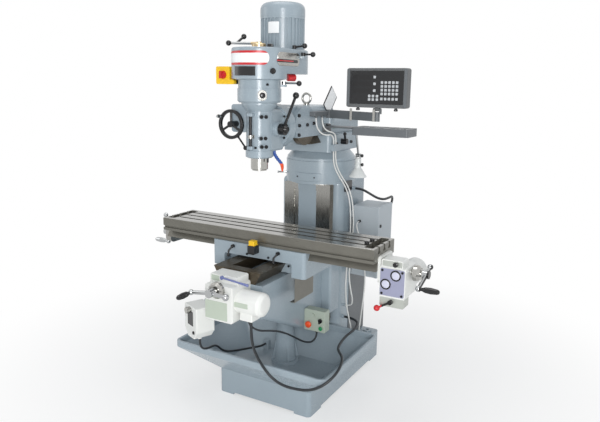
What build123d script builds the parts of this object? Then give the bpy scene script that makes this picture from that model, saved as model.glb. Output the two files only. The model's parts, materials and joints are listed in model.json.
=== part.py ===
from build123d import *
import math
import os

os.makedirs("parts", exist_ok=True)

# Frame: X to the operator's right, Y to the rear, Z up, in millimetres. The floor is Z 0, X 0 is the
# mid-plane and Y 0 is the face of the column's ways and the middle of the anchor holes.

# Fits, and the depth by which a boss or pad reaches into the piece that carries it
SLIDE_GAP = 0.5
FLANK_GAP = 0.5
SHAFT_GAP = 0.5
NEAR_GAP = 2.0
LAP = 2.0
DOVETAIL_LEAN = 30.0

# Base casting and chip pan
FOOT_WIDTH = 582.0
FOOT_LENGTH = 920.0
FOOT_HEIGHT = 165.0
FOOT_CORNER = 25.0
FOOT_WALL = 35.0
FOOT_ROOF = 35.0
TOE_HEIGHT = 12.0
TOE_WIDTH = 95.0
TOE_LENGTH = 130.0
PAN_WIDTH = 928.0
PAN_OVERHANG = 177.0
PAN_REAR_Y = 20.0
PAN_DEPTH = 168.0
PAN_CORNER = 40.0
PAN_WALL = 18.0
PAN_LIP = 35.0
PAN_RIM_RADIUS = 6.0
HOPPER_DROP = 25.0
HOPPER_LENGTH = 330.0
ANCHOR_INSET_X = 56.0
ANCHOR_INSET_Y = 55.0
ANCHOR_HOLE = 22.0
ANCHOR_BOSS_RADIUS = 26.0
ANCHOR_BOSS_HEIGHT = 10.0
SUMP_CLEARANCE = 10.0
INLET_X = -174.0
INLET_FRONT_Y = -165.0
INLET_WIDTH = 36.0
INLET_DEPTH = 32.0
INLET_HEIGHT = 52.0
INLET_CORNER = 6.0
INLET_HOLE_RISE = 33.0

# Column, its ways and the round neck for the turret
COLUMN_WIDTH = 396.0
COLUMN_DEPTH = 350.0
COLUMN_HEIGHT = 1015.0
COLUMN_CORNER = 45.0
COLUMN_TOP_RADIUS = 25.0
COLUMN_FLANGE = 25.0
COLUMN_FLANGE_THICK = 30.0
COLUMN_FLANGE_TAPER = 12.0
COLUMN_WALL = 24.0
COLUMN_ROOF = 80.0
COLUMN_CORE_RADIUS = 20.0
WAY_WIDTH = 296.0
WAY_DEPTH = 45.0
WAY_ROOT = 5.0
WAY_START = 180.0
WAY_TOP_MARGIN = 23.0
WAY_RELIEF_WIDTH = 170.0
WAY_RELIEF_DEPTH = 6.0
WAY_RELIEF_MARGIN = 36.0
NECK_RADIUS = 205.0
NECK_HEIGHT = 107.0
NECK_SETBACK = 130.0

# Elevating screw, its pedestal and its bevel gears
ELEVATING_REACH = 228.0
ELEVATING_RADIUS = 22.0
ELEVATING_SUMP = 60.0
SCREW_CHAMFER = 4.0
PEDESTAL_FLANGE_RADIUS = 80.0
PEDESTAL_FLANGE_THICK = 18.0
PEDESTAL_LOW_RADIUS = 62.0
PEDESTAL_HIGH_RADIUS = 46.0
PEDESTAL_NUT_RADIUS = 56.0
PEDESTAL_NUT_HEIGHT = 30.0
PEDESTAL_HEIGHT = 280.0
PEDESTAL_RIB_THICK = 10.0
PEDESTAL_RIB_INSET = 2.0
PEDESTAL_RIB_DROP = 85.0
GEAR_DROP = 45.0
GEAR_RIM = 15.0
GEAR_RADIUS = 44.0
GEAR_SMALL_RADIUS = 26.0
GEAR_CONE = 12.0
JOURNAL_RADIUS = 14.0
JOURNAL_LENGTH = 26.0
KNEE_SHAFT_DROP = 166.0
KNEE_SHAFT_RADIUS = 12.0
KNEE_SHAFT_ANGLE = 23.4
KNEE_BOSS_START = 300.0
KNEE_BOSS_SETBACK = 14.0
KNEE_BOSS_RADIUS = 42.0
PINION_START = 27.0
PINION_CONE = 18.0
PINION_RIM = 13.0
PINION_SMALL_RADIUS = 17.4
PINION_RADIUS = 29.0
STUB_COLLAR = 4.0
STUB_LENGTH = 22.0

# Knee
KNEE_WIDTH = 300.0
KNEE_LENGTH = 690.0
KNEE_LIFT = 599.0
KNEE_REAR_DEPTH = 324.0
KNEE_BELLY_REACH = 295.0
KNEE_BELLY_DEPTH = 352.0
KNEE_NOSE_DEPTH = 167.0
KNEE_EDGE_RADIUS = 18.0
JAW_WIDTH = 410.0
JAW_FRONT_Y = -80.0
JAW_REAR_Y = 38.0
JAW_HEIGHT = 76.0
JAW_CORNER = 14.0
RAIL_WIDTH = 280.0
RAIL_HEIGHT = 62.0
RAIL_REAR_Y = -40.0
TROUGH_WIDTH = 124.0
TROUGH_DEPTH = 29.0
TROUGH_FRONT_WALL = 50.0
TROUGH_REAR_Y = -90.0
KNEE_CAVITY_WIDTH = 220.0
KNEE_CAVITY_FRONT = 112.0
KNEE_CAVITY_REAR = 108.0
KNEE_CAVITY_ROOF = 128.0
KNEE_CAVITY_CORNER = 30.0

# Cross screw, dial and crank
CROSS_SCREW_RISE = 3.0
CROSS_SCREW_RADIUS = 15.0
CROSS_JOURNAL_RADIUS = 12.0
CROSS_JOURNAL_LENGTH = 24.0
CROSS_SHOULDER = 5.0
CROSS_DIAL_RADIUS = 40.0
CROSS_DIAL_GAP = 4.0
CROSS_DIAL_RIM = 14.0
CROSS_DIAL_LENGTH = 28.0
CROSS_DIAL_BEVEL = 10.0
CROSS_CRANK_GAP = 36.0
CROSS_CRANK_HUB_RADIUS = 20.0
CROSS_CRANK_HUB_LENGTH = 36.0
CROSS_CRANK_BALL = (85.0, -6.0)
CROSS_CRANK_GRIP = (-115.0, -17.0)
CRANK_BAR_RADIUS = 11.0
CRANK_BALL_BAR_END = 8.0
CRANK_GRIP_BAR_END = 9.0
CRANK_KNOB_RADIUS = 14.0
CROSS_CRANK_BALL_RADIUS = 16.0
GRIP_OUTLINE = ((0.0, 0.0), (8.0, 0.0), (8.0, 18.0), (13.0, 32.0), (15.0, 58.0), (12.0, 88.0), (8.0, 96.0),
                (0.0, 99.0))

# Cross power feed
CROSS_BOX_WIDTH = 160.0
CROSS_BOX_DEPTH = 150.0
CROSS_BOX_DROP = 156.0
CROSS_BOX_HEIGHT = 178.0
CROSS_BOX_CORNER = 12.0
FEED_EDGE = 4.0
CROSS_HEAD_LEFT_X = -85.0
CROSS_HEAD_WIDTH = 160.0
CROSS_HEAD_HEIGHT = 36.0
CROSS_HEAD_DEPTH = 100.0
CROSS_HEAD_SETBACK = 10.0
FEED_HEAD_CORNER = 8.0
CROSS_MOTOR_RADIUS = 58.0
CROSS_MOTOR_REACH = 75.0
CROSS_MOTOR_RISE = 97.0
CROSS_MOTOR_LENGTH = 136.0
MOTOR_DOME = ((0.0, 20.0), (5.0, 9.0), (16.0, 2.0), (30.0, 0.0))
CROSS_TERMINAL_GAP = 15.0
CROSS_TERMINAL_LENGTH = 70.0
CROSS_TERMINAL_FRONT = 40.0
CROSS_TERMINAL_REAR = 30.0
CROSS_TERMINAL_DROP = 80.0
CROSS_TERMINAL_HEIGHT = 43.0
CROSS_TERMINAL_CORNER = 6.0
CROSS_CONDUIT_AT = (45.0, -10.0)
STATION_CONDUIT_AT = (15.0, 13.0)
CROSS_LEVER_X = -5.0
CROSS_LEVER_INSET = 8.0
CROSS_LEVER_BOSS_RADIUS = 7.5
CROSS_LEVER_BOSS_LENGTH = 8.0
CROSS_LEVER_HUB_RADIUS = 9.0
CROSS_LEVER_HUB_LENGTH = 10.0
CROSS_LEVER_PIN_DEPTH = 28.0
CROSS_LEVER_BAR_END = (123.0, -1.0, -10.0)
CROSS_LEVER_GRIP_START = (101.0, -1.0, -8.2)
CROSS_LEVER_GRIP_END = (145.0, -1.0, -12.0)
CROSS_LEVER_GRIP_RADIUS = 5.0
CROSS_LEVER_GRIP_END_RADIUS = 7.0
CROSS_LEVER_TIP_RADIUS = 7.5

# Small levers
LEVER_PIN_RADIUS = 4.0
LEVER_BAR_RADIUS = 4.5

# Knee power feed box
KNEE_FEED_WIDTH = 130.0
KNEE_FEED_DEPTH = 100.0
KNEE_FEED_DROP = 151.0
KNEE_FEED_RISE = 18.0
KNEE_FEED_CHIN_WIDTH = 34.0
KNEE_FEED_CHIN_HEIGHT = 40.0
KNEE_FEED_CORNER = 8.0
KNEE_FEED_EDGE = 6.0

# Push-button station: places on its face are measured from its lower left corner
STATION_WIDTH = 128.0
STATION_HEIGHT = 121.0
STATION_DEPTH = 50.0
STATION_DROP = 361.0
STATION_REACH = 279.0
STATION_CORNER = 8.0
STATION_EDGE = 3.0
MUSHROOM_AT = (34.0, 39.0)
START_AT = (106.0, 27.0)
SELECTOR_AT = (102.0, 69.0)
STATION_LAMP_AT = (55.0, 93.0)
STATION_LAMP_RADIUS = 10.0
STATION_LAMP_HEIGHT = 9.0
STATION_GLAND_X = 65.0
STATION_GLAND_RADIUS = 10.0
STATION_GLAND_LENGTH = 10.0
BEZEL_RADIUS = 14.0
BEZEL_HEIGHT = 4.0
BUTTON_STEM_RADIUS = 7.0
BUTTON_STEM_LENGTH = 22.0
BUTTON_BORE_DEPTH = 30.0
MUSHROOM_HEAD = (18.0, 9.0, 6.0, 8.0)
START_HEAD = (11.0, 5.0, 4.0, 3.0)
SELECTOR_HEAD = (12.0, 0.5, 6.0, 3.0)
SELECTOR_BAR_WIDTH = 8.0
SELECTOR_BAR_LENGTH = 24.0
SELECTOR_BAR_FOOT = 10.0
SELECTOR_BAR_HEIGHT = 12.0

# Saddle with its limit switch and lock levers
SADDLE_WIDTH = 560.0
SADDLE_FRONT_REACH = 139.0
SADDLE_REAR_REACH = 186.0
SADDLE_CLEARANCE = 6.0
SADDLE_WEB = 31.5
SADDLE_CORNER = 18.0
SADDLE_ARCH_WIDTH = 410.0
SADDLE_ARCH_HEIGHT = 70.0
SADDLE_ARCH_DEPTH = 60.0
SADDLE_ARCH_CORNER = 10.0
CROSS_NUT_WIDTH = 68.0
CROSS_NUT_LENGTH = 60.0
CROSS_NUT_INSET = 20.0
CROSS_NUT_DROP = 25.0
GIB_THICK = 8.0
LIMIT_X = -7.0
LIMIT_RISE = 98.0
LIMIT_WIDTH = 40.0
LIMIT_DEPTH = 45.0
LIMIT_HEIGHT = 46.0
LIMIT_CORNER = 4.0
LIMIT_CAP_INSET = 3.0
LIMIT_CAP_DEPTH = 34.0
LIMIT_CAP_HEIGHT = 22.0
LIMIT_CAP_CORNER = 5.0
LOCK_LEFT_X = -145.0
LOCK_RIGHT_X = 130.0
LOCK_RISE = 114.0
LOCK_HUB_RADIUS = 9.0
LOCK_HUB_LENGTH = 14.0
LOCK_BAR_AT = 9.0
LOCK_ELBOW = (-14.0, -26.0, -22.0)
LOCK_TIP = (-12.0, -30.0, -44.0)
LOCK_BALL_RADIUS = 8.0

# Table and its screw
TABLE_LENGTH = 1270.0
TABLE_WIDTH = 254.0
TABLE_THICK = 70.0
TABLE_CHAMFER = 2.0
TABLE_Y = -376.0
TABLE_DOVETAIL_DEPTH = 44.0
TABLE_NECK_WIDTH = 144.0
SLOT_PITCH = 64.0
SLOT_WIDTH = 16.0
SLOT_DEPTH = 32.0
SLOT_HEAD_WIDTH = 28.0
SLOT_HEAD_DEPTH = 12.0
DRAIN_INSET = 15.0
DRAIN_WIDTH = 45.0
DRAIN_DEPTH = 25.0
DRAIN_EDGE = 20.0
DRAIN_CORNER = 8.0
STOP_GROOVE = 12.0
STOP_GROOVE_DEPTH = 10.0
STOP_GROOVE_RISE = 15.0
TABLE_SCREW_RADIUS = 15.0
SCREW_CLEARANCE = 4.0
TABLE_NUT_LENGTH = 60.0
TABLE_NUT_WIDTH = 40.0
TABLE_NUT_HEIGHT = 22.0
TABLE_NUT_DROP = 22.0
TABLE_NUT_HEADROOM = 6.0
BRACKET_THICK = 40.0
BRACKET_WIDTH = 140.0
BRACKET_DROP = 43.0
BRACKET_RISE = 31.0
BRACKET_CORNER = 28.0
BRACKET_EDGE = 5.0
TABLE_DIAL_RADIUS = 38.0
LEFT_DIAL_GAP = 1.0
LEFT_DIAL_RIM = 8.0
LEFT_DIAL_LENGTH = 20.0
LEFT_DIAL_BEVEL = 8.0
LEFT_CRANK_GAP = 29.0
RIGHT_DIAL_GAP = 14.0
RIGHT_DIAL_RIM = 18.0
RIGHT_DIAL_LENGTH = 32.0
RIGHT_DIAL_BEVEL = 10.0
RIGHT_CRANK_GAP = 40.0
TABLE_CRANK_HUB_RADIUS = 19.0
TABLE_CRANK_HUB_LENGTH = 32.0
LEFT_CRANK_BALL = (-10.0, 98.0)
LEFT_CRANK_GRIP = (5.0, -62.0)
RIGHT_CRANK_BALL = (56.0, 22.0)
RIGHT_CRANK_GRIP = (-104.0, -38.0)

# Table power feed
FEED_PLATE_THICK = 14.0
FEED_PLATE_WIDTH = 150.0
FEED_PLATE_RISE = 26.0
FEED_PLATE_CORNER = 20.0
FEED_BOX_LENGTH = 127.0
FEED_BOX_WIDTH = 168.0
FEED_BOX_DROP = 112.0
FEED_BOX_RISE = 32.0
FEED_BOX_CORNER = 14.0
FEED_BOX_EDGE = 5.0
FEED_HEAD_HEIGHT = 35.0
FEED_HEAD_INSET = 6.0
FEED_HEAD_SHORT = 16.0
FEED_HEAD_SETBACK = 5.0
FEED_HEAD_LAP = 10.0
FEED_HEAD_REAR_GAP = 4.0
FEED_FOOT_HEIGHT = 46.0
FEED_FOOT_DEPTH = 62.0
FEED_FOOT_STEP = 2.0
FEED_FOOT_SHORT = 1.0
FEED_FOOT_LAP = 8.0
FEED_MOTOR_INSET = 64.0
FEED_MOTOR_DROP = 58.0
FEED_MOTOR_RADIUS = 60.0
FEED_MOTOR_LENGTH = 182.0
FEED_LEVER_INSET = 63.0
FEED_LEVER_DROP = 132.0
FEED_LEVER_PIN_DEPTH = 22.0
FEED_LEVER_HUB_RADIUS = 11.0
FEED_LEVER_HUB_LENGTH = 18.0
FEED_LEVER_BAR_START = 8.0
FEED_LEVER_BAR_RADIUS = 5.0
FEED_LEVER_BALL_RADIUS = 11.0
FEED_LEVER_TIP = (-60.0, -19.0, -34.0)

# Electrical cabinet and its door
CABINET_STANDOFF = 29.0
CABINET_DEPTH = 143.0
CABINET_SETBACK = 110.0
CABINET_WIDTH = 200.0
CABINET_RISE = 448.0
CABINET_HEIGHT = 417.0
CABINET_WALL = 3.0
CABINET_CORNER = 4.0
CABINET_PAD_INSET = 60.0
CABINET_PAD_EDGE = 30.0
CABINET_PAD_HEIGHT = 40.0
CABINET_PAD_CORNER = 6.0
CABINET_PLATE_EDGE = 25.0
CABINET_PLATE_MARGIN = 30.0
CABINET_PLATE_THICK = 4.0
CABINET_SIDE_GLAND = (44.0, 328.0)
CABINET_REAR_GLAND = (85.0, 102.0)
DOOR_GAP = 1.0
DOOR_THICK = 16.0
DOOR_LAP = 2.0
DOOR_CORNER = 6.0
DOOR_EDGE = 3.0
DOOR_HINGE_INSET = 9.0
DOOR_HINGE_RADIUS = 5.0
DOOR_HINGE_LENGTH = 44.0
DOOR_HINGE_MARGIN = 48.0
DOOR_STRAP_LENGTH = 40.0
DOOR_STRAP_THICK = 3.5
DOOR_LATCH_INSET = 24.0
DOOR_LATCH_MARGIN = 110.0
DOOR_LATCH_RADIUS = 9.0
DOOR_LATCH_HEIGHT = 6.0

# Turret and ram
TURRET_LOW_RADIUS = 200.0
TURRET_HIGH_RADIUS = 165.0
TURRET_RIM = 14.0
TURRET_CONE = 55.0
TURRET_WIDTH = 300.0
TURRET_LENGTH = 380.0
TURRET_CORNER = 24.0
TURRET_DECK = 53.0
CLAMP_INSET = 10.0
CLAMP_LENGTH = 55.0
CLAMP_DEPTH = 22.0
CLAMP_CORNER = 5.0
CLAMP_LOW_GAP = 8.0
CLAMP_TOP_GAP = 7.0
CLAMP_CABLE_OUT = 12.0
CLAMP_CABLES = (24.0, 50.0)
RAM_WIDTH = 184.0
RAM_HEIGHT = 161.5
RAM_TOP_RADIUS = 30.0
RAM_REACH = 360.0
RAM_TAIL = 300.0
RAM_BACK_REACH = 58.0
RAM_BACK_SLOPE = 40.0
RAM_BACK_DROP = 74.0
RAM_SLIDE_WIDTH = 190.0
RAM_SLIDE_DEPTH = 42.0
RAM_SLIDE_SETBACK = 40.0
CHEEK_RADIUS = 104.0
CHEEK_THICK = 30.0
FORK_CLEARANCE = 3.0
NOD_RISE = 62.0
RAM_HANDLE_REACH = 40.0
RAM_HANDLE_PIN_RADIUS = 9.0
RAM_HANDLE_PIN_LENGTH = 38.0
RAM_HANDLE_HUB_RADIUS = 16.0
RAM_HANDLE_HUB_LENGTH = 34.0
RAM_HANDLE_BAR_AT = 22.0
RAM_HANDLE_BAR_RADIUS = 6.0
RAM_HANDLE_BALL_RADIUS = 10.0
RAM_HANDLE_TIP = (30.0, -25.0, 45.0)
JUNCTION_RISE = 107.0
JUNCTION_HEIGHT = 25.0
JUNCTION_START = 40.0
JUNCTION_LENGTH = 150.0
JUNCTION_DEPTH = 33.0
JUNCTION_CORNER = 5.0
JUNCTION_EDGE = 3.0
JUNCTION_GLAND_X = 16.0
JUNCTION_GLAND_LENGTH = 10.0
RAM_CABLE_REACH = (85.0, 155.0)
EYE_REACH = 169.0
EYE_FOOT_RADIUS = 17.0
EYE_FOOT_HEIGHT = 7.0
EYE_RISE = 36.0
EYE_RADIUS = 26.0
EYE_BAR_RADIUS = 6.5

# Head: knuckle, quill housing, gear case, belt housing and motor
SWIVEL_REACH = 165.0
SWIVEL_RADIUS = 112.0
SWIVEL_THICK = 30.0
KNUCKLE_ROOT = 6.0
KNUCKLE_NECK = 92.0
SPINDLE_REACH = 136.0
QUILL_RADIUS = 42.86
QUILL_DROP = 204.0
QUILL_LENGTH = 264.0
QUILL_CHAMFER = 2.0
BARREL_RADIUS = 66.0
BARREL_DROP = 146.0
BARREL_LENGTH = 226.0
BARREL_CHAMFER = 4.0
BARREL_COLLAR = 2.5
BARREL_COLLAR_START = 5.0
BARREL_COLLAR_END = 36.0
BARREL_SHOULDER = 9.0
BARREL_NECK = 42.0
BARREL_FLARE_RADIUS = 88.0
REAR_BLOCK_WIDTH = 140.0
REAR_BLOCK_RISE = 31.0
REAR_BLOCK_TOP = 10.0
REAR_BLOCK_CORNER = 16.0
REAR_BLOCK_LAP = 6.0
QUILL_ROOF = 7.0
PINION_BOSS_X = 92.0
PINION_BOSS_REACH = 47.0
PINION_BOSS_DROP = 6.0
PINION_BOSS_RADIUS = 36.0
PINION_SHAFT_RADIUS = 12.0
PINION_SHAFT_LENGTH = 28.0
FEED_CASE_X = -132.0
FEED_CASE_WIDTH = 87.0
FEED_CASE_FRONT = 49.0
FEED_CASE_DEPTH = 92.0
FEED_CASE_DROP = 40.0
FEED_CASE_RISE = 95.0
FEED_CASE_CORNER = 14.0
TRIP_X = -33.0
TRIP_RISE = 50.0
TRIP_FRONT = 65.0
TRIP_RADIUS = 10.0
TRIP_HUB_LENGTH = 12.0
TRIP_TIP = (-45.0, 53.0)
TRIP_BALL_RADIUS = 8.0
STOP_LUG_WIDTH = 32.0
STOP_LUG_FRONT = 91.0
STOP_LUG_THICK = 14.0
STOP_LUG_CORNER = 6.0
STOP_LUG_LOW = 46.0
STOP_LUG_TOP = 22.0
STOP_LUG_LAP = 10.0
STOP_ROD_FRONT = 78.0
STOP_ROD_RADIUS = 7.0
STOP_NUT_RADIUS = 13.0
STOP_NUT_RISE = 98.0
STOP_NUT_THICK = 16.0
GEAR_CASE_RADIUS = 107.0
GEAR_CASE_HEIGHT = 67.0
GEAR_CASE_CHAMFER = 8.0
COLLAR_RADIUS = 103.0
COLLAR_HEIGHT = 45.0
COLLAR_FLARE = 6.0
BELT_HEIGHT = 145.0
BELT_STEP = 26.0
BELT_FRONT_RADIUS = 134.0
BELT_REAR_RADIUS = 130.0
BELT_EDGE = 10.0
MOTOR_REACH = 213.0
MOTOR_RADIUS = 104.0
MOTOR_HEIGHT = 161.0
MOTOR_RIB = 8.0
MOTOR_RIB_INSET = 0.5
MOTOR_RIB_THICK = 5.0
MOTOR_RIB_MARGIN = 5.0
MOTOR_RIBS = 32
MOTOR_FLANGE = 16.0
MOTOR_TOP_RING = 12.0
MOTOR_TERMINAL_ROOT = 60.0
MOTOR_TERMINAL_DEPTH = 22.0
MOTOR_TERMINAL_WIDTH = 80.0
MOTOR_TERMINAL_RISE = 46.0
MOTOR_TERMINAL_HEIGHT = 65.0
MOTOR_TERMINAL_CORNER = 8.0
FAN_RADIUS = 113.0
FAN_HEIGHT = 72.0
FAN_DOME = 9.0
FAN_SHOULDER = 36.0
SPINDLE_BODY_RADIUS = 27.0
SPINDLE_TAIL_RADIUS = 18.0
SPINDLE_TAIL_CHAMFER = 4.0
SPINDLE_NOSE_RADIUS = 36.0
SPINDLE_NOSE_HEIGHT = 6.0
SPINDLE_TAIL_GAP = 10.0
COLLET_RADIUS = 12.06
COLLET_MOUTH_RADIUS = 15.9
COLLET_TAPER = 25.6
COLLET_DEPTH = 126.0
DRAWBAR_RADIUS = 7.0
DRAWBAR_CONE = 4.0
WHEEL_X = -102.0
WHEEL_FRONT = 94.0
WHEEL_RISE = 17.0
WHEEL_RADIUS = 64.0
WHEEL_RIM = 8.0
WHEEL_SPOKE = 6.0
WHEEL_SPOKE_ANGLES = (90.0, 210.0, 330.0)
WHEEL_HUB_RADIUS = 15.0
WHEEL_HUB_FRONT = 12.0
WHEEL_SHAFT_RADIUS = 8.0
WHEEL_SHAFT_LENGTH = 24.0
WHEEL_GRIP_ANGLE = 143.13
WHEEL_RIM_CORNER = 3.5
WHEEL_GRIP_OUTLINE = ((0.0, 0.0), (4.0, 0.0), (4.0, 12.0), (8.0, 20.0), (9.0, 34.0), (6.0, 46.0),
                      (0.0, 48.0))
QUILL_LEVER_HUB_RADIUS = 28.0
QUILL_LEVER_HUB_LENGTH = 30.0
QUILL_LEVER_CAP_RADIUS = 20.0
QUILL_LEVER_CAP_END = 14.0
QUILL_LEVER_CAP_LENGTH = 12.0
QUILL_LEVER_BAR_AT = 16.0
QUILL_LEVER_BAR_RADIUS = 7.0
QUILL_LEVER_BALL_RADIUS = 16.0
QUILL_LEVER_TIP = (48.0, 66.0, 163.0)

# Levers, crank and switch on the belt housing
BRAKE_OUT = 16.0
BRAKE_FORWARD = 43.0
BRAKE_DROP = 33.0
BRAKE_TIP = (54.0, 0.0, 8.0)
BRAKE_LUG_ROOT = 8.0
BRAKE_LUG_OUT = 12.0
BRAKE_LUG_WIDTH = 28.0
BRAKE_LUG_THICK = 12.0
BRAKE_LUG_CORNER = 6.0
RANGE_X = 96.0
RANGE_REACH = 71.0
RANGE_RISE = 19.0
RANGE_TIP = (84.0, 2.0, 7.0)
RANGE_LUG_LENGTH = 40.0
RANGE_LUG_WIDTH = 28.0
RANGE_LUG_THICK = 10.0
MOTOR_LOCK_X = 112.0
MOTOR_LOCK_FORWARD = 72.0
MOTOR_LOCK_TIP = (53.0, 8.0, 16.0)
MOTOR_LOCK_HUB_RADIUS = 10.0
MOTOR_LOCK_BALL_RADIUS = 8.0
HEAD_LEVER_HUB_RADIUS = 11.0
HEAD_LEVER_HUB_HEIGHT = 17.0
HEAD_LEVER_BALL_RADIUS = 9.0
RANGE_HUB_HEIGHT = 15.0
HUB_ROOF = 2.0
SPEED_X = 17.0
SPEED_FORWARD = 29.0
SPEED_PIN_RADIUS = 8.0
SPEED_PIN_HEIGHT = 14.0
SPEED_DIAL_RADIUS = 34.0
SPEED_DIAL_RIM = 14.0
SPEED_DIAL_BEVEL = 4.0
SPEED_DIAL_HEIGHT = 19.0
SPEED_HUB_RADIUS = 14.0
SPEED_HUB_TOP = 26.0
SPEED_BAR_RADIUS = 7.0
SPEED_BAR_END_RADIUS = 6.0
SPEED_BALL_RADIUS = 13.0
SPEED_TIP = (-148.0, -40.0, 21.0)
SPEED_SIDE_START = (-109.0, -29.0, 20.0)
SPEED_SIDE_TIP = (-97.0, 15.0, 53.0)
SWITCH_OUT = 86.0
SWITCH_GAP = 4.0
SWITCH_FOOT_ROOT = 22.0
SWITCH_FRONT = 54.0
SWITCH_DEPTH = 80.0
SWITCH_DROP = 27.0
SWITCH_FOOT_HEIGHT = 23.0
SWITCH_HEIGHT = 85.0
SWITCH_CORNER = 8.0
SWITCH_STRAP_FRONT = 14.0
SWITCH_STRAP_WIDTH = 28.0
SWITCH_STRAP_ROOT = 4.0
SWITCH_STRAP_RISE = 5.0
SWITCH_STRAP_HEIGHT = 12.0
SWITCH_KNOB_INSET = 43.0
SWITCH_KNOB_RISE = 45.0
SWITCH_KNOB_RADIUS = 20.0
SWITCH_KNOB_END = 18.0
SWITCH_KNOB_THICK = 10.0
SWITCH_SHAFT_RADIUS = 6.0
SWITCH_SHAFT_LENGTH = 22.0
SWITCH_BAR_WIDTH = 12.0
SWITCH_BAR_LENGTH = 36.0
SWITCH_BAR_HEIGHT = 26.0
SWITCH_BAR_CORNER = 5.0

# Coolant hose: joint places are measured from the middle of its fitting
HOSE_X = 45.0
HOSE_REACH = 66.0
HOSE_FITTING_RADIUS = 8.0
HOSE_JOINT_RADIUS = 9.0
HOSE_LINK_RADIUS = 6.5
HOSE_JOINTS = ((0.0, 0.0, -13.0), (3.0, 4.0, -24.0), (7.0, 10.0, -35.0), (11.0, 17.0, -45.0),
               (16.0, 25.0, -55.0),
               (20.0, 32.0, -65.0), (23.0, 37.0, -75.0))
HOSE_NOZZLE = (24.0, 39.0, -87.0)
HOSE_TIP = (24.0, 40.0, -108.0)
HOSE_NOZZLE_RADIUS = 8.0
HOSE_TIP_RADIUS = 4.0

# Readout, tool tray and lamp
READOUT_LUG_OUT = 24.0
READOUT_PIVOT_FORWARD = 130.0
READOUT_PIVOT_RADIUS = 20.0
READOUT_PIN_RADIUS = 8.0
READOUT_PIN_HEIGHT = 30.0
READOUT_LUG_THICK = 30.0
READOUT_ARM_RISE = 93.0
READOUT_ARM_HEIGHT = 44.0
READOUT_ARM_THICK = 28.0
READOUT_ARM_SPAN = (345.0, -152.0)
READOUT_POST_RADIUS = 12.0
READOUT_POST_GAP = 12.0
READOUT_EAR_OUT = 17.0
READOUT_EAR_THICK = 8.0
READOUT_EAR_RADIUS = 8.0
READOUT_EAR_LAP = 6.0
READOUT_TONGUE_WIDTH = 25.0
READOUT_TONGUE_RADIUS = 7.0
READOUT_HINGE_DROP = 10.0
READOUT_WIDTH = 324.0
READOUT_HEIGHT = 195.0
READOUT_DEPTH = 50.0
READOUT_RISE = 69.0
READOUT_CORNER = 12.0
READOUT_EDGE = 4.0
TRAY_OUT = 238.0
TRAY_LENGTH = 305.0
TRAY_WIDTH = 140.0
TRAY_REAR_Y = 10.0
TRAY_RISE = 60.0
TRAY_DEPTH = 40.0
TRAY_SHEET = 4.0
TRAY_CORNER = 10.0
TRAY_HOLE_RADIUS = 14.0
TRAY_HOLE_PITCH = 56.48
TRAY_ROW_PITCH = 58.0
TRAY_BRACKET_DROP = 20.0
TRAY_BRACKET_INSET = 10.0
TRAY_BRACKET_THICK = 8.0
TRAY_BRACKET_WIDTH = 90.0
TRAY_BRACKET_CORNER = 6.0
TRAY_BRACKET_LAP = 20.0
TRAY_BRACKET_HANG = 26.0
TRAY_TONGUE = 15.0
LAMP_OUT = 180.0
LAMP_PIVOT_Y = 60.0
LAMP_PIVOT_DROP = 26.0
LAMP_CHEEK_OUT = 12.0
LAMP_CHEEK_THICK = 6.0
LAMP_CHEEK_WIDTH = 24.0
LAMP_CHEEK_DROP = 10.0
LAMP_FORK_WIDTH = 18.0
LAMP_LINK = (35.0, -126.0)
LAMP_LINK_RADIUS = 6.0
LAMP_PIN_RADIUS = 9.0
LAMP_PIN_LENGTH = 17.0
LAMP_NECK = 20.0
LAMP_CROWN_RADIUS = 24.0
LAMP_CROWN_EDGE = 28.0
LAMP_CROWN_HEIGHT = 6.0
LAMP_CROWN_THICK = 12.0
LAMP_INNER_RADIUS = 26.0
LAMP_SHEET = 3.0
LAMP_DROP = 118.0
LAMP_RIM_RADIUS = 58.0
LAMP_BULB = ((0.0, 10.0), (12.0, 10.0), (14.0, 34.0), (24.0, 52.0), (18.0, 68.0), (0.0, 74.0))

# Cables and their glands: a gland on the column is at (Y, height above the foot)
CONDUIT = 14.0
FEED_CONDUIT = 12.0
STATION_CONDUIT = 10.0
CABLE = 8.0
GLAND_LENGTH = 16.0
GLAND_WALL = 4.0
COLUMN_FRONT_GLAND = (100.0, 97.0)
COLUMN_REAR_GLAND = (104.0, 267.0)
SIGNAL_GLAND = (165.0, 51.0)
CROSS_GLAND = (100.0, 195.0)
SUPPLY_GLAND_Y = 200.0
SUPPLY_GLAND_DROP = 60.0

# Shapes of the cords: offsets in X, Y and Z from evenly spaced places on the straight line between the
# two ends, the first from the start and the last from the end
CROSS_SHAPE = ((0.0, 0.0, -55.0), (-9.9, -28.1, -116.1), (-19.8, -33.1, -177.1), (-11.7, -41.2, -233.2),
               (22.4, -71.2, -276.2), (85.5, -115.3, -290.3), (161.6, -161.3, -275.3),
               (237.7, -207.4, -245.4), (298.8, -239.4, -191.4), (327.9, -235.5, -137.5),
               (319.1, -207.5, -100.5), (283.2, -183.6, -83.6), (233.3, -167.6, -83.6),
               (187.4, -145.7, -85.7), (157.5, -109.7, -77.7), (141.6, -67.8, -61.8),
               (142.7, -29.8, -43.8), (131.8, 7.1, -26.9), (97.9, 16.1, -12.9), (42.0, 0.0, 0.0))
KNEE_SHAPE = ((0.0, 0.0, -35.0), (-2.7, -35.8, -41.7), (-5.2, -49.5, -32.4), (-10.2, -57.2, -11.1),
              (-21.2, -70.9, -7.8), (-40.1, -72.6, -30.5), (-58.1, -74.2, -41.2), (-70.1, -59.9, -47.9),
              (-58.1, -41.6, -40.6), (-28.0, -29.3, -22.3), (0.0, -35.0, 0.0))
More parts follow.
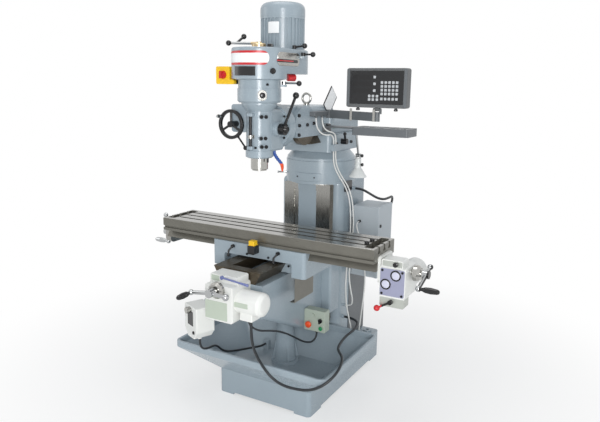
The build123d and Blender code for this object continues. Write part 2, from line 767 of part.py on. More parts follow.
STATION_SHAPE = ((0.0, 0.0, -30.0), (4.5, -31.3, -37.9), (18.9, -46.5, -36.8), (25.4, -43.8, -27.7),
                 (21.8, -29.1, -28.6), (10.3, -6.4, -39.5), (1.7, 18.4, -58.5), (-4.8, 37.1, -79.4),
                 (-6.4, 45.8, -94.3), (-1.9, 44.5, -93.2), (0.5, 27.3, -70.1), (0.0, 0.0, -27.0))
SIGNAL_SHAPE = ((0.0, -30.0, 0.0), (17.8, -58.6, 37.4), (42.5, -69.2, 51.8), (65.2, -67.8, 40.2),
                (84.0, -63.3, 12.7), (95.8, -59.9, -6.9), (95.5, -59.5, -42.5), (90.2, -58.1, -70.1),
                (83.0, -52.7, -85.7), (77.8, -43.2, -87.2), (68.5, -25.8, -74.8), (53.2, -10.4, -46.4),
                (28.0, 0.0, 0.0))
SUPPLY_SHAPE = ((40.0, 0.0, 0.0), (73.8, -16.8, 2.0), (99.5, -9.5, -2.0),
                (107.2, 19.8, 8.0), (101.0, 62.0, 32.0), (82.8, 118.2, 56.0), (56.5, 135.0, 42.5),
                (28.2, 114.2, 13.5), (0.0, 56.0, 0.0))
FRONT_SHAPE = ((0.0, 0.0, -40.5), (2.3, -1.9, -10.8), (20.6, 8.3, 13.0), (48.9, 21.4, 34.8),
               (67.1, 25.6, 40.5), (71.4, 22.7, 23.2), (68.7, 16.9, -4.0), (59.0, 9.0, -31.2),
               (44.3, 1.1, -63.5), (37.6, -5.7, -90.8), (40.9, -10.6, -113.0), (53.1, -13.4, -117.2),
               (59.4, -10.3, -95.5), (51.7, -1.1, -55.8), (26.0, 0.0, 0.0))
REAR_SHAPE = ((0.0, 0.0, -40.5), (4.0, -1.7, -17.8), (25.0, 4.6, -1.2), (56.0, 16.9, 13.5),
              (74.0, 21.2, 12.1), (79.0, 19.5, -12.2), (76.0, 14.8, -41.6), (66.0, 9.2, -70.9),
              (52.0, 2.5, -95.3), (48.0, -2.2, -109.6), (55.0, -4.9, -106.0), (60.0, -3.6, -87.3),
              (52.0, -0.3, -52.7), (26.0, 0.0, 0.0))
LONG_SHAPE = ((0.0, 0.0, -27.0), (-3.0, -11.2, -33.6), (2.0, -13.3, -34.2), (11.0, -7.5, -19.8),
              (14.0, 2.3, 6.7), (8.0, 6.2, 21.1), (0.0, 0.0, 23.5))
SHORT_SHAPE = ((0.0, 0.0, -27.0), (-1.0, -5.8, -30.6), (6.0, -6.7, -24.2), (15.0, -1.5, -5.8),
               (16.0, 5.7, 10.7), (9.0, 6.8, 17.1), (0.0, 0.0, 20.5))

# Levels, widths and places worked out from the sizes above
LEAN = math.tan(math.radians(DOVETAIL_LEAN))
FLANK_SIDE = FLANK_GAP / math.cos(math.radians(DOVETAIL_LEAN))

PAN_FLOOR_Z = FOOT_HEIGHT
FOOT_POCKET_Z = FOOT_HEIGHT - FOOT_ROOF
FOOT_FRONT_Y = -FOOT_LENGTH / 2
PAN_FRONT_Y = FOOT_FRONT_Y - PAN_OVERHANG
PAN_RIM_Z = FOOT_HEIGHT + PAN_DEPTH
PAN_LIP_Z = PAN_RIM_Z - PAN_LIP
HOPPER_START_Z = FOOT_HEIGHT - HOPPER_DROP
HOPPER_REAR_Y = FOOT_FRONT_Y + HOPPER_LENGTH
ANCHOR_SPAN_X = FOOT_WIDTH - 2 * ANCHOR_INSET_X
ANCHOR_SPAN_Y = FOOT_LENGTH - 2 * ANCHOR_INSET_Y

COLUMN_TOP_Z = FOOT_HEIGHT + COLUMN_HEIGHT
COLUMN_FRONT_Y = WAY_DEPTH - WAY_ROOT
COLUMN_MID_Y = COLUMN_FRONT_Y + COLUMN_DEPTH / 2
COLUMN_SIDE_X = COLUMN_WIDTH / 2
WAY_LOW_Z = FOOT_HEIGHT + WAY_START
WAY_TOP_Z = COLUMN_TOP_Z - WAY_TOP_MARGIN
NECK_TOP_Z = COLUMN_TOP_Z + NECK_HEIGHT
TURRET_Y = COLUMN_FRONT_Y + NECK_SETBACK
GLAND_END_X = COLUMN_SIDE_X + GLAND_LENGTH

KNEE_TOP_Z = FOOT_HEIGHT + KNEE_LIFT
KNEE_FRONT_Y = -KNEE_LENGTH
KNEE_REAR_LOW_Z = KNEE_TOP_Z - KNEE_REAR_DEPTH
KNEE_BELLY_Z = KNEE_TOP_Z - KNEE_BELLY_DEPTH
KNEE_NOSE_Z = KNEE_TOP_Z - KNEE_NOSE_DEPTH
JAW_TOP_Z = KNEE_TOP_Z + JAW_HEIGHT
RAIL_TOP_Z = KNEE_TOP_Z + RAIL_HEIGHT
TROUGH_FLOOR_Z = KNEE_TOP_Z - TROUGH_DEPTH
TROUGH_FRONT_Y = KNEE_FRONT_Y + TROUGH_FRONT_WALL
ELEVATING_Y = -ELEVATING_REACH
ELEVATING_LOW_Z = FOOT_HEIGHT - ELEVATING_SUMP
PEDESTAL_TOP_Z = FOOT_HEIGHT + PEDESTAL_HEIGHT
KNEE_CAVITY_TOP_Z = KNEE_TOP_Z - KNEE_CAVITY_ROOF
JOURNAL_TOP_Z = KNEE_CAVITY_TOP_Z + JOURNAL_LENGTH
KNEE_SHAFT_Z = KNEE_TOP_Z - KNEE_SHAFT_DROP
GEAR_LOW_Z = KNEE_SHAFT_Z - GEAR_DROP
SHAFT_TURN = math.radians(KNEE_SHAFT_ANGLE)
KNEE_SHAFT_DIR = (-math.sin(SHAFT_TURN), -math.cos(SHAFT_TURN), 0)
KNEE_BOSS_END = (KNEE_LENGTH - ELEVATING_REACH - KNEE_BOSS_SETBACK) / math.cos(SHAFT_TURN)

CROSS_SCREW_Z = KNEE_TOP_Z + CROSS_SCREW_RISE
CROSS_BOX_LOW_Z = KNEE_TOP_Z - CROSS_BOX_DROP
CROSS_BOX_TOP_Z = CROSS_BOX_LOW_Z + CROSS_BOX_HEIGHT
CROSS_BOX_FRONT_Y = KNEE_FRONT_Y - CROSS_BOX_DEPTH
CROSS_HEAD_TOP_Z = CROSS_BOX_TOP_Z + CROSS_HEAD_HEIGHT
CROSS_HEAD_FRONT_Y = KNEE_FRONT_Y - CROSS_HEAD_DEPTH
CROSS_MOTOR_Y = KNEE_FRONT_Y - CROSS_MOTOR_REACH
CROSS_MOTOR_Z = CROSS_BOX_LOW_Z + CROSS_MOTOR_RISE
CROSS_MOTOR_END_X = CROSS_BOX_WIDTH / 2 + CROSS_MOTOR_LENGTH
CROSS_TERMINAL_X = CROSS_BOX_WIDTH / 2 + CROSS_TERMINAL_GAP
CROSS_TERMINAL_Z = CROSS_MOTOR_Z - CROSS_TERMINAL_DROP
CROSS_LEVER_Z = CROSS_HEAD_TOP_Z - CROSS_LEVER_INSET
CROSS_DIAL_Y = CROSS_BOX_FRONT_Y - CROSS_DIAL_GAP
CROSS_CRANK_Y = CROSS_DIAL_Y - CROSS_CRANK_GAP
STATION_X = KNEE_WIDTH / 2
STATION_FRONT_Y = -STATION_REACH
STATION_LOW_Z = KNEE_TOP_Z - STATION_DROP

SADDLE_LOW_Z = KNEE_TOP_Z + SADDLE_CLEARANCE
SADDLE_FRONT_Y = TABLE_Y - SADDLE_FRONT_REACH
SADDLE_REAR_Y = TABLE_Y + SADDLE_REAR_REACH
SADDLE_ARCH_TOP_Z = SADDLE_LOW_Z + SADDLE_ARCH_HEIGHT
SADDLE_CEILING_Z = RAIL_TOP_Z + SLIDE_GAP
CROSS_NUT_REAR_Y = SADDLE_REAR_Y - CROSS_NUT_INSET
LIMIT_LOW_Z = SADDLE_LOW_Z + LIMIT_RISE
LOCK_Z = SADDLE_LOW_Z + LOCK_RISE

TABLE_CHANNEL_Z = SADDLE_CEILING_Z + SADDLE_WEB
TABLE_TAIL_Z = TABLE_CHANNEL_Z + NEAR_GAP
TABLE_LOW_Z = TABLE_TAIL_Z + TABLE_DOVETAIL_DEPTH
TABLE_TOP_Z = TABLE_LOW_Z + TABLE_THICK
SADDLE_TOP_Z = TABLE_LOW_Z - SLIDE_GAP
TABLE_SCREW_Z = TABLE_CHANNEL_Z
TABLE_FRONT_Y = TABLE_Y - TABLE_WIDTH / 2
TABLE_REAR_Y = TABLE_Y + TABLE_WIDTH / 2
TABLE_END_X = TABLE_LENGTH / 2
TABLE_NECK = TABLE_NECK_WIDTH / 2
TABLE_TAIL = TABLE_NECK + TABLE_DOVETAIL_DEPTH * LEAN
BRACKET_X = -TABLE_END_X - BRACKET_THICK
FEED_PLATE_X = TABLE_END_X
FEED_BOX_X = FEED_PLATE_X + FEED_PLATE_THICK
FEED_BOX_END_X = FEED_BOX_X + FEED_BOX_LENGTH
FEED_BOX_FRONT_Y = TABLE_Y - FEED_BOX_WIDTH / 2
FEED_BOX_REAR_Y = TABLE_Y + FEED_BOX_WIDTH / 2
FEED_BOX_LOW_Z = TABLE_SCREW_Z - FEED_BOX_DROP
FEED_BOX_TOP_Z = TABLE_SCREW_Z + FEED_BOX_RISE
FEED_HEAD_TOP_Z = FEED_BOX_TOP_Z + FEED_HEAD_HEIGHT
FEED_FOOT_LOW_Z = FEED_BOX_LOW_Z - FEED_FOOT_HEIGHT
FEED_FOOT_FRONT_Y = FEED_BOX_FRONT_Y - FEED_FOOT_STEP
FEED_MOTOR_X = FEED_BOX_X + FEED_MOTOR_INSET
FEED_MOTOR_Z = TABLE_SCREW_Z - FEED_MOTOR_DROP
FEED_MOTOR_REAR_Y = FEED_BOX_REAR_Y + FEED_MOTOR_LENGTH
FEED_LEVER_X = FEED_BOX_X + FEED_LEVER_INSET
FEED_LEVER_Z = TABLE_SCREW_Z - FEED_LEVER_DROP
LEFT_DIAL_X = BRACKET_X - LEFT_DIAL_GAP
LEFT_CRANK_X = LEFT_DIAL_X - LEFT_CRANK_GAP
RIGHT_DIAL_X = FEED_BOX_END_X + RIGHT_DIAL_GAP
RIGHT_CRANK_X = RIGHT_DIAL_X + RIGHT_CRANK_GAP

CABINET_X = COLUMN_SIDE_X + CABINET_STANDOFF
CABINET_OPEN_X = CABINET_X + CABINET_DEPTH
CABINET_FRONT_Y = COLUMN_FRONT_Y + CABINET_SETBACK
CABINET_REAR_Y = CABINET_FRONT_Y + CABINET_WIDTH
CABINET_LOW_Z = FOOT_HEIGHT + CABINET_RISE
CABINET_TOP_Z = CABINET_LOW_Z + CABINET_HEIGHT
SIDE_GLAND_X = CABINET_X + CABINET_SIDE_GLAND[0]
SIDE_GLAND_Z = CABINET_LOW_Z + CABINET_SIDE_GLAND[1]
REAR_GLAND_X = CABINET_X + CABINET_REAR_GLAND[0]
REAR_GLAND_Z = CABINET_TOP_Z - CABINET_REAR_GLAND[1]
DOOR_X = CABINET_OPEN_X + DOOR_GAP
DOOR_HINGE_X = DOOR_X + DOOR_HINGE_INSET
DOOR_HINGE_Y = CABINET_REAR_Y + DOOR_LAP
DOOR_HINGE_LOWS = (CABINET_LOW_Z + DOOR_HINGE_MARGIN, CABINET_TOP_Z - DOOR_HINGE_MARGIN - DOOR_HINGE_LENGTH)

TURRET_LOW_Z = NECK_TOP_Z + SLIDE_GAP
TURRET_DECK_LOW_Z = TURRET_LOW_Z + TURRET_CONE
TURRET_FRONT_Y = TURRET_Y - TURRET_LENGTH / 2
TURRET_REAR_Y = TURRET_Y + TURRET_LENGTH / 2
RAM_SLOT_Z = TURRET_DECK_LOW_Z + TURRET_DECK
RAM_TAIL_Z = RAM_SLOT_Z + SLIDE_GAP
JAW_LEVEL_Z = RAM_SLOT_Z + RAM_SLIDE_DEPTH - SLIDE_GAP
RAM_LOW_Z = RAM_TAIL_Z + RAM_SLIDE_DEPTH
RAM_TOP_Z = RAM_LOW_Z + RAM_HEIGHT
RAM_SIDE_X = RAM_WIDTH / 2
RAM_REAR_Y = TURRET_Y + RAM_TAIL
RAM_BACK_Y = TURRET_Y - RAM_BACK_REACH
RAM_BACK_Z = RAM_TOP_Z - RAM_BACK_DROP
FORK_INNER_X = RAM_SIDE_X - CHEEK_THICK
CLAMP_LOW_Z = TURRET_DECK_LOW_Z + CLAMP_LOW_GAP
CLAMP_TOP_Z = RAM_SLOT_Z - CLAMP_TOP_GAP
RAM_HANDLE_Y = TURRET_Y - RAM_HANDLE_REACH
RAM_HANDLE_Z = RAM_SLOT_Z
NOD_Y = TURRET_Y - RAM_REACH
JUNCTION_LOW_Z = RAM_LOW_Z + JUNCTION_RISE
JUNCTION_X = RAM_SIDE_X + JUNCTION_GLAND_X
EYE_Y = NOD_Y + EYE_REACH

HEAD_AXIS_Z = RAM_LOW_Z + NOD_RISE
SWIVEL_Y = NOD_Y - SWIVEL_REACH
SPINDLE_Y = SWIVEL_Y - SPINDLE_REACH
QUILL_LOW_Z = HEAD_AXIS_Z - QUILL_DROP
QUILL_TOP_Z = QUILL_LOW_Z + QUILL_LENGTH
BARREL_LOW_Z = HEAD_AXIS_Z - BARREL_DROP
BARREL_TOP_Z = BARREL_LOW_Z + BARREL_LENGTH
REAR_BLOCK_LOW_Z = BARREL_LOW_Z + REAR_BLOCK_RISE
GEAR_CASE_LOW_Z = BARREL_TOP_Z + BARREL_NECK
GEAR_CASE_TOP_Z = GEAR_CASE_LOW_Z + GEAR_CASE_HEIGHT
BELT_LOW_Z = GEAR_CASE_TOP_Z + COLLAR_HEIGHT
BELT_REAR_LOW_Z = BELT_LOW_Z + BELT_STEP
BELT_TOP_Z = BELT_LOW_Z + BELT_HEIGHT
MOTOR_Y = SPINDLE_Y + MOTOR_REACH
MOTOR_TOP_Z = BELT_TOP_Z + MOTOR_HEIGHT
FAN_TOP_Z = MOTOR_TOP_Z + FAN_HEIGHT
SPINDLE_NOSE_Z = QUILL_LOW_Z - SPINDLE_NOSE_HEIGHT
SPINDLE_TOP_Z = GEAR_CASE_LOW_Z - SPINDLE_TAIL_GAP
PINION_BOSS_Y = SPINDLE_Y + PINION_BOSS_REACH
PINION_BOSS_Z = HEAD_AXIS_Z - PINION_BOSS_DROP
FEED_CASE_FRONT_Y = SPINDLE_Y - FEED_CASE_FRONT
WHEEL_Y = SPINDLE_Y - WHEEL_FRONT
WHEEL_Z = HEAD_AXIS_Z + WHEEL_RISE
TRIP_Z = BARREL_LOW_Z + TRIP_RISE
TRIP_FACE_Y = SPINDLE_Y - TRIP_FRONT
STOP_ROD_Y = SPINDLE_Y - STOP_ROD_FRONT
BRAKE_X = BELT_REAR_RADIUS + BRAKE_OUT
BRAKE_Y = MOTOR_Y - BRAKE_FORWARD
BRAKE_Z = BELT_TOP_Z - BRAKE_DROP
RANGE_Y = SPINDLE_Y + RANGE_REACH
RANGE_Z = GEAR_CASE_TOP_Z + RANGE_RISE
MOTOR_LOCK_Y = MOTOR_Y - MOTOR_LOCK_FORWARD
SPEED_Y = SPINDLE_Y - SPEED_FORWARD
SWITCH_FRONT_Y = SPINDLE_Y - SWITCH_FRONT
SWITCH_REAR_Y = SWITCH_FRONT_Y + SWITCH_DEPTH
SWITCH_LEFT_X = -BELT_FRONT_RADIUS - SWITCH_OUT
SWITCH_LOW_Z = BELT_LOW_Z - SWITCH_DROP
SWITCH_KNOB_X = SWITCH_LEFT_X + SWITCH_KNOB_INSET
SWITCH_KNOB_Z = SWITCH_LOW_Z + SWITCH_KNOB_RISE
HOSE_Y = SPINDLE_Y + HOSE_REACH

READOUT_PIVOT_X = RAM_SIDE_X + READOUT_LUG_OUT
READOUT_PIVOT_Y = TURRET_Y - READOUT_PIVOT_FORWARD
READOUT_ARM_LOW_Z = RAM_LOW_Z + READOUT_ARM_RISE
READOUT_LUG_Z = READOUT_ARM_LOW_Z - SLIDE_GAP
READOUT_X = READOUT_PIVOT_X + READOUT_ARM_SPAN[0]
READOUT_Y = READOUT_PIVOT_Y + READOUT_ARM_SPAN[1]
READOUT_LOW_Z = READOUT_ARM_LOW_Z + READOUT_RISE
READOUT_HINGE_Z = READOUT_LOW_Z - READOUT_HINGE_DROP
TRAY_X = RAM_SIDE_X + TRAY_OUT
TRAY_FRONT_Y = TRAY_REAR_Y - TRAY_WIDTH
TRAY_TOP_Z = RAM_LOW_Z + TRAY_RISE
TRAY_BRACKET_Z = TRAY_TOP_Z - TRAY_BRACKET_DROP
LAMP_X = RAM_SIDE_X + LAMP_OUT
LAMP_PIVOT = (LAMP_PIVOT_Y, TRAY_BRACKET_Z - LAMP_PIVOT_DROP)
LAMP_ELBOW = (LAMP_PIVOT[0] + LAMP_LINK[0], LAMP_PIVOT[1] + LAMP_LINK[1])
LAMP_RIM_Z = LAMP_ELBOW[1] - LAMP_DROP

CENTRE_LOW = (Align.CENTER, Align.CENTER, Align.MIN)


def rod(start, end, radius, end_radius=None, mode=Mode.ADD):
    """Add a round bar between two points, tapered when an end radius is given."""
    origin = Vector(*start)
    span = Vector(*end) - origin
    with Locations(Plane(origin=origin, z_dir=span)):
        if end_radius is None:
            Cylinder(radius, span.length, align=CENTRE_LOW, mode=mode)
        else:
            Cone(radius, end_radius, span.length, align=CENTRE_LOW, mode=mode)


def ball(centre, radius):
    """Add a ball."""
    with Locations(centre):
        Sphere(radius)


def knobbed_bar(start, end, radius, knob_radius, end_radius=None):
    """Add a bar with a ball on its far end; the ball's poles lie along the bar."""
    rod(start, end, radius, end_radius)
    with Locations(Plane(origin=end, z_dir=Vector(*end) - Vector(*start))):
        Sphere(knob_radius)


def shifted(point, offset):
    """A point moved by an offset."""
    return tuple(a + b for a, b in zip(point, offset))


def block(low, high, mode=Mode.ADD):
    """Add a block between two corners."""
    middle = [(a + b) / 2 for a, b in zip(low, high)]
    with Locations(tuple(middle)):
        Box(high[0] - low[0], high[1] - low[1], high[2] - low[2], mode=mode)


def rounded_block(low, high, radius, along="Z", mode=Mode.ADD):
    """Add a block between two corners whose four edges along one axis are rounded."""
    middle = [(a + b) / 2 for a, b in zip(low, high)]
    size = [b - a for a, b in zip(low, high)]
    if along == "X":
        plane = Plane(origin=(low[0], middle[1], middle[2]), x_dir=(0, 1, 0), z_dir=(1, 0, 0))
        width, height, length = size[1], size[2], size[0]
    elif along == "Y":
        plane = Plane(origin=(middle[0], high[1], middle[2]), x_dir=(1, 0, 0), z_dir=(0, -1, 0))
        width, height, length = size[0], size[2], size[1]
    else:
        plane = Plane(origin=(middle[0], middle[1], low[2]))
        width, height, length = size[0], size[1], size[2]
    with BuildSketch(plane) as outline:
        RectangleRounded(width, height, radius)
    extrude(outline.sketch, amount=length, mode=mode)


def turned(points, origin, along):
    """Add a turned solid from (radius, distance along the axis) pairs."""
    axis = Vector(*along).normalized()
    side = Vector(0, 0, 1) if abs(axis.Z) < 0.9 else Vector(1, 0, 0)
    with BuildSketch(Plane(origin=origin, x_dir=side, z_dir=side.cross(axis))) as half:
        with BuildLine():
            Polyline(*points, close=True)
        make_face()
    revolve(half.sketch, axis=Axis(origin, axis))


def bars(profile, plane, length, mode=Mode.ADD):
    """Extrude a straight-sided profile from a plane."""
    with BuildSketch(plane) as outline:
        with BuildLine():
            Polyline(*profile, close=True)
        make_face()
    extrude(outline.sketch, amount=length, mode=mode)


def dovetail(wide, depth):
    """Half widths of a dovetail at its wide end and at its narrow end."""
    return wide / 2, wide / 2 - depth * LEAN


def motor_outline(start, end, radius):
    """Half section of a feed motor: a straight body with a domed end."""
    dome = [(radius - inset, end - back) for inset, back in MOTOR_DOME]
    return [(0, start), (radius, start), *dome, (0, end)]


def shaft_point(distance):
    """Point on the knee shaft's axis, measured from the elevating screw."""
    return (KNEE_SHAFT_DIR[0] * distance, ELEVATING_Y + KNEE_SHAFT_DIR[1] * distance, KNEE_SHAFT_Z)


def route(start, end, shape):
    """A cord's points: its ends and, between them, offsets from evenly spaced places on the straight line."""
    last = len(shape) - 1
    points = [start]
    for index, offset in enumerate(shape):
        place = [a + (b - a) * index / last for a, b in zip(start, end)]
        points.append(shifted(place, offset))
    points.append(end)
    return points


def bend_radii(points):
    """Bend radius at each inner point of a cord's route, as large as its shorter run allows."""
    radii = []
    for before, corner, after in zip(points, points[1:], points[2:]):
        first = Vector(*corner) - Vector(*before)
        second = Vector(*after) - Vector(*corner)
        half_turn = math.radians(first.get_angle(second)) / 2
        radii.append(0.45 * min(first.length, second.length) / math.tan(half_turn))
    return radii


def cord(name, points, diameter):
    """Add a cord of straight runs and tangent arcs, and print its length, tightest bend and volume ratio."""
    radii = bend_radii(points)
    with BuildLine() as line:
        FilletPolyline(*points, radius=radii)
    start = Plane(origin=points[0], z_dir=line.line % 0)
    with BuildSketch(start) as section:
        Circle(diameter / 2)
    swept = sweep(section.sketch, path=line.line)
    length = sum(edge.length for edge in line.edges())
    ratio = swept.volume / (math.pi * diameter ** 2 / 4 * length)
    print(name, "length", round(length), "tightest bend", round(min(radii), 1), "volume", round(ratio, 4))


# Base casting: foot block with toes, sloped chip pan with a straight lip, anchor bosses, cable inlet
with BuildPart() as base_casting:
    hopper_y = (HOPPER_REAR_Y + FOOT_FRONT_Y) / 2
    pan_y = (PAN_REAR_Y + PAN_FRONT_Y) / 2
    pan_length = PAN_REAR_Y - PAN_FRONT_Y
    with BuildSketch():
        RectangleRounded(FOOT_WIDTH, FOOT_LENGTH, FOOT_CORNER)
    extrude(amount=FOOT_HEIGHT)
    with BuildSketch(Plane.XY.offset(HOPPER_START_Z)):
        with Locations((0, hopper_y)):
            RectangleRounded(FOOT_WIDTH, HOPPER_LENGTH, FOOT_CORNER)
    with BuildSketch(Plane.XY.offset(PAN_LIP_Z)):
        with Locations((0, pan_y)):
            RectangleRounded(PAN_WIDTH, pan_length, PAN_CORNER)
    loft()
    rounded_block((-PAN_WIDTH / 2, PAN_FRONT_Y, PAN_LIP_Z), (PAN_WIDTH / 2, PAN_REAR_Y, PAN_RIM_Z),
                  PAN_CORNER)
    with BuildSketch(Plane.XY.offset(PAN_FLOOR_Z)):
        with Locations((0, hopper_y)):
            RectangleRounded(FOOT_WIDTH - 2 * PAN_RIM_RADIUS, HOPPER_LENGTH - 2 * PAN_RIM_RADIUS,
                             FOOT_CORNER - PAN_RIM_RADIUS)
    with BuildSketch(Plane.XY.offset(PAN_LIP_Z)):
        with Locations((0, pan_y)):
            RectangleRounded(PAN_WIDTH - 2 * PAN_WALL, pan_length - 2 * PAN_WALL, PAN_CORNER - PAN_WALL)
    loft(mode=Mode.SUBTRACT)
    rounded_block((PAN_WALL - PAN_WIDTH / 2, PAN_FRONT_Y + PAN_WALL, PAN_LIP_Z),
                  (PAN_WIDTH / 2 - PAN_WALL, PAN_REAR_Y - PAN_WALL, PAN_RIM_Z),
                  PAN_CORNER - PAN_WALL, mode=Mode.SUBTRACT)
    fillet(base_casting.edges().group_by(Axis.Z)[-1], radius=PAN_RIM_RADIUS)
    with Locations((0, 0, FOOT_POCKET_Z / 2)):
        Box(FOOT_WIDTH - 2 * FOOT_WALL, FOOT_LENGTH - 2 * TOE_LENGTH, FOOT_POCKET_Z, mode=Mode.SUBTRACT)
        Box(FOOT_WIDTH - 2 * TOE_WIDTH - 2 * FOOT_WALL, FOOT_LENGTH - 2 * FOOT_WALL, FOOT_POCKET_Z,
            mode=Mode.SUBTRACT)
    with Locations((0, 0, TOE_HEIGHT / 2)):
        Box(FOOT_WIDTH, FOOT_LENGTH - 2 * TOE_LENGTH, TOE_HEIGHT, mode=Mode.SUBTRACT)
        Box(FOOT_WIDTH - 2 * TOE_WIDTH, FOOT_LENGTH, TOE_HEIGHT, mode=Mode.SUBTRACT)
    with Locations((0, 0, FOOT_HEIGHT)):
        with GridLocations(ANCHOR_SPAN_X, ANCHOR_SPAN_Y, 2, 2):
            Cylinder(ANCHOR_BOSS_RADIUS, ANCHOR_BOSS_HEIGHT, align=CENTRE_LOW)
    with Locations((0, 0, FOOT_HEIGHT)):
        with GridLocations(ANCHOR_SPAN_X, ANCHOR_SPAN_Y, 2, 2):
            Hole(ANCHOR_HOLE / 2)
    rod((0, ELEVATING_Y, FOOT_POCKET_Z), (0, ELEVATING_Y, PAN_FLOOR_Z), ELEVATING_RADIUS + SUMP_CLEARANCE,
        mode=Mode.SUBTRACT)
    rounded_block((INLET_X - INLET_WIDTH / 2, INLET_FRONT_Y, PAN_FLOOR_Z),
                  (INLET_X + INLET_WIDTH / 2, INLET_FRONT_Y + INLET_DEPTH, PAN_FLOOR_Z + INLET_HEIGHT),
                  INLET_CORNER)
base_casting.part.label = "base_casting"
export_step(base_casting.part, "parts/base_casting.step")

# Column: flanged body, dovetail ways on the front, round neck for the turret, hollow from below
way_wide, way_narrow = dovetail(WAY_WIDTH, WAY_DEPTH)
COLUMN_GLANDS = ((*COLUMN_FRONT_GLAND, CABLE), (*COLUMN_REAR_GLAND, CABLE), (*SIGNAL_GLAND, CABLE),
                 (*CROSS_GLAND, CONDUIT), (SUPPLY_GLAND_Y, COLUMN_HEIGHT - SUPPLY_GLAND_DROP, CONDUIT))
with BuildPart() as column_casting:
    with BuildSketch(Plane.XY.offset(FOOT_HEIGHT)):
        with Locations((0, COLUMN_MID_Y)):
            RectangleRounded(COLUMN_WIDTH, COLUMN_DEPTH, COLUMN_CORNER)
    extrude(amount=COLUMN_HEIGHT)
    fillet(column_casting.edges().group_by(Axis.Z)[-1], radius=COLUMN_TOP_RADIUS)
    with BuildSketch(Plane.XY.offset(FOOT_HEIGHT)):
        with Locations((0, COLUMN_MID_Y)):
            RectangleRounded(COLUMN_WIDTH + 2 * COLUMN_FLANGE, COLUMN_DEPTH + 2 * COLUMN_FLANGE,
                             COLUMN_CORNER + COLUMN_FLANGE)
    extrude(amount=COLUMN_FLANGE_THICK, taper=COLUMN_FLANGE_TAPER)
    bars(((-way_wide, 0), (way_wide, 0), (way_narrow, WAY_DEPTH), (-way_narrow, WAY_DEPTH)),
         Plane.XY.offset(WAY_LOW_Z), WAY_TOP_Z - WAY_LOW_Z)
    rod((0, TURRET_Y, WAY_TOP_Z), (0, TURRET_Y, NECK_TOP_Z), NECK_RADIUS)
    block((-WAY_RELIEF_WIDTH / 2, 0, WAY_LOW_Z + WAY_RELIEF_MARGIN),
          (WAY_RELIEF_WIDTH / 2, WAY_RELIEF_DEPTH, WAY_TOP_Z - WAY_RELIEF_MARGIN), mode=Mode.SUBTRACT)
    rounded_block((COLUMN_WALL - COLUMN_SIDE_X, COLUMN_FRONT_Y + COLUMN_WALL, FOOT_HEIGHT),
                  (COLUMN_SIDE_X - COLUMN_WALL, COLUMN_FRONT_Y + COLUMN_DEPTH - COLUMN_WALL,
                   COLUMN_TOP_Z - COLUMN_ROOF), COLUMN_CORE_RADIUS, mode=Mode.SUBTRACT)
    for gland_y, rise, bore in COLUMN_GLANDS:
        rod((COLUMN_SIDE_X - LAP, gland_y, FOOT_HEIGHT + rise), (GLAND_END_X, gland_y, FOOT_HEIGHT + rise),
            bore / 2 + GLAND_WALL)
column_casting.part.label = "column_casting"
export_step(column_casting.part, "parts/column_casting.step")

# Elevating pedestal: flanged ribbed tube that holds the elevating nut
with BuildPart() as elevating_pedestal:
    bore = ELEVATING_RADIUS + SHAFT_GAP
    nut_z = PEDESTAL_TOP_Z - PEDESTAL_NUT_HEIGHT
    flange_z = PAN_FLOOR_Z + PEDESTAL_FLANGE_THICK
    turned(((bore, PAN_FLOOR_Z), (PEDESTAL_FLANGE_RADIUS, PAN_FLOOR_Z), (PEDESTAL_FLANGE_RADIUS, flange_z),
            (PEDESTAL_LOW_RADIUS, flange_z), (PEDESTAL_HIGH_RADIUS, nut_z), (PEDESTAL_NUT_RADIUS, nut_z),
            (PEDESTAL_NUT_RADIUS, PEDESTAL_TOP_Z), (bore, PEDESTAL_TOP_Z)), (0, ELEVATING_Y, 0), (0, 0, 1))
    rib = ((PEDESTAL_HIGH_RADIUS, flange_z), (PEDESTAL_FLANGE_RADIUS - PEDESTAL_RIB_INSET, flange_z),
           (PEDESTAL_HIGH_RADIUS, nut_z - PEDESTAL_RIB_DROP))
    for angle in (45, 135, 225, 315):
        out = (math.cos(math.radians(angle)), math.sin(math.radians(angle)), 0)
        across = (out[1], -out[0], 0)
        middle = Plane(origin=(0, ELEVATING_Y, 0), x_dir=out, z_dir=across)
        bars(rib, middle.offset(-PEDESTAL_RIB_THICK / 2), PEDESTAL_RIB_THICK)
elevating_pedestal.part.label = "elevating_pedestal"
export_step(elevating_pedestal.part, "parts/elevating_pedestal.step")

# Elevating screw with its bevel gear and upper journal
with BuildPart() as elevating_screw:
    gear_z = GEAR_LOW_Z + GEAR_RIM
    turned(((0, ELEVATING_LOW_Z), (ELEVATING_RADIUS - SCREW_CHAMFER, ELEVATING_LOW_Z),
            (ELEVATING_RADIUS, ELEVATING_LOW_Z + SCREW_CHAMFER), (ELEVATING_RADIUS, GEAR_LOW_Z),
            (GEAR_RADIUS, GEAR_LOW_Z), (GEAR_RADIUS, gear_z), (GEAR_SMALL_RADIUS, gear_z + GEAR_CONE),
            (JOURNAL_RADIUS, gear_z + GEAR_CONE), (JOURNAL_RADIUS, JOURNAL_TOP_Z), (0, JOURNAL_TOP_Z)),
           (0, ELEVATING_Y, 0), (0, 0, 1))
elevating_screw.part.label = "elevating_screw"
export_step(elevating_screw.part, "parts/elevating_screw.step")

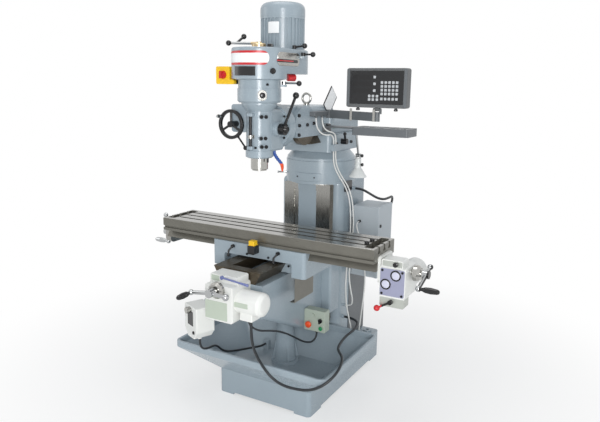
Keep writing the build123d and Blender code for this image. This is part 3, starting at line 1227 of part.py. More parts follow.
# Knee shaft with its bevel pinion and a stub outside the feed box
PINION_END = PINION_START + PINION_CONE + PINION_RIM
with BuildPart() as z_shaft:
    stub = KNEE_BOSS_END + KNEE_FEED_DEPTH + NEAR_GAP
    stub_radius = KNEE_SHAFT_RADIUS + STUB_COLLAR
    turned(((0, PINION_START), (PINION_SMALL_RADIUS, PINION_START), (PINION_RADIUS, PINION_END - PINION_RIM),
            (PINION_RADIUS, PINION_END), (KNEE_SHAFT_RADIUS, PINION_END), (KNEE_SHAFT_RADIUS, stub),
            (stub_radius, stub), (stub_radius, stub + STUB_LENGTH), (0, stub + STUB_LENGTH)),
           (0, ELEVATING_Y, KNEE_SHAFT_Z), KNEE_SHAFT_DIR)
z_shaft.part.label = "z_shaft"
export_step(z_shaft.part, "parts/z_shaft.step")

# Knee: wedge-sided box with jaws round the column ways, dovetail rails, screw trough and gear cavity
rail_wide, rail_narrow = dovetail(RAIL_WIDTH, RAIL_HEIGHT)
with BuildPart() as knee_casting:
    with BuildSketch(Plane.YZ):
        with BuildLine():
            Polyline((-SLIDE_GAP, KNEE_REAR_LOW_Z), (-KNEE_BELLY_REACH, KNEE_BELLY_Z),
                     (KNEE_FRONT_Y, KNEE_NOSE_Z), (KNEE_FRONT_Y, KNEE_TOP_Z), (-SLIDE_GAP, KNEE_TOP_Z),
                     close=True)
        make_face()
    extrude(amount=KNEE_WIDTH / 2, both=True)
    sloped = knee_casting.edges().filter_by(lambda edge: abs(edge.tangent_at(0.5).Z) > 0.2)
    belly = sloped.filter_by(lambda edge: abs(edge.tangent_at(0.5).Y) > 0.2)
    fillet(belly, radius=KNEE_EDGE_RADIUS)
    rounded_block((-JAW_WIDTH / 2, JAW_FRONT_Y, KNEE_REAR_LOW_Z), (JAW_WIDTH / 2, JAW_REAR_Y, JAW_TOP_Z),
                  JAW_CORNER)
    jaw_wide = way_wide + FLANK_SIDE + SLIDE_GAP * LEAN
    jaw_narrow = way_wide + FLANK_SIDE - JAW_REAR_Y * LEAN
    bars(((-jaw_wide, -SLIDE_GAP), (jaw_wide, -SLIDE_GAP), (jaw_narrow, JAW_REAR_Y),
          (-jaw_narrow, JAW_REAR_Y)),
         Plane.XY.offset(KNEE_REAR_LOW_Z), JAW_TOP_Z - KNEE_REAR_LOW_Z, mode=Mode.SUBTRACT)
    bars(((-rail_narrow, KNEE_TOP_Z), (rail_narrow, KNEE_TOP_Z), (rail_wide, RAIL_TOP_Z),
          (-rail_wide, RAIL_TOP_Z)),
         Plane.XZ.offset(-RAIL_REAR_Y), RAIL_REAR_Y - KNEE_FRONT_Y)
    rod(shaft_point(KNEE_BOSS_START), shaft_point(KNEE_BOSS_END), KNEE_BOSS_RADIUS)
    block((-TROUGH_WIDTH / 2, TROUGH_FRONT_Y, TROUGH_FLOOR_Z), (TROUGH_WIDTH / 2, TROUGH_REAR_Y, RAIL_TOP_Z),
          mode=Mode.SUBTRACT)
    rounded_block((-KNEE_CAVITY_WIDTH / 2, ELEVATING_Y - KNEE_CAVITY_FRONT, KNEE_BELLY_Z - LAP),
                  (KNEE_CAVITY_WIDTH / 2, ELEVATING_Y + KNEE_CAVITY_REAR, KNEE_CAVITY_TOP_Z),
                  KNEE_CAVITY_CORNER, mode=Mode.SUBTRACT)
    rod((0, ELEVATING_Y, KNEE_CAVITY_TOP_Z - LAP), (0, ELEVATING_Y, JOURNAL_TOP_Z + NEAR_GAP),
        JOURNAL_RADIUS + SHAFT_GAP, mode=Mode.SUBTRACT)
    rod(shaft_point(PINION_END + LAP), shaft_point(KNEE_BOSS_END + LAP), KNEE_SHAFT_RADIUS + SHAFT_GAP,
        mode=Mode.SUBTRACT)
    rod((0, KNEE_FRONT_Y, CROSS_SCREW_Z), (0, TROUGH_FRONT_Y, CROSS_SCREW_Z), CROSS_SCREW_RADIUS + SHAFT_GAP,
        mode=Mode.SUBTRACT)
    rod((0, TROUGH_REAR_Y, CROSS_SCREW_Z), (0, TROUGH_REAR_Y + CROSS_JOURNAL_LENGTH, CROSS_SCREW_Z),
        CROSS_JOURNAL_RADIUS + SHAFT_GAP, mode=Mode.SUBTRACT)
knee_casting.part.label = "knee_casting"
export_step(knee_casting.part, "parts/knee_casting.step")

# Knee power feed: chamfered box on the angled shaft boss, with a cable gland below
feed_across = (math.cos(SHAFT_TURN), -math.sin(SHAFT_TURN), 0)
feed_plane = Plane(origin=shaft_point(KNEE_BOSS_END), x_dir=feed_across, z_dir=KNEE_SHAFT_DIR)
feed_gland = feed_plane.from_local_coords((0, -KNEE_FEED_DROP, KNEE_FEED_DEPTH / 2))
FEED_GLAND = (feed_gland.X, feed_gland.Y, feed_gland.Z)
FEED_GLAND_END = shifted(FEED_GLAND, (0, 0, -GLAND_LENGTH))
with BuildPart() as z_feed_unit:
    half = KNEE_FEED_WIDTH / 2
    chin = half - KNEE_FEED_CHIN_WIDTH
    chin_z = KNEE_FEED_CHIN_HEIGHT - KNEE_FEED_DROP
    with BuildSketch(feed_plane):
        with BuildLine():
            Polyline((-half, KNEE_FEED_RISE), (half, KNEE_FEED_RISE), (half, chin_z),
                     (chin, -KNEE_FEED_DROP),
                     (-chin, -KNEE_FEED_DROP), (-half, chin_z), close=True)
        make_face()
        fillet(vertices(), radius=KNEE_FEED_CORNER)
    extrude(amount=KNEE_FEED_DEPTH)
    front = z_feed_unit.faces().sort_by(Axis(feed_plane.origin, feed_plane.z_dir))[-1]
    fillet(front.edges(), radius=KNEE_FEED_EDGE)
    rod(shaft_point(KNEE_BOSS_END), shaft_point(KNEE_BOSS_END + KNEE_FEED_DEPTH),
        KNEE_SHAFT_RADIUS + SHAFT_GAP,
        mode=Mode.SUBTRACT)
    rod(shifted(FEED_GLAND, (0, 0, LAP)), FEED_GLAND_END, FEED_CONDUIT / 2 + GLAND_WALL)
z_feed_unit.part.label = "z_feed_unit"
export_step(z_feed_unit.part, "parts/z_feed_unit.step")

# Cross power feed: gearbox, control head, side motor with end dome, terminal box
with BuildPart() as y_feed_unit:
    half = CROSS_BOX_WIDTH / 2
    rounded_block((-half, CROSS_BOX_FRONT_Y, CROSS_BOX_LOW_Z), (half, KNEE_FRONT_Y, CROSS_BOX_TOP_Z),
                  CROSS_BOX_CORNER, "Y")
    fillet(y_feed_unit.faces().sort_by(Axis.Y)[0].edges(), radius=FEED_EDGE)
    rounded_block((CROSS_HEAD_LEFT_X, CROSS_HEAD_FRONT_Y, CROSS_BOX_TOP_Z - FEED_HEAD_LAP),
                  (CROSS_HEAD_LEFT_X + CROSS_HEAD_WIDTH, KNEE_FRONT_Y - CROSS_HEAD_SETBACK,
                   CROSS_HEAD_TOP_Z),
                  FEED_HEAD_CORNER, "Y")
    turned(motor_outline(half - LAP, CROSS_MOTOR_END_X, CROSS_MOTOR_RADIUS),
           (0, CROSS_MOTOR_Y, CROSS_MOTOR_Z),
           (1, 0, 0))
    rounded_block((CROSS_TERMINAL_X, CROSS_MOTOR_Y - CROSS_TERMINAL_FRONT, CROSS_TERMINAL_Z),
                  (CROSS_TERMINAL_X + CROSS_TERMINAL_LENGTH, CROSS_MOTOR_Y + CROSS_TERMINAL_REAR,
                   CROSS_TERMINAL_Z + CROSS_TERMINAL_HEIGHT), CROSS_TERMINAL_CORNER)
    boss_y = CROSS_HEAD_FRONT_Y - CROSS_LEVER_BOSS_LENGTH
    rod((CROSS_LEVER_X, CROSS_HEAD_FRONT_Y + LAP, CROSS_LEVER_Z), (CROSS_LEVER_X, boss_y, CROSS_LEVER_Z),
        CROSS_LEVER_BOSS_RADIUS)
    rod((CROSS_LEVER_X, CROSS_HEAD_FRONT_Y + CROSS_LEVER_PIN_DEPTH + NEAR_GAP, CROSS_LEVER_Z),
        (CROSS_LEVER_X, boss_y, CROSS_LEVER_Z), LEVER_PIN_RADIUS + SHAFT_GAP, mode=Mode.SUBTRACT)
    rod((0, CROSS_BOX_FRONT_Y, CROSS_SCREW_Z), (0, KNEE_FRONT_Y, CROSS_SCREW_Z),
        CROSS_SCREW_RADIUS + SHAFT_GAP,
        mode=Mode.SUBTRACT)
y_feed_unit.part.label = "y_feed_unit"
export_step(y_feed_unit.part, "parts/y_feed_unit.step")

# Cross screw with its dial in front of the feed
with BuildPart() as y_screw:
    journal_end = -TROUGH_REAR_Y - CROSS_JOURNAL_LENGTH + NEAR_GAP
    shoulder = -TROUGH_REAR_Y + CROSS_SHOULDER
    dial = -CROSS_DIAL_Y
    dial_end = dial + CROSS_DIAL_LENGTH
    turned(((0, journal_end), (CROSS_JOURNAL_RADIUS, journal_end), (CROSS_JOURNAL_RADIUS, shoulder),
            (CROSS_SCREW_RADIUS, shoulder), (CROSS_SCREW_RADIUS, dial), (CROSS_DIAL_RADIUS, dial),
            (CROSS_DIAL_RADIUS, dial + CROSS_DIAL_RIM), (CROSS_DIAL_RADIUS - CROSS_DIAL_BEVEL, dial_end),
            (CROSS_SCREW_RADIUS, dial_end), (CROSS_SCREW_RADIUS, -CROSS_CRANK_Y), (0, -CROSS_CRANK_Y)),
           (0, 0, CROSS_SCREW_Z), (0, -1, 0))
y_screw.part.label = "y_screw"
export_step(y_screw.part, "parts/y_screw.step")

# Cross crank: balanced arm with a ball one side and a long grip on the other
with BuildPart() as y_crank:
    arm = (0, CROSS_CRANK_Y - CROSS_CRANK_HUB_LENGTH / 2, CROSS_SCREW_Z)
    ball_point = shifted(arm, (CROSS_CRANK_BALL[0], 0, CROSS_CRANK_BALL[1]))
    grip_point = shifted(arm, (CROSS_CRANK_GRIP[0], 0, CROSS_CRANK_GRIP[1]))
    rod((0, CROSS_CRANK_Y, CROSS_SCREW_Z), (0, CROSS_CRANK_Y - CROSS_CRANK_HUB_LENGTH, CROSS_SCREW_Z),
        CROSS_CRANK_HUB_RADIUS)
    knobbed_bar(arm, ball_point, CRANK_BAR_RADIUS, CROSS_CRANK_BALL_RADIUS, CRANK_BALL_BAR_END)
    knobbed_bar(arm, grip_point, CRANK_BAR_RADIUS, CRANK_KNOB_RADIUS, CRANK_GRIP_BAR_END)
    turned(GRIP_OUTLINE, grip_point, (0, -1, 0))
y_crank.part.label = "y_crank"
export_step(y_crank.part, "parts/y_crank.step")

# Cross feed lever on the control head
with BuildPart() as y_feed_lever:
    hub_y = CROSS_HEAD_FRONT_Y - CROSS_LEVER_BOSS_LENGTH - SLIDE_GAP
    hub = (CROSS_LEVER_X, hub_y, CROSS_LEVER_Z)
    arm = (CROSS_LEVER_X, hub_y - CROSS_LEVER_HUB_LENGTH / 2, CROSS_LEVER_Z)
    rod((CROSS_LEVER_X, CROSS_HEAD_FRONT_Y + CROSS_LEVER_PIN_DEPTH, CROSS_LEVER_Z), hub, LEVER_PIN_RADIUS)
    rod(hub, (CROSS_LEVER_X, hub_y - CROSS_LEVER_HUB_LENGTH, CROSS_LEVER_Z), CROSS_LEVER_HUB_RADIUS)
    rod(arm, shifted(arm, CROSS_LEVER_BAR_END), LEVER_BAR_RADIUS)
    knobbed_bar(shifted(arm, CROSS_LEVER_GRIP_START), shifted(arm, CROSS_LEVER_GRIP_END),
                CROSS_LEVER_GRIP_RADIUS,
                CROSS_LEVER_TIP_RADIUS, CROSS_LEVER_GRIP_END_RADIUS)
y_feed_lever.part.label = "y_feed_lever"
export_step(y_feed_lever.part, "parts/y_feed_lever.step")


def station_point(place, out=0.0):
    """Point in front of the station's face, from its lower left corner."""
    return (STATION_X + place[0], STATION_FRONT_Y - out, STATION_LOW_Z + place[1])


# Push-button station on the knee's right side, with its lamp
STATION_GLAND_END = (STATION_X + STATION_GLAND_X, STATION_FRONT_Y + STATION_DEPTH / 2,
                     STATION_LOW_Z - STATION_GLAND_LENGTH)
with BuildPart() as button_station:
    rounded_block((STATION_X, STATION_FRONT_Y, STATION_LOW_Z),
                  (STATION_X + STATION_WIDTH, STATION_FRONT_Y + STATION_DEPTH,
                   STATION_LOW_Z + STATION_HEIGHT),
                  STATION_CORNER, "Y")
    fillet(button_station.faces().sort_by(Axis.Y)[0].edges(), radius=STATION_EDGE)
    rod(station_point(STATION_LAMP_AT, -LAP), station_point(STATION_LAMP_AT, STATION_LAMP_HEIGHT),
        STATION_LAMP_RADIUS)
    for place in (MUSHROOM_AT, START_AT, SELECTOR_AT):
        rod(station_point(place, -LAP), station_point(place, BEZEL_HEIGHT), BEZEL_RADIUS)
        rod(station_point(place, BEZEL_HEIGHT + LAP), station_point(place, -BUTTON_BORE_DEPTH),
            BUTTON_STEM_RADIUS + SHAFT_GAP, mode=Mode.SUBTRACT)
    rod(shifted(STATION_GLAND_END, (0, 0, STATION_GLAND_LENGTH + LAP)), STATION_GLAND_END,
        STATION_GLAND_RADIUS)
button_station.part.label = "button_station"
export_step(button_station.part, "parts/button_station.step")


def push_button(place, head_radius, stand_off, head_thick, crown):
    """Add a button: a stem in the station and a crowned head that stands off the bezel."""
    face = BEZEL_HEIGHT + stand_off
    rim = face + head_thick
    turned(((0, -BUTTON_STEM_LENGTH), (BUTTON_STEM_RADIUS, -BUTTON_STEM_LENGTH), (BUTTON_STEM_RADIUS, face),
            (head_radius, face), (head_radius, rim), (head_radius - crown, rim + crown / 2),
            (0, rim + crown / 2)),
           station_point(place), (0, -1, 0))


with BuildPart() as estop_button:
    push_button(MUSHROOM_AT, *MUSHROOM_HEAD)
estop_button.part.label = "estop_button"
export_step(estop_button.part, "parts/estop_button.step")

with BuildPart() as start_button:
    push_button(START_AT, *START_HEAD)
start_button.part.label = "start_button"
export_step(start_button.part, "parts/start_button.step")

with BuildPart() as selector_switch:
    push_button(SELECTOR_AT, *SELECTOR_HEAD)
    half_bar = (SELECTOR_BAR_WIDTH / 2, SELECTOR_BAR_HEIGHT / 2, SELECTOR_BAR_LENGTH / 2)
    bar_middle = station_point(SELECTOR_AT, SELECTOR_BAR_FOOT + half_bar[1])
    block([a - b for a, b in zip(bar_middle, half_bar)], [a + b for a, b in zip(bar_middle, half_bar)])
selector_switch.part.label = "selector_switch"
export_step(selector_switch.part, "parts/selector_switch.step")

# Saddle: crossed dovetail channels, front arch over the cross feed, bosses for both nuts
GIB_SIDE = GIB_THICK / math.cos(math.radians(DOVETAIL_LEAN))
with BuildPart() as saddle_casting:
    rounded_block((-SADDLE_WIDTH / 2, SADDLE_FRONT_Y, SADDLE_LOW_Z),
                  (SADDLE_WIDTH / 2, SADDLE_REAR_Y, SADDLE_TOP_Z),
                  SADDLE_CORNER)
    channel_top = rail_wide + FLANK_SIDE + SLIDE_GAP * LEAN
    channel_low = rail_wide + FLANK_SIDE - (RAIL_TOP_Z - SADDLE_LOW_Z) * LEAN
    bars(((-channel_low, SADDLE_LOW_Z), (channel_low, SADDLE_LOW_Z), (channel_top, SADDLE_CEILING_Z),
          (-channel_top, SADDLE_CEILING_Z)), Plane.XZ.offset(-SADDLE_REAR_Y), SADDLE_REAR_Y - SADDLE_FRONT_Y,
         mode=Mode.SUBTRACT)
    rear_top = TABLE_NECK + FLANK_SIDE - SLIDE_GAP * LEAN
    rear_low = rear_top + (SADDLE_TOP_Z - TABLE_CHANNEL_Z) * LEAN
    front_top = rear_top + GIB_SIDE
    front_low = rear_low + GIB_SIDE
    bars(((TABLE_Y - front_low, TABLE_CHANNEL_Z), (TABLE_Y + rear_low, TABLE_CHANNEL_Z),
          (TABLE_Y + rear_top, SADDLE_TOP_Z), (TABLE_Y - front_top, SADDLE_TOP_Z)),
         Plane.YZ.offset(-SADDLE_WIDTH / 2), SADDLE_WIDTH, mode=Mode.SUBTRACT)
    rounded_block((-SADDLE_ARCH_WIDTH / 2, SADDLE_FRONT_Y, SADDLE_LOW_Z - 2 * SADDLE_ARCH_CORNER),
                  (SADDLE_ARCH_WIDTH / 2, SADDLE_FRONT_Y + SADDLE_ARCH_DEPTH, SADDLE_ARCH_TOP_Z),
                  SADDLE_ARCH_CORNER, "Y", mode=Mode.SUBTRACT)
    block((-CROSS_NUT_WIDTH / 2, CROSS_NUT_REAR_Y - CROSS_NUT_LENGTH, CROSS_SCREW_Z - CROSS_NUT_DROP),
          (CROSS_NUT_WIDTH / 2, CROSS_NUT_REAR_Y, SADDLE_CEILING_Z + LAP))
    rod((-SADDLE_WIDTH / 2, TABLE_Y, TABLE_SCREW_Z), (SADDLE_WIDTH / 2, TABLE_Y, TABLE_SCREW_Z),
        TABLE_SCREW_RADIUS + SCREW_CLEARANCE, mode=Mode.SUBTRACT)
    block((-TABLE_NUT_LENGTH / 2, TABLE_Y - TABLE_NUT_WIDTH / 2, TABLE_CHANNEL_Z - TABLE_NUT_DROP),
          (TABLE_NUT_LENGTH / 2, TABLE_Y + TABLE_NUT_WIDTH / 2, TABLE_CHANNEL_Z + TABLE_NUT_HEIGHT))
    rod((-TABLE_NUT_LENGTH, TABLE_Y, TABLE_SCREW_Z), (TABLE_NUT_LENGTH, TABLE_Y, TABLE_SCREW_Z),
        TABLE_SCREW_RADIUS + SHAFT_GAP, mode=Mode.SUBTRACT)
    rod((0, CROSS_NUT_REAR_Y - CROSS_NUT_LENGTH - LAP, CROSS_SCREW_Z),
        (0, CROSS_NUT_REAR_Y + LAP, CROSS_SCREW_Z),
        CROSS_SCREW_RADIUS + SHAFT_GAP, mode=Mode.SUBTRACT)
saddle_casting.part.label = "saddle_casting"
export_step(saddle_casting.part, "parts/saddle_casting.step")

# Gib: strip that takes up the play in the table dovetail
with BuildPart() as table_gib:
    bars(((TABLE_Y - front_low, TABLE_CHANNEL_Z), (TABLE_Y - rear_low, TABLE_CHANNEL_Z),
          (TABLE_Y - rear_top, SADDLE_TOP_Z), (TABLE_Y - front_top, SADDLE_TOP_Z)),
         Plane.YZ.offset(-SADDLE_WIDTH / 2), SADDLE_WIDTH)
table_gib.part.label = "table_gib"
export_step(table_gib.part, "parts/table_gib.step")

# Limit switch on the saddle's front
with BuildPart() as limit_switch:
    left = LIMIT_X - LIMIT_WIDTH / 2
    right = LIMIT_X + LIMIT_WIDTH / 2
    front = SADDLE_FRONT_Y - LIMIT_DEPTH
    rounded_block((left, front, LIMIT_LOW_Z), (right, SADDLE_FRONT_Y, LIMIT_LOW_Z + LIMIT_HEIGHT),
                  LIMIT_CORNER, "Y")
    rounded_block((left + LIMIT_CAP_INSET, front + LIMIT_CAP_INSET, LIMIT_LOW_Z + LIMIT_HEIGHT - LAP),
                  (right - LIMIT_CAP_INSET, front + LIMIT_CAP_INSET + LIMIT_CAP_DEPTH,
                   LIMIT_LOW_Z + LIMIT_HEIGHT + LIMIT_CAP_HEIGHT), LIMIT_CAP_CORNER)
limit_switch.part.label = "limit_switch"
export_step(limit_switch.part, "parts/limit_switch.step")


def lock_lever(pivot_x):
    """Add a table lock: a hub on the saddle's front and a bent bar with a small ball."""
    pivot = (pivot_x, SADDLE_FRONT_Y - SLIDE_GAP, LOCK_Z)
    elbow = shifted(pivot, LOCK_ELBOW)
    tip = shifted(pivot, LOCK_TIP)
    rod(pivot, shifted(pivot, (0, -LOCK_HUB_LENGTH, 0)), LOCK_HUB_RADIUS)
    rod(shifted(pivot, (0, -LOCK_BAR_AT, 0)), elbow, LEVER_BAR_RADIUS)
    rod(elbow, tip, LEVER_BAR_RADIUS)
    ball(elbow, LEVER_BAR_RADIUS)
    ball(tip, LOCK_BALL_RADIUS)


with BuildPart() as table_lock_left:
    lock_lever(LOCK_LEFT_X)
table_lock_left.part.label = "table_lock_left"
export_step(table_lock_left.part, "parts/table_lock_left.step")

with BuildPart() as table_lock_right:
    lock_lever(LOCK_RIGHT_X)
table_lock_right.part.label = "table_lock_right"
export_step(table_lock_right.part, "parts/table_lock_right.step")

# Table: slab with T-slots, drain troughs, stop groove and a dovetail below
with BuildPart() as table_top:
    neck, head = SLOT_WIDTH / 2, SLOT_HEAD_WIDTH / 2
    floor_z = TABLE_TOP_Z - SLOT_DEPTH
    head_z = floor_z + SLOT_HEAD_DEPTH
    groove_z = TABLE_LOW_Z + STOP_GROOVE_RISE
    tunnel = TABLE_NUT_WIDTH / 2 + SCREW_CLEARANCE
    block((-TABLE_END_X, TABLE_FRONT_Y, TABLE_LOW_Z), (TABLE_END_X, TABLE_REAR_Y, TABLE_TOP_Z))
    chamfer(table_top.edges().group_by(Axis.Z)[-1], length=TABLE_CHAMFER)
    bars(((TABLE_Y - TABLE_TAIL, TABLE_TAIL_Z), (TABLE_Y + TABLE_TAIL, TABLE_TAIL_Z),
          (TABLE_Y + TABLE_NECK, TABLE_LOW_Z), (TABLE_Y - TABLE_NECK, TABLE_LOW_Z)),
         Plane.YZ.offset(-TABLE_END_X), TABLE_LENGTH)
    for slot_y in (TABLE_Y - SLOT_PITCH, TABLE_Y, TABLE_Y + SLOT_PITCH):
        bars(((slot_y - head, floor_z), (slot_y + head, floor_z), (slot_y + head, head_z),
              (slot_y + neck, head_z),
              (slot_y + neck, TABLE_TOP_Z), (slot_y - neck, TABLE_TOP_Z), (slot_y - neck, head_z),
              (slot_y - head, head_z)), Plane.YZ.offset(-TABLE_END_X), TABLE_LENGTH, mode=Mode.SUBTRACT)
    for side in (-1, 1):
        middle_x = side * (TABLE_END_X - DRAIN_INSET - DRAIN_WIDTH / 2)
        rounded_block((middle_x - DRAIN_WIDTH / 2, TABLE_FRONT_Y + DRAIN_EDGE, TABLE_TOP_Z - DRAIN_DEPTH),
                      (middle_x + DRAIN_WIDTH / 2, TABLE_REAR_Y - DRAIN_EDGE, TABLE_TOP_Z), DRAIN_CORNER,
                      mode=Mode.SUBTRACT)
    block((-TABLE_END_X, TABLE_FRONT_Y, groove_z),
          (TABLE_END_X, TABLE_FRONT_Y + STOP_GROOVE_DEPTH, groove_z + STOP_GROOVE), mode=Mode.SUBTRACT)
    block((-TABLE_END_X, TABLE_Y - tunnel, TABLE_TAIL_Z),
          (TABLE_END_X, TABLE_Y + tunnel, TABLE_CHANNEL_Z + TABLE_NUT_HEIGHT + TABLE_NUT_HEADROOM),
          mode=Mode.SUBTRACT)
table_top.part.label = "table_top"
export_step(table_top.part, "parts/table_top.step")

# Left end bracket: bearing plate for the table screw
with BuildPart() as left_end_bracket:
    rounded_block((BRACKET_X, TABLE_Y - BRACKET_WIDTH / 2, TABLE_SCREW_Z - BRACKET_DROP),
                  (-TABLE_END_X, TABLE_Y + BRACKET_WIDTH / 2, TABLE_LOW_Z + BRACKET_RISE), BRACKET_CORNER,
                  "X")
    fillet(left_end_bracket.faces().sort_by(Axis.X)[0].edges(), radius=BRACKET_EDGE)
    rod((BRACKET_X, TABLE_Y, TABLE_SCREW_Z), (-TABLE_END_X, TABLE_Y, TABLE_SCREW_Z),
        TABLE_SCREW_RADIUS + SHAFT_GAP,
        mode=Mode.SUBTRACT)
left_end_bracket.part.label = "left_end_bracket"
export_step(left_end_bracket.part, "parts/left_end_bracket.step")

# Table power feed: end plate, gearbox, control head, rear motor, lower lever box
with BuildPart() as x_feed_unit:
    rounded_block((FEED_PLATE_X, TABLE_Y - FEED_PLATE_WIDTH / 2, FEED_MOTOR_Z),
                  (FEED_BOX_X, TABLE_Y + FEED_PLATE_WIDTH / 2, TABLE_LOW_Z + FEED_PLATE_RISE),
                  FEED_PLATE_CORNER, "X")
    rounded_block((FEED_BOX_X, FEED_BOX_FRONT_Y, FEED_BOX_LOW_Z),
                  (FEED_BOX_END_X, FEED_BOX_REAR_Y, FEED_BOX_TOP_Z),
                  FEED_BOX_CORNER, "X")
    fillet(x_feed_unit.faces().sort_by(Axis.X)[-1].edges(), radius=FEED_BOX_EDGE)
    rounded_block((FEED_BOX_X + FEED_HEAD_INSET, FEED_BOX_FRONT_Y + FEED_HEAD_SETBACK,
                   FEED_BOX_TOP_Z - FEED_HEAD_LAP),
                  (FEED_BOX_END_X - FEED_HEAD_SHORT, TABLE_Y - FEED_HEAD_REAR_GAP, FEED_HEAD_TOP_Z),
                  FEED_HEAD_CORNER, "Y")
    rounded_block((FEED_BOX_X + FEED_HEAD_INSET, FEED_FOOT_FRONT_Y, FEED_FOOT_LOW_Z),
                  (FEED_BOX_END_X - FEED_FOOT_SHORT, FEED_FOOT_FRONT_Y + FEED_FOOT_DEPTH,
                   FEED_BOX_LOW_Z + FEED_FOOT_LAP), FEED_HEAD_CORNER, "Y")
    turned(motor_outline(FEED_BOX_REAR_Y - LAP, FEED_MOTOR_REAR_Y, FEED_MOTOR_RADIUS),
           (FEED_MOTOR_X, 0, FEED_MOTOR_Z),
           (0, 1, 0))
    rod((FEED_PLATE_X, TABLE_Y, TABLE_SCREW_Z), (FEED_BOX_END_X, TABLE_Y, TABLE_SCREW_Z),
        TABLE_SCREW_RADIUS + SHAFT_GAP, mode=Mode.SUBTRACT)
    rod((FEED_LEVER_X, FEED_FOOT_FRONT_Y + FEED_LEVER_PIN_DEPTH + NEAR_GAP, FEED_LEVER_Z),
        (FEED_LEVER_X, FEED_FOOT_FRONT_Y, FEED_LEVER_Z), LEVER_PIN_RADIUS + SHAFT_GAP, mode=Mode.SUBTRACT)
x_feed_unit.part.label = "x_feed_unit"
export_step(x_feed_unit.part, "parts/x_feed_unit.step")

# Table screw with a dial at each end
with BuildPart() as x_screw:
    left_end = LEFT_DIAL_X - LEFT_DIAL_LENGTH
    right_end = RIGHT_DIAL_X + RIGHT_DIAL_LENGTH
    turned(((0, LEFT_CRANK_X), (TABLE_SCREW_RADIUS, LEFT_CRANK_X), (TABLE_SCREW_RADIUS, left_end),
            (TABLE_DIAL_RADIUS - LEFT_DIAL_BEVEL, left_end),
            (TABLE_DIAL_RADIUS, LEFT_DIAL_X - LEFT_DIAL_RIM),
            (TABLE_DIAL_RADIUS, LEFT_DIAL_X), (TABLE_SCREW_RADIUS, LEFT_DIAL_X),
            (TABLE_SCREW_RADIUS, RIGHT_DIAL_X),
            (TABLE_DIAL_RADIUS, RIGHT_DIAL_X), (TABLE_DIAL_RADIUS, RIGHT_DIAL_X + RIGHT_DIAL_RIM),
            (TABLE_DIAL_RADIUS - RIGHT_DIAL_BEVEL, right_end), (TABLE_SCREW_RADIUS, right_end),
            (TABLE_SCREW_RADIUS, RIGHT_CRANK_X), (0, RIGHT_CRANK_X)), (0, TABLE_Y, TABLE_SCREW_Z), (1, 0, 0))
x_screw.part.label = "x_screw"
export_step(x_screw.part, "parts/x_screw.step")


def table_crank(hub_x, side, ball_at, grip_at):
    """Add a table crank: hub, balanced arm, ball on one side and a grip pointing outward."""
    arm = (hub_x + side * TABLE_CRANK_HUB_LENGTH / 2, TABLE_Y, TABLE_SCREW_Z)
    grip_point = shifted(arm, (0, *grip_at))
    rod((hub_x, TABLE_Y, TABLE_SCREW_Z), (hub_x + side * TABLE_CRANK_HUB_LENGTH, TABLE_Y, TABLE_SCREW_Z),
        TABLE_CRANK_HUB_RADIUS)
    knobbed_bar(arm, shifted(arm, (0, *ball_at)), CRANK_BAR_RADIUS, CRANK_KNOB_RADIUS, CRANK_BALL_BAR_END)
    knobbed_bar(arm, grip_point, CRANK_BAR_RADIUS, CRANK_KNOB_RADIUS, CRANK_GRIP_BAR_END)
    turned(GRIP_OUTLINE, grip_point, (side, 0, 0))


with BuildPart() as x_cranks:
    table_crank(LEFT_CRANK_X, -1, LEFT_CRANK_BALL, LEFT_CRANK_GRIP)
    table_crank(RIGHT_CRANK_X, 1, RIGHT_CRANK_BALL, RIGHT_CRANK_GRIP)
x_cranks.part.label = "x_cranks"
export_step(x_cranks.part, "parts/x_cranks.step")

# Table feed lever: pivot in the lower box, bent bar and ball
with BuildPart() as x_feed_lever:
    hub = (FEED_LEVER_X, FEED_FOOT_FRONT_Y - SLIDE_GAP, FEED_LEVER_Z)
    rod((FEED_LEVER_X, FEED_FOOT_FRONT_Y + FEED_LEVER_PIN_DEPTH, FEED_LEVER_Z), hub, LEVER_PIN_RADIUS)
    rod(hub, shifted(hub, (0, -FEED_LEVER_HUB_LENGTH, 0)), FEED_LEVER_HUB_RADIUS)
    knobbed_bar(shifted(hub, (0, -FEED_LEVER_BAR_START, 0)), shifted(hub, FEED_LEVER_TIP),
                FEED_LEVER_BAR_RADIUS,
                FEED_LEVER_BALL_RADIUS)
x_feed_lever.part.label = "x_feed_lever"
export_step(x_feed_lever.part, "parts/x_feed_lever.step")

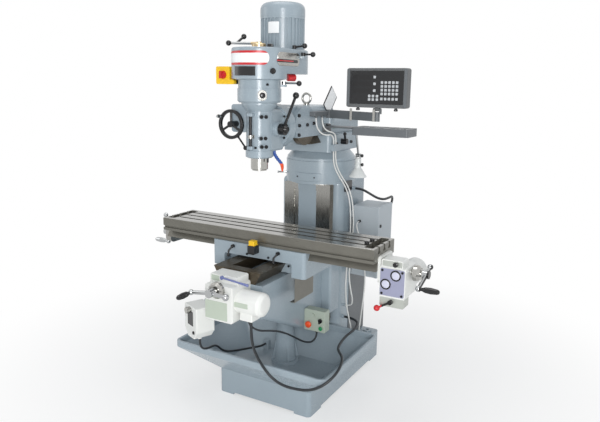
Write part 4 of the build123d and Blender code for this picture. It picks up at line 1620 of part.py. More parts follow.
# Electrical cabinet: sheet box open to the right, on two pads, with hinge knuckles at its rear edge
SIDE_GLAND_END = (SIDE_GLAND_X, CABINET_FRONT_Y - GLAND_LENGTH, SIDE_GLAND_Z)
REAR_GLAND_END = (REAR_GLAND_X, CABINET_REAR_Y + GLAND_LENGTH, REAR_GLAND_Z)
with BuildPart() as cabinet_case:
    rounded_block((CABINET_X, CABINET_FRONT_Y, CABINET_LOW_Z),
                  (CABINET_OPEN_X, CABINET_REAR_Y, CABINET_TOP_Z),
                  CABINET_CORNER, "X")
    block((CABINET_X + CABINET_WALL, CABINET_FRONT_Y + CABINET_WALL, CABINET_LOW_Z + CABINET_WALL),
          (CABINET_OPEN_X, CABINET_REAR_Y - CABINET_WALL, CABINET_TOP_Z - CABINET_WALL), mode=Mode.SUBTRACT)
    for pad_z in (CABINET_LOW_Z + CABINET_PAD_INSET, CABINET_TOP_Z - CABINET_PAD_INSET):
        rounded_block((COLUMN_SIDE_X, CABINET_FRONT_Y + CABINET_PAD_EDGE, pad_z - CABINET_PAD_HEIGHT / 2),
                      (CABINET_X + LAP, CABINET_REAR_Y - CABINET_PAD_EDGE, pad_z + CABINET_PAD_HEIGHT / 2),
                      CABINET_PAD_CORNER, "X")
    block((CABINET_X + CABINET_WALL, CABINET_FRONT_Y + CABINET_PLATE_EDGE,
           CABINET_LOW_Z + CABINET_PLATE_MARGIN),
          (CABINET_X + CABINET_WALL + CABINET_PLATE_THICK, CABINET_REAR_Y - CABINET_PLATE_EDGE,
           CABINET_TOP_Z - CABINET_PLATE_MARGIN))
    rod((SIDE_GLAND_X, CABINET_FRONT_Y + LAP, SIDE_GLAND_Z), SIDE_GLAND_END, CABLE / 2 + GLAND_WALL)
    rod((REAR_GLAND_X, CABINET_REAR_Y - LAP, REAR_GLAND_Z), REAR_GLAND_END, CONDUIT / 2 + GLAND_WALL)
    for hinge_z in DOOR_HINGE_LOWS:
        hinge_top = hinge_z + DOOR_HINGE_LENGTH
        rod((DOOR_HINGE_X, DOOR_HINGE_Y, hinge_z), (DOOR_HINGE_X, DOOR_HINGE_Y, hinge_top),
            DOOR_HINGE_RADIUS)
        block((CABINET_OPEN_X - DOOR_STRAP_LENGTH, CABINET_REAR_Y - CABINET_WALL / 2, hinge_z),
              (CABINET_OPEN_X, DOOR_HINGE_Y + SHAFT_GAP + DOOR_STRAP_THICK, hinge_top))
        block((CABINET_OPEN_X, DOOR_HINGE_Y + SHAFT_GAP, hinge_z),
              (DOOR_HINGE_X, DOOR_HINGE_Y + SHAFT_GAP + DOOR_STRAP_THICK, hinge_top))
cabinet_case.part.label = "cabinet_case"
export_step(cabinet_case.part, "parts/cabinet_case.step")

# Cabinet door with its two latches, notched round the hinge knuckles
with BuildPart() as cabinet_door:
    rounded_block((DOOR_X, CABINET_FRONT_Y - DOOR_LAP, CABINET_LOW_Z - DOOR_LAP),
                  (DOOR_X + DOOR_THICK, CABINET_REAR_Y + DOOR_LAP, CABINET_TOP_Z + DOOR_LAP), DOOR_CORNER,
                  "X")
    fillet(cabinet_door.faces().sort_by(Axis.X)[-1].edges(), radius=DOOR_EDGE)
    latch_y = CABINET_FRONT_Y + DOOR_LATCH_INSET
    for latch_z in (CABINET_LOW_Z + DOOR_LATCH_MARGIN, CABINET_TOP_Z - DOOR_LATCH_MARGIN):
        rod((DOOR_X + DOOR_THICK - LAP, latch_y, latch_z),
            (DOOR_X + DOOR_THICK + DOOR_LATCH_HEIGHT, latch_y, latch_z),
            DOOR_LATCH_RADIUS)
    for hinge_z in DOOR_HINGE_LOWS:
        rod((DOOR_HINGE_X, DOOR_HINGE_Y, hinge_z - SHAFT_GAP),
            (DOOR_HINGE_X, DOOR_HINGE_Y, hinge_z + DOOR_HINGE_LENGTH + SHAFT_GAP),
            DOOR_HINGE_RADIUS + SHAFT_GAP,
            mode=Mode.SUBTRACT)
cabinet_door.part.label = "cabinet_door"
export_step(cabinet_door.part, "parts/cabinet_door.step")

# Turret: cone foot, deck, jaws round the ram dovetail, cable clamp and pinion bore on the right
with BuildPart() as turret_casting:
    side_x = TURRET_WIDTH / 2
    turned(((0, TURRET_LOW_Z), (TURRET_LOW_RADIUS, TURRET_LOW_Z),
            (TURRET_LOW_RADIUS, TURRET_LOW_Z + TURRET_RIM),
            (TURRET_HIGH_RADIUS, TURRET_DECK_LOW_Z), (0, TURRET_DECK_LOW_Z)), (0, TURRET_Y, 0), (0, 0, 1))
    rounded_block((-side_x, TURRET_FRONT_Y, TURRET_DECK_LOW_Z), (side_x, TURRET_REAR_Y, JAW_LEVEL_Z),
                  TURRET_CORNER)
    slot_low = RAM_SLIDE_WIDTH / 2 + FLANK_SIDE + SLIDE_GAP * LEAN
    slot_top = slot_low - (JAW_LEVEL_Z - RAM_SLOT_Z) * LEAN
    bars(((-slot_low, RAM_SLOT_Z), (slot_low, RAM_SLOT_Z), (slot_top, JAW_LEVEL_Z),
          (-slot_top, JAW_LEVEL_Z)),
         Plane.XZ.offset(-TURRET_REAR_Y), TURRET_LENGTH, mode=Mode.SUBTRACT)
    clamp_y = TURRET_FRONT_Y + CLAMP_INSET
    rounded_block((side_x - LAP, clamp_y, CLAMP_LOW_Z),
                  (side_x + CLAMP_DEPTH, clamp_y + CLAMP_LENGTH, CLAMP_TOP_Z),
                  CLAMP_CORNER, "X")
    rod((side_x - RAM_HANDLE_PIN_LENGTH - NEAR_GAP, RAM_HANDLE_Y, RAM_HANDLE_Z),
        (side_x, RAM_HANDLE_Y, RAM_HANDLE_Z),
        RAM_HANDLE_PIN_RADIUS + SHAFT_GAP, mode=Mode.SUBTRACT)
turret_casting.part.label = "turret_casting"
export_step(turret_casting.part, "parts/turret_casting.step")

# Ram handle: pinion stub, hub and a ball-ended arm
with BuildPart() as ram_handle:
    hub = (TURRET_WIDTH / 2 + SLIDE_GAP, RAM_HANDLE_Y, RAM_HANDLE_Z)
    rod((TURRET_WIDTH / 2 - RAM_HANDLE_PIN_LENGTH, RAM_HANDLE_Y, RAM_HANDLE_Z), hub, RAM_HANDLE_PIN_RADIUS)
    rod(hub, shifted(hub, (RAM_HANDLE_HUB_LENGTH, 0, 0)), RAM_HANDLE_HUB_RADIUS)
    knobbed_bar(shifted(hub, (RAM_HANDLE_BAR_AT, 0, 0)), shifted(hub, RAM_HANDLE_TIP), RAM_HANDLE_BAR_RADIUS,
                RAM_HANDLE_BALL_RADIUS)
ram_handle.part.label = "ram_handle"
export_step(ram_handle.part, "parts/ram_handle.step")

# Ram: round-topped bar with a lower back on a dovetail, fork for the knuckle, lug and pin for the readout arm
ram_wide, ram_narrow = dovetail(RAM_SLIDE_WIDTH, RAM_SLIDE_DEPTH)
READOUT_PIVOT = (READOUT_PIVOT_X, READOUT_PIVOT_Y, READOUT_LUG_Z)
with BuildPart() as ram_casting:
    slope_y = RAM_BACK_Y + RAM_BACK_SLOPE
    for end_y, top_z in ((slope_y, RAM_TOP_Z), (RAM_REAR_Y, RAM_BACK_Z)):
        with BuildSketch(Plane.XZ.offset(-end_y)):
            with Locations((0, (RAM_LOW_Z + top_z) / 2)):
                section = Rectangle(RAM_WIDTH, top_z - RAM_LOW_Z)
            fillet(section.vertices().group_by(Axis.Y)[-1], radius=RAM_TOP_RADIUS)
        extrude(amount=end_y - NOD_Y)
    bars(((RAM_BACK_Y, RAM_TOP_Z), (slope_y, RAM_BACK_Z), (slope_y, RAM_TOP_Z)),
         Plane.YZ.offset(-RAM_SIDE_X), RAM_WIDTH, mode=Mode.SUBTRACT)
    for side in (-1, 1):
        rod((side * FORK_INNER_X, NOD_Y, HEAD_AXIS_Z), (side * RAM_SIDE_X, NOD_Y, HEAD_AXIS_Z), CHEEK_RADIUS)
    bars(((-ram_wide, RAM_TAIL_Z), (ram_wide, RAM_TAIL_Z), (ram_narrow, RAM_LOW_Z),
          (ram_narrow, RAM_LOW_Z + LAP),
          (-ram_narrow, RAM_LOW_Z + LAP), (-ram_narrow, RAM_LOW_Z)),
         Plane.XZ.offset(-RAM_REAR_Y), RAM_REAR_Y - NOD_Y - RAM_SLIDE_SETBACK)
    rod((-FORK_INNER_X, NOD_Y, HEAD_AXIS_Z), (FORK_INNER_X, NOD_Y, HEAD_AXIS_Z),
        CHEEK_RADIUS + FORK_CLEARANCE,
        mode=Mode.SUBTRACT)
    rod(shifted(READOUT_PIVOT, (0, 0, -READOUT_LUG_THICK)), READOUT_PIVOT, READOUT_PIVOT_RADIUS)
    block((RAM_SIDE_X - LAP, READOUT_PIVOT_Y - READOUT_PIVOT_RADIUS, READOUT_LUG_Z - READOUT_LUG_THICK),
          (READOUT_PIVOT_X, READOUT_PIVOT_Y + READOUT_PIVOT_RADIUS, READOUT_LUG_Z))
    rod(shifted(READOUT_PIVOT, (0, 0, -LAP)), shifted(READOUT_PIVOT, (0, 0, READOUT_PIN_HEIGHT)),
        READOUT_PIN_RADIUS)
ram_casting.part.label = "ram_casting"
export_step(ram_casting.part, "parts/ram_casting.step")

# Junction box on the ram's right side, with two cable glands below
RAM_CABLE_STARTS = [(JUNCTION_X, NOD_Y + reach,
                     JUNCTION_LOW_Z - JUNCTION_GLAND_LENGTH) for reach in RAM_CABLE_REACH]
with BuildPart() as junction_box:
    box_y = NOD_Y + JUNCTION_START
    rounded_block((RAM_SIDE_X, box_y, JUNCTION_LOW_Z),
                  (RAM_SIDE_X + JUNCTION_DEPTH, box_y + JUNCTION_LENGTH, JUNCTION_LOW_Z + JUNCTION_HEIGHT),
                  JUNCTION_CORNER, "X")
    fillet(junction_box.faces().sort_by(Axis.X)[-1].edges(), radius=JUNCTION_EDGE)
    for gland_end in RAM_CABLE_STARTS:
        rod(shifted(gland_end, (0, 0, JUNCTION_GLAND_LENGTH + LAP)), gland_end, CABLE / 2 + GLAND_WALL)
junction_box.part.label = "junction_box"
export_step(junction_box.part, "parts/junction_box.step")

# Lifting eye on top of the ram
with BuildPart() as lifting_eye:
    rod((0, EYE_Y, RAM_TOP_Z), (0, EYE_Y, RAM_TOP_Z + EYE_FOOT_HEIGHT), EYE_FOOT_RADIUS)
    with Locations(Plane(origin=(0, EYE_Y, RAM_TOP_Z + EYE_RISE), z_dir=(0, 1, 0))):
        Torus(EYE_RADIUS, EYE_BAR_RADIUS)
lifting_eye.part.label = "lifting_eye"
export_step(lifting_eye.part, "parts/lifting_eye.step")

# Tool tray: bracket from the ram, skirted plate with holes, cheeks for the lamp
with BuildPart() as tool_tray:
    bracket_y = TRAY_REAR_Y - TRAY_BRACKET_INSET
    bracket_top = TRAY_BRACKET_Z + TRAY_BRACKET_THICK
    rounded_block((RAM_SIDE_X, bracket_y, TRAY_BRACKET_Z),
                  (TRAY_X + TRAY_BRACKET_LAP, bracket_y + TRAY_BRACKET_WIDTH, bracket_top),
                  TRAY_BRACKET_CORNER)
    block((RAM_SIDE_X, bracket_y, TRAY_BRACKET_Z - TRAY_BRACKET_HANG),
          (RAM_SIDE_X + TRAY_BRACKET_THICK, bracket_y + TRAY_BRACKET_WIDTH, bracket_top))
    rounded_block((TRAY_X, TRAY_FRONT_Y, TRAY_TOP_Z - TRAY_DEPTH),
                  (TRAY_X + TRAY_LENGTH, TRAY_REAR_Y, TRAY_TOP_Z),
                  TRAY_CORNER)
    rounded_block((TRAY_X + TRAY_SHEET, TRAY_FRONT_Y + TRAY_SHEET, TRAY_TOP_Z - TRAY_DEPTH),
                  (TRAY_X + TRAY_LENGTH - TRAY_SHEET, TRAY_REAR_Y - TRAY_SHEET, TRAY_TOP_Z - TRAY_SHEET),
                  TRAY_CORNER - TRAY_SHEET, mode=Mode.SUBTRACT)
    with Locations((TRAY_X + TRAY_LENGTH / 2, (TRAY_FRONT_Y + TRAY_REAR_Y) / 2, TRAY_TOP_Z)):
        with GridLocations(TRAY_HOLE_PITCH, TRAY_ROW_PITCH, 5, 2):
            Cylinder(TRAY_HOLE_RADIUS, 3 * TRAY_SHEET, mode=Mode.SUBTRACT)
    block((TRAY_X - TRAY_TONGUE, bracket_y, TRAY_BRACKET_Z), (TRAY_X + LAP, TRAY_REAR_Y, bracket_top))
    for side in (-1, 1):
        cheek_x = LAMP_X + side * LAMP_CHEEK_OUT
        block((cheek_x - LAMP_CHEEK_THICK / 2, LAMP_PIVOT[0] - LAMP_CHEEK_WIDTH / 2,
               LAMP_PIVOT[1] - LAMP_CHEEK_DROP),
              (cheek_x + LAMP_CHEEK_THICK / 2, LAMP_PIVOT[0] + LAMP_CHEEK_WIDTH / 2, TRAY_BRACKET_Z + LAP))
tool_tray.part.label = "tool_tray"
export_step(tool_tray.part, "parts/tool_tray.step")

# Readout arm: hub on the ram's lug, flat bar and an upright with the tilt hinge
arm_length = math.hypot(*READOUT_ARM_SPAN)
with BuildPart() as dro_arm:
    with BuildSketch(Plane(origin=(READOUT_PIVOT_X, READOUT_PIVOT_Y, READOUT_ARM_LOW_Z),
                           x_dir=(*READOUT_ARM_SPAN, 0),
                           z_dir=(0, 0, 1))):
        Circle(READOUT_PIVOT_RADIUS)
        with Locations((arm_length / 2, 0)):
            SlotCenterToCenter(arm_length, READOUT_ARM_THICK)
    extrude(amount=READOUT_ARM_HEIGHT)
    rod((READOUT_X, READOUT_Y, READOUT_ARM_LOW_Z),
        (READOUT_X, READOUT_Y, READOUT_HINGE_Z - READOUT_POST_GAP),
        READOUT_POST_RADIUS)
    for side in (-1, 1):
        left = READOUT_X + side * READOUT_EAR_OUT - READOUT_EAR_THICK / 2
        right = left + READOUT_EAR_THICK
        block((left, READOUT_Y - READOUT_EAR_RADIUS,
               READOUT_ARM_LOW_Z + READOUT_ARM_HEIGHT - READOUT_EAR_LAP),
              (right, READOUT_Y + READOUT_EAR_RADIUS, READOUT_HINGE_Z))
        rod((left, READOUT_Y, READOUT_HINGE_Z), (right, READOUT_Y, READOUT_HINGE_Z), READOUT_EAR_RADIUS)
    rod((READOUT_PIVOT_X, READOUT_PIVOT_Y, READOUT_ARM_LOW_Z),
        (READOUT_PIVOT_X, READOUT_PIVOT_Y, READOUT_ARM_LOW_Z + READOUT_PIN_HEIGHT + NEAR_GAP),
        READOUT_PIN_RADIUS + SHAFT_GAP, mode=Mode.SUBTRACT)
dro_arm.part.label = "dro_arm"
export_step(dro_arm.part, "parts/dro_arm.step")

# Readout display: shallow rounded case with a hinge tongue below
with BuildPart() as dro_display:
    half = READOUT_WIDTH / 2
    tongue = READOUT_TONGUE_WIDTH / 2
    rounded_block((READOUT_X - half, READOUT_Y - READOUT_DEPTH / 2, READOUT_LOW_Z),
                  (READOUT_X + half, READOUT_Y + READOUT_DEPTH / 2, READOUT_LOW_Z + READOUT_HEIGHT),
                  READOUT_CORNER, "Y")
    fillet(dro_display.faces().sort_by(Axis.Y)[0].edges(), radius=READOUT_EDGE)
    block((READOUT_X - tongue, READOUT_Y - READOUT_TONGUE_RADIUS, READOUT_HINGE_Z),
          (READOUT_X + tongue, READOUT_Y + READOUT_TONGUE_RADIUS, READOUT_LOW_Z + LAP))
    rod((READOUT_X - tongue, READOUT_Y, READOUT_HINGE_Z), (READOUT_X + tongue, READOUT_Y, READOUT_HINGE_Z),
        READOUT_TONGUE_RADIUS)
dro_display.part.label = "dro_display"
export_step(dro_display.part, "parts/dro_display.step")

# Lamp arm: short link between two cross pins
with BuildPart() as lamp_arm:
    for pin in (LAMP_PIVOT, LAMP_ELBOW):
        rod((LAMP_X - LAMP_PIN_LENGTH / 2, *pin), (LAMP_X + LAMP_PIN_LENGTH / 2, *pin), LAMP_PIN_RADIUS)
    rod((LAMP_X, *LAMP_PIVOT), (LAMP_X, *LAMP_ELBOW), LAMP_LINK_RADIUS)
lamp_arm.part.label = "lamp_arm"
export_step(lamp_arm.part, "parts/lamp_arm.step")

# Lamp head: fork, conical shade open below, and its bulb
with BuildPart() as lamp_head:
    lamp_y, elbow_z = LAMP_ELBOW
    shade_z = elbow_z - LAMP_NECK
    inner_z = shade_z - LAMP_CROWN_THICK
    turned(((0, shade_z), (LAMP_CROWN_RADIUS, shade_z), (LAMP_CROWN_EDGE, shade_z - LAMP_CROWN_HEIGHT),
            (LAMP_RIM_RADIUS, LAMP_RIM_Z), (LAMP_RIM_RADIUS - LAMP_SHEET, LAMP_RIM_Z),
            (LAMP_INNER_RADIUS, inner_z),
            (0, inner_z)), (LAMP_X, lamp_y, 0), (0, 0, 1))
    turned([(radius, shade_z - depth) for radius, depth in LAMP_BULB], (LAMP_X, lamp_y, 0), (0, 0, 1))
    for side in (-1, 1):
        cheek_x = LAMP_X + side * LAMP_CHEEK_OUT
        block((cheek_x - LAMP_CHEEK_THICK / 2, lamp_y - LAMP_FORK_WIDTH / 2, shade_z - LAP),
              (cheek_x + LAMP_CHEEK_THICK / 2, lamp_y + LAMP_FORK_WIDTH / 2, elbow_z + LAMP_PIN_RADIUS))
lamp_head.part.label = "lamp_head"
export_step(lamp_head.part, "parts/lamp_head.step")

# Knuckle: cross barrel in the ram's fork, neck and swivel disc
with BuildPart() as knuckle_casting:
    barrel_x = FORK_INNER_X - SLIDE_GAP
    swivel_back_y = SWIVEL_Y + SWIVEL_THICK
    root = CHEEK_RADIUS - KNUCKLE_ROOT
    rod((-barrel_x, NOD_Y, HEAD_AXIS_Z), (barrel_x, NOD_Y, HEAD_AXIS_Z), CHEEK_RADIUS)
    bars(((NOD_Y, HEAD_AXIS_Z - root), (NOD_Y, HEAD_AXIS_Z + root),
          (swivel_back_y - LAP, HEAD_AXIS_Z + KNUCKLE_NECK),
          (swivel_back_y - LAP, HEAD_AXIS_Z - KNUCKLE_NECK)), Plane.YZ.offset(-barrel_x), 2 * barrel_x)
    rod((0, swivel_back_y, HEAD_AXIS_Z), (0, SWIVEL_Y, HEAD_AXIS_Z), SWIVEL_RADIUS)
knuckle_casting.part.label = "knuckle_casting"
export_step(knuckle_casting.part, "parts/knuckle_casting.step")

# Quill housing: swivel disc, rear block, barrel with collar and flared top, feed case, pinion boss, stop
with BuildPart() as quill_housing:
    disc_y = SWIVEL_Y - SLIDE_GAP
    collar_radius = BARREL_RADIUS + BARREL_COLLAR
    collar_top = BARREL_LOW_Z + BARREL_COLLAR_END
    pinion = (PINION_BOSS_X, PINION_BOSS_Y, PINION_BOSS_Z)
    rod((0, disc_y, HEAD_AXIS_Z), (0, disc_y - SWIVEL_THICK, HEAD_AXIS_Z), SWIVEL_RADIUS)
    rounded_block((-REAR_BLOCK_WIDTH / 2, SPINDLE_Y, REAR_BLOCK_LOW_Z),
                  (REAR_BLOCK_WIDTH / 2, disc_y - SWIVEL_THICK + REAR_BLOCK_LAP,
                   BARREL_TOP_Z + REAR_BLOCK_TOP),
                  REAR_BLOCK_CORNER, "Y")
    turned(((0, BARREL_LOW_Z), (BARREL_RADIUS - BARREL_CHAMFER, BARREL_LOW_Z),
            (collar_radius, BARREL_LOW_Z + BARREL_COLLAR_START), (collar_radius, collar_top),
            (BARREL_RADIUS, collar_top + BARREL_COLLAR), (BARREL_RADIUS, BARREL_TOP_Z),
            (BARREL_FLARE_RADIUS, GEAR_CASE_LOW_Z - BARREL_SHOULDER),
            (BARREL_FLARE_RADIUS, GEAR_CASE_LOW_Z), (0, GEAR_CASE_LOW_Z)),
           (0, SPINDLE_Y, 0), (0, 0, 1))
    rod((0, PINION_BOSS_Y, PINION_BOSS_Z), pinion, PINION_BOSS_RADIUS)
    rounded_block((FEED_CASE_X, FEED_CASE_FRONT_Y, WHEEL_Z - FEED_CASE_DROP),
                  (FEED_CASE_X + FEED_CASE_WIDTH, FEED_CASE_FRONT_Y + FEED_CASE_DEPTH,
                   WHEEL_Z + FEED_CASE_RISE),
                  FEED_CASE_CORNER, "Y")
    rod((TRIP_X, SPINDLE_Y, TRIP_Z), (TRIP_X, TRIP_FACE_Y, TRIP_Z), TRIP_RADIUS)
    low_lug_z = BARREL_LOW_Z + STOP_LUG_LOW
    top_lug_z = BARREL_TOP_Z - STOP_LUG_TOP
    for lug_z in (low_lug_z, top_lug_z):
        rounded_block((-STOP_LUG_WIDTH / 2, SPINDLE_Y - STOP_LUG_FRONT, lug_z),
                      (STOP_LUG_WIDTH / 2, SPINDLE_Y - BARREL_RADIUS + STOP_LUG_LAP, lug_z + STOP_LUG_THICK),
                      STOP_LUG_CORNER)
    rod((0, STOP_ROD_Y, low_lug_z + STOP_LUG_THICK - LAP), (0, STOP_ROD_Y, top_lug_z + LAP), STOP_ROD_RADIUS)
    rod((0, STOP_ROD_Y, BARREL_LOW_Z + STOP_NUT_RISE),
        (0, STOP_ROD_Y, BARREL_LOW_Z + STOP_NUT_RISE + STOP_NUT_THICK),
        STOP_NUT_RADIUS)
    rod((0, SPINDLE_Y, BARREL_LOW_Z), (0, SPINDLE_Y, GEAR_CASE_LOW_Z - QUILL_ROOF), QUILL_RADIUS + SHAFT_GAP,
        mode=Mode.SUBTRACT)
    rod(shifted(pinion, (-PINION_SHAFT_LENGTH - NEAR_GAP, 0, 0)), pinion, PINION_SHAFT_RADIUS + SHAFT_GAP,
        mode=Mode.SUBTRACT)
    rod((WHEEL_X, FEED_CASE_FRONT_Y, WHEEL_Z),
        (WHEEL_X, FEED_CASE_FRONT_Y + WHEEL_SHAFT_LENGTH + NEAR_GAP, WHEEL_Z),
        WHEEL_SHAFT_RADIUS + SHAFT_GAP, mode=Mode.SUBTRACT)
quill_housing.part.label = "quill_housing"
export_step(quill_housing.part, "parts/quill_housing.step")

# Gear case above the quill housing
with BuildPart() as gear_case:
    turned(((0, GEAR_CASE_LOW_Z), (GEAR_CASE_RADIUS - GEAR_CASE_CHAMFER, GEAR_CASE_LOW_Z),
            (GEAR_CASE_RADIUS, GEAR_CASE_LOW_Z + GEAR_CASE_CHAMFER), (GEAR_CASE_RADIUS, GEAR_CASE_TOP_Z),
            (0, GEAR_CASE_TOP_Z)), (0, SPINDLE_Y, 0), (0, 0, 1))
gear_case.part.label = "gear_case"
export_step(gear_case.part, "parts/gear_case.step")


def lever_pin(pivot_x, pivot_y, pin_z, hub_height):
    """Add the upright pin that a lever's hub turns on."""
    rod((pivot_x, pivot_y, pin_z - LAP), (pivot_x, pivot_y, pin_z + hub_height - HUB_ROOF - NEAR_GAP / 2),
        LEVER_PIN_RADIUS)


# Belt housing: collar, long rounded cover round both pulleys, lugs and pins for the levers
with BuildPart() as belt_housing:
    with BuildSketch(Plane.XY.offset(BELT_REAR_LOW_Z)):
        with Locations((0, SPINDLE_Y)):
            Circle(BELT_FRONT_RADIUS)
        with Locations((0, MOTOR_Y)):
            Circle(BELT_REAR_RADIUS)
        make_hull()
    extrude(amount=BELT_TOP_Z - BELT_REAR_LOW_Z)
    fillet(belt_housing.edges().group_by(Axis.Z)[-1], radius=BELT_EDGE)
    turned(((0, GEAR_CASE_TOP_Z), (COLLAR_RADIUS, GEAR_CASE_TOP_Z),
            (COLLAR_RADIUS, BELT_LOW_Z - COLLAR_FLARE),
            (BELT_FRONT_RADIUS, BELT_LOW_Z), (BELT_FRONT_RADIUS, BELT_REAR_LOW_Z), (0, BELT_REAR_LOW_Z)),
           (0, SPINDLE_Y, 0), (0, 0, 1))
    rounded_block((BELT_REAR_RADIUS - BRAKE_LUG_ROOT, BRAKE_Y - BRAKE_LUG_WIDTH / 2,
                   BRAKE_Z - BRAKE_LUG_THICK),
                  (BRAKE_X + BRAKE_LUG_OUT, BRAKE_Y + BRAKE_LUG_WIDTH / 2, BRAKE_Z), BRAKE_LUG_CORNER)
    reach = math.hypot(RANGE_X, RANGE_REACH)
    lug_plane = Plane(origin=(0, SPINDLE_Y, RANGE_Z - RANGE_LUG_THICK), x_dir=(RANGE_X, RANGE_REACH, 0),
                      z_dir=(0, 0, 1))
    with BuildSketch(lug_plane):
        with Locations((reach - RANGE_LUG_LENGTH / 2, 0)):
            SlotCenterToCenter(RANGE_LUG_LENGTH, RANGE_LUG_WIDTH)
    extrude(amount=RANGE_LUG_THICK)
    lever_pin(BRAKE_X, BRAKE_Y, BRAKE_Z, HEAD_LEVER_HUB_HEIGHT)
    lever_pin(RANGE_X, RANGE_Y, RANGE_Z, RANGE_HUB_HEIGHT)
    lever_pin(MOTOR_LOCK_X, MOTOR_LOCK_Y, BELT_TOP_Z, HEAD_LEVER_HUB_HEIGHT)
    rod((SPEED_X, SPEED_Y, BELT_TOP_Z - LAP), (SPEED_X, SPEED_Y, BELT_TOP_Z + SPEED_PIN_HEIGHT),
        SPEED_PIN_RADIUS)
belt_housing.part.label = "belt_housing"
export_step(belt_housing.part, "parts/belt_housing.step")

# Motor body: flange, top ring, upright cooling ribs and terminal box at the back
with BuildPart() as motor_body:
    ring_radius = MOTOR_RADIUS + MOTOR_RIB
    rod((0, MOTOR_Y, BELT_TOP_Z), (0, MOTOR_Y, MOTOR_TOP_Z), MOTOR_RADIUS)
    rod((0, MOTOR_Y, BELT_TOP_Z), (0, MOTOR_Y, BELT_TOP_Z + MOTOR_FLANGE), ring_radius)
    rod((0, MOTOR_Y, MOTOR_TOP_Z - MOTOR_TOP_RING), (0, MOTOR_Y, MOTOR_TOP_Z), ring_radius)
    with Locations((0, MOTOR_Y, BELT_TOP_Z + MOTOR_HEIGHT / 2)):
        with PolarLocations(MOTOR_RADIUS, MOTOR_RIBS):
            Box(2 * (MOTOR_RIB - MOTOR_RIB_INSET), MOTOR_RIB_THICK, MOTOR_HEIGHT - 2 * MOTOR_RIB_MARGIN)
    terminal_z = BELT_TOP_Z + MOTOR_TERMINAL_RISE
    rounded_block((-MOTOR_TERMINAL_WIDTH / 2, MOTOR_Y + MOTOR_TERMINAL_ROOT, terminal_z),
                  (MOTOR_TERMINAL_WIDTH / 2, MOTOR_Y + MOTOR_RADIUS + MOTOR_TERMINAL_DEPTH,
                   terminal_z + MOTOR_TERMINAL_HEIGHT), MOTOR_TERMINAL_CORNER, "Y")
motor_body.part.label = "motor_body"
export_step(motor_body.part, "parts/motor_body.step")

# Fan cover: short cylinder with a domed top
with BuildPart() as fan_cover:
    shoulder_z = FAN_TOP_Z - FAN_DOME
    dome_radius = (FAN_RADIUS ** 2 + FAN_DOME ** 2) / (2 * FAN_DOME)
    middle = FAN_RADIUS / 2
    middle_z = FAN_TOP_Z - dome_radius + math.sqrt(dome_radius ** 2 - middle ** 2)
    with BuildSketch(Plane(origin=(0, MOTOR_Y, 0), x_dir=(1, 0, 0), z_dir=(0, -1, 0))):
        with BuildLine():
            Polyline((0, FAN_TOP_Z), (0, MOTOR_TOP_Z), (FAN_RADIUS, MOTOR_TOP_Z), (FAN_RADIUS, shoulder_z))
            ThreePointArc((FAN_RADIUS, shoulder_z), (middle, middle_z), (0, FAN_TOP_Z))
        make_face()
    revolve(axis=Axis((0, MOTOR_Y, 0), (0, 0, 1)))
    shoulder = fan_cover.edges().filter_by_position(Axis.Z, shoulder_z - LAP, shoulder_z + LAP)
    fillet(shoulder, radius=FAN_SHOULDER)
fan_cover.part.label = "fan_cover"
export_step(fan_cover.part, "parts/fan_cover.step")

# Main switch box beside the belt housing, and its knob
SWITCH_KNOB = (SWITCH_KNOB_X, SWITCH_FRONT_Y, SWITCH_KNOB_Z)
with BuildPart() as switch_box:
    strap_y = SPINDLE_Y - SWITCH_STRAP_FRONT
    strap_z = SWITCH_LOW_Z + SWITCH_STRAP_RISE
    rounded_block((SWITCH_LEFT_X, SWITCH_FRONT_Y, SWITCH_LOW_Z),
                  (SWITCH_FOOT_ROOT - BELT_FRONT_RADIUS, SWITCH_REAR_Y, SWITCH_LOW_Z + SWITCH_FOOT_HEIGHT),
                  SWITCH_CORNER, "Y")
    rounded_block((SWITCH_LEFT_X, SWITCH_FRONT_Y, SWITCH_LOW_Z),
                  (-BELT_FRONT_RADIUS - SWITCH_GAP, SWITCH_REAR_Y, SWITCH_LOW_Z + SWITCH_HEIGHT),
                  SWITCH_CORNER, "Y")
    block((SWITCH_STRAP_ROOT - BELT_FRONT_RADIUS, strap_y, strap_z),
          (LAP - COLLAR_RADIUS, strap_y + SWITCH_STRAP_WIDTH, strap_z + SWITCH_STRAP_HEIGHT))
    rod(shifted(SWITCH_KNOB, (0, SWITCH_SHAFT_LENGTH + NEAR_GAP, 0)), SWITCH_KNOB,
        SWITCH_SHAFT_RADIUS + SHAFT_GAP,
        mode=Mode.SUBTRACT)
    rod((0, SPINDLE_Y, SWITCH_LOW_Z - LAP), (0, SPINDLE_Y, BELT_LOW_Z), COLLAR_RADIUS, mode=Mode.SUBTRACT)
switch_box.part.label = "switch_box"
export_step(switch_box.part, "parts/switch_box.step")

with BuildPart() as switch_knob:
    face = shifted(SWITCH_KNOB, (0, -SLIDE_GAP, 0))
    rod(shifted(SWITCH_KNOB, (0, SWITCH_SHAFT_LENGTH, 0)), face, SWITCH_SHAFT_RADIUS)
    rod(face, shifted(face, (0, -SWITCH_KNOB_THICK, 0)), SWITCH_KNOB_RADIUS, SWITCH_KNOB_END)
    rounded_block(shifted(face, (-SWITCH_BAR_WIDTH / 2, -SWITCH_BAR_HEIGHT, -SWITCH_BAR_LENGTH / 2)),
                  shifted(face, (SWITCH_BAR_WIDTH / 2, LAP - SWITCH_KNOB_THICK, SWITCH_BAR_LENGTH / 2)),
                  SWITCH_BAR_CORNER, "Y")
switch_knob.part.label = "switch_knob"
export_step(switch_knob.part, "parts/switch_knob.step")

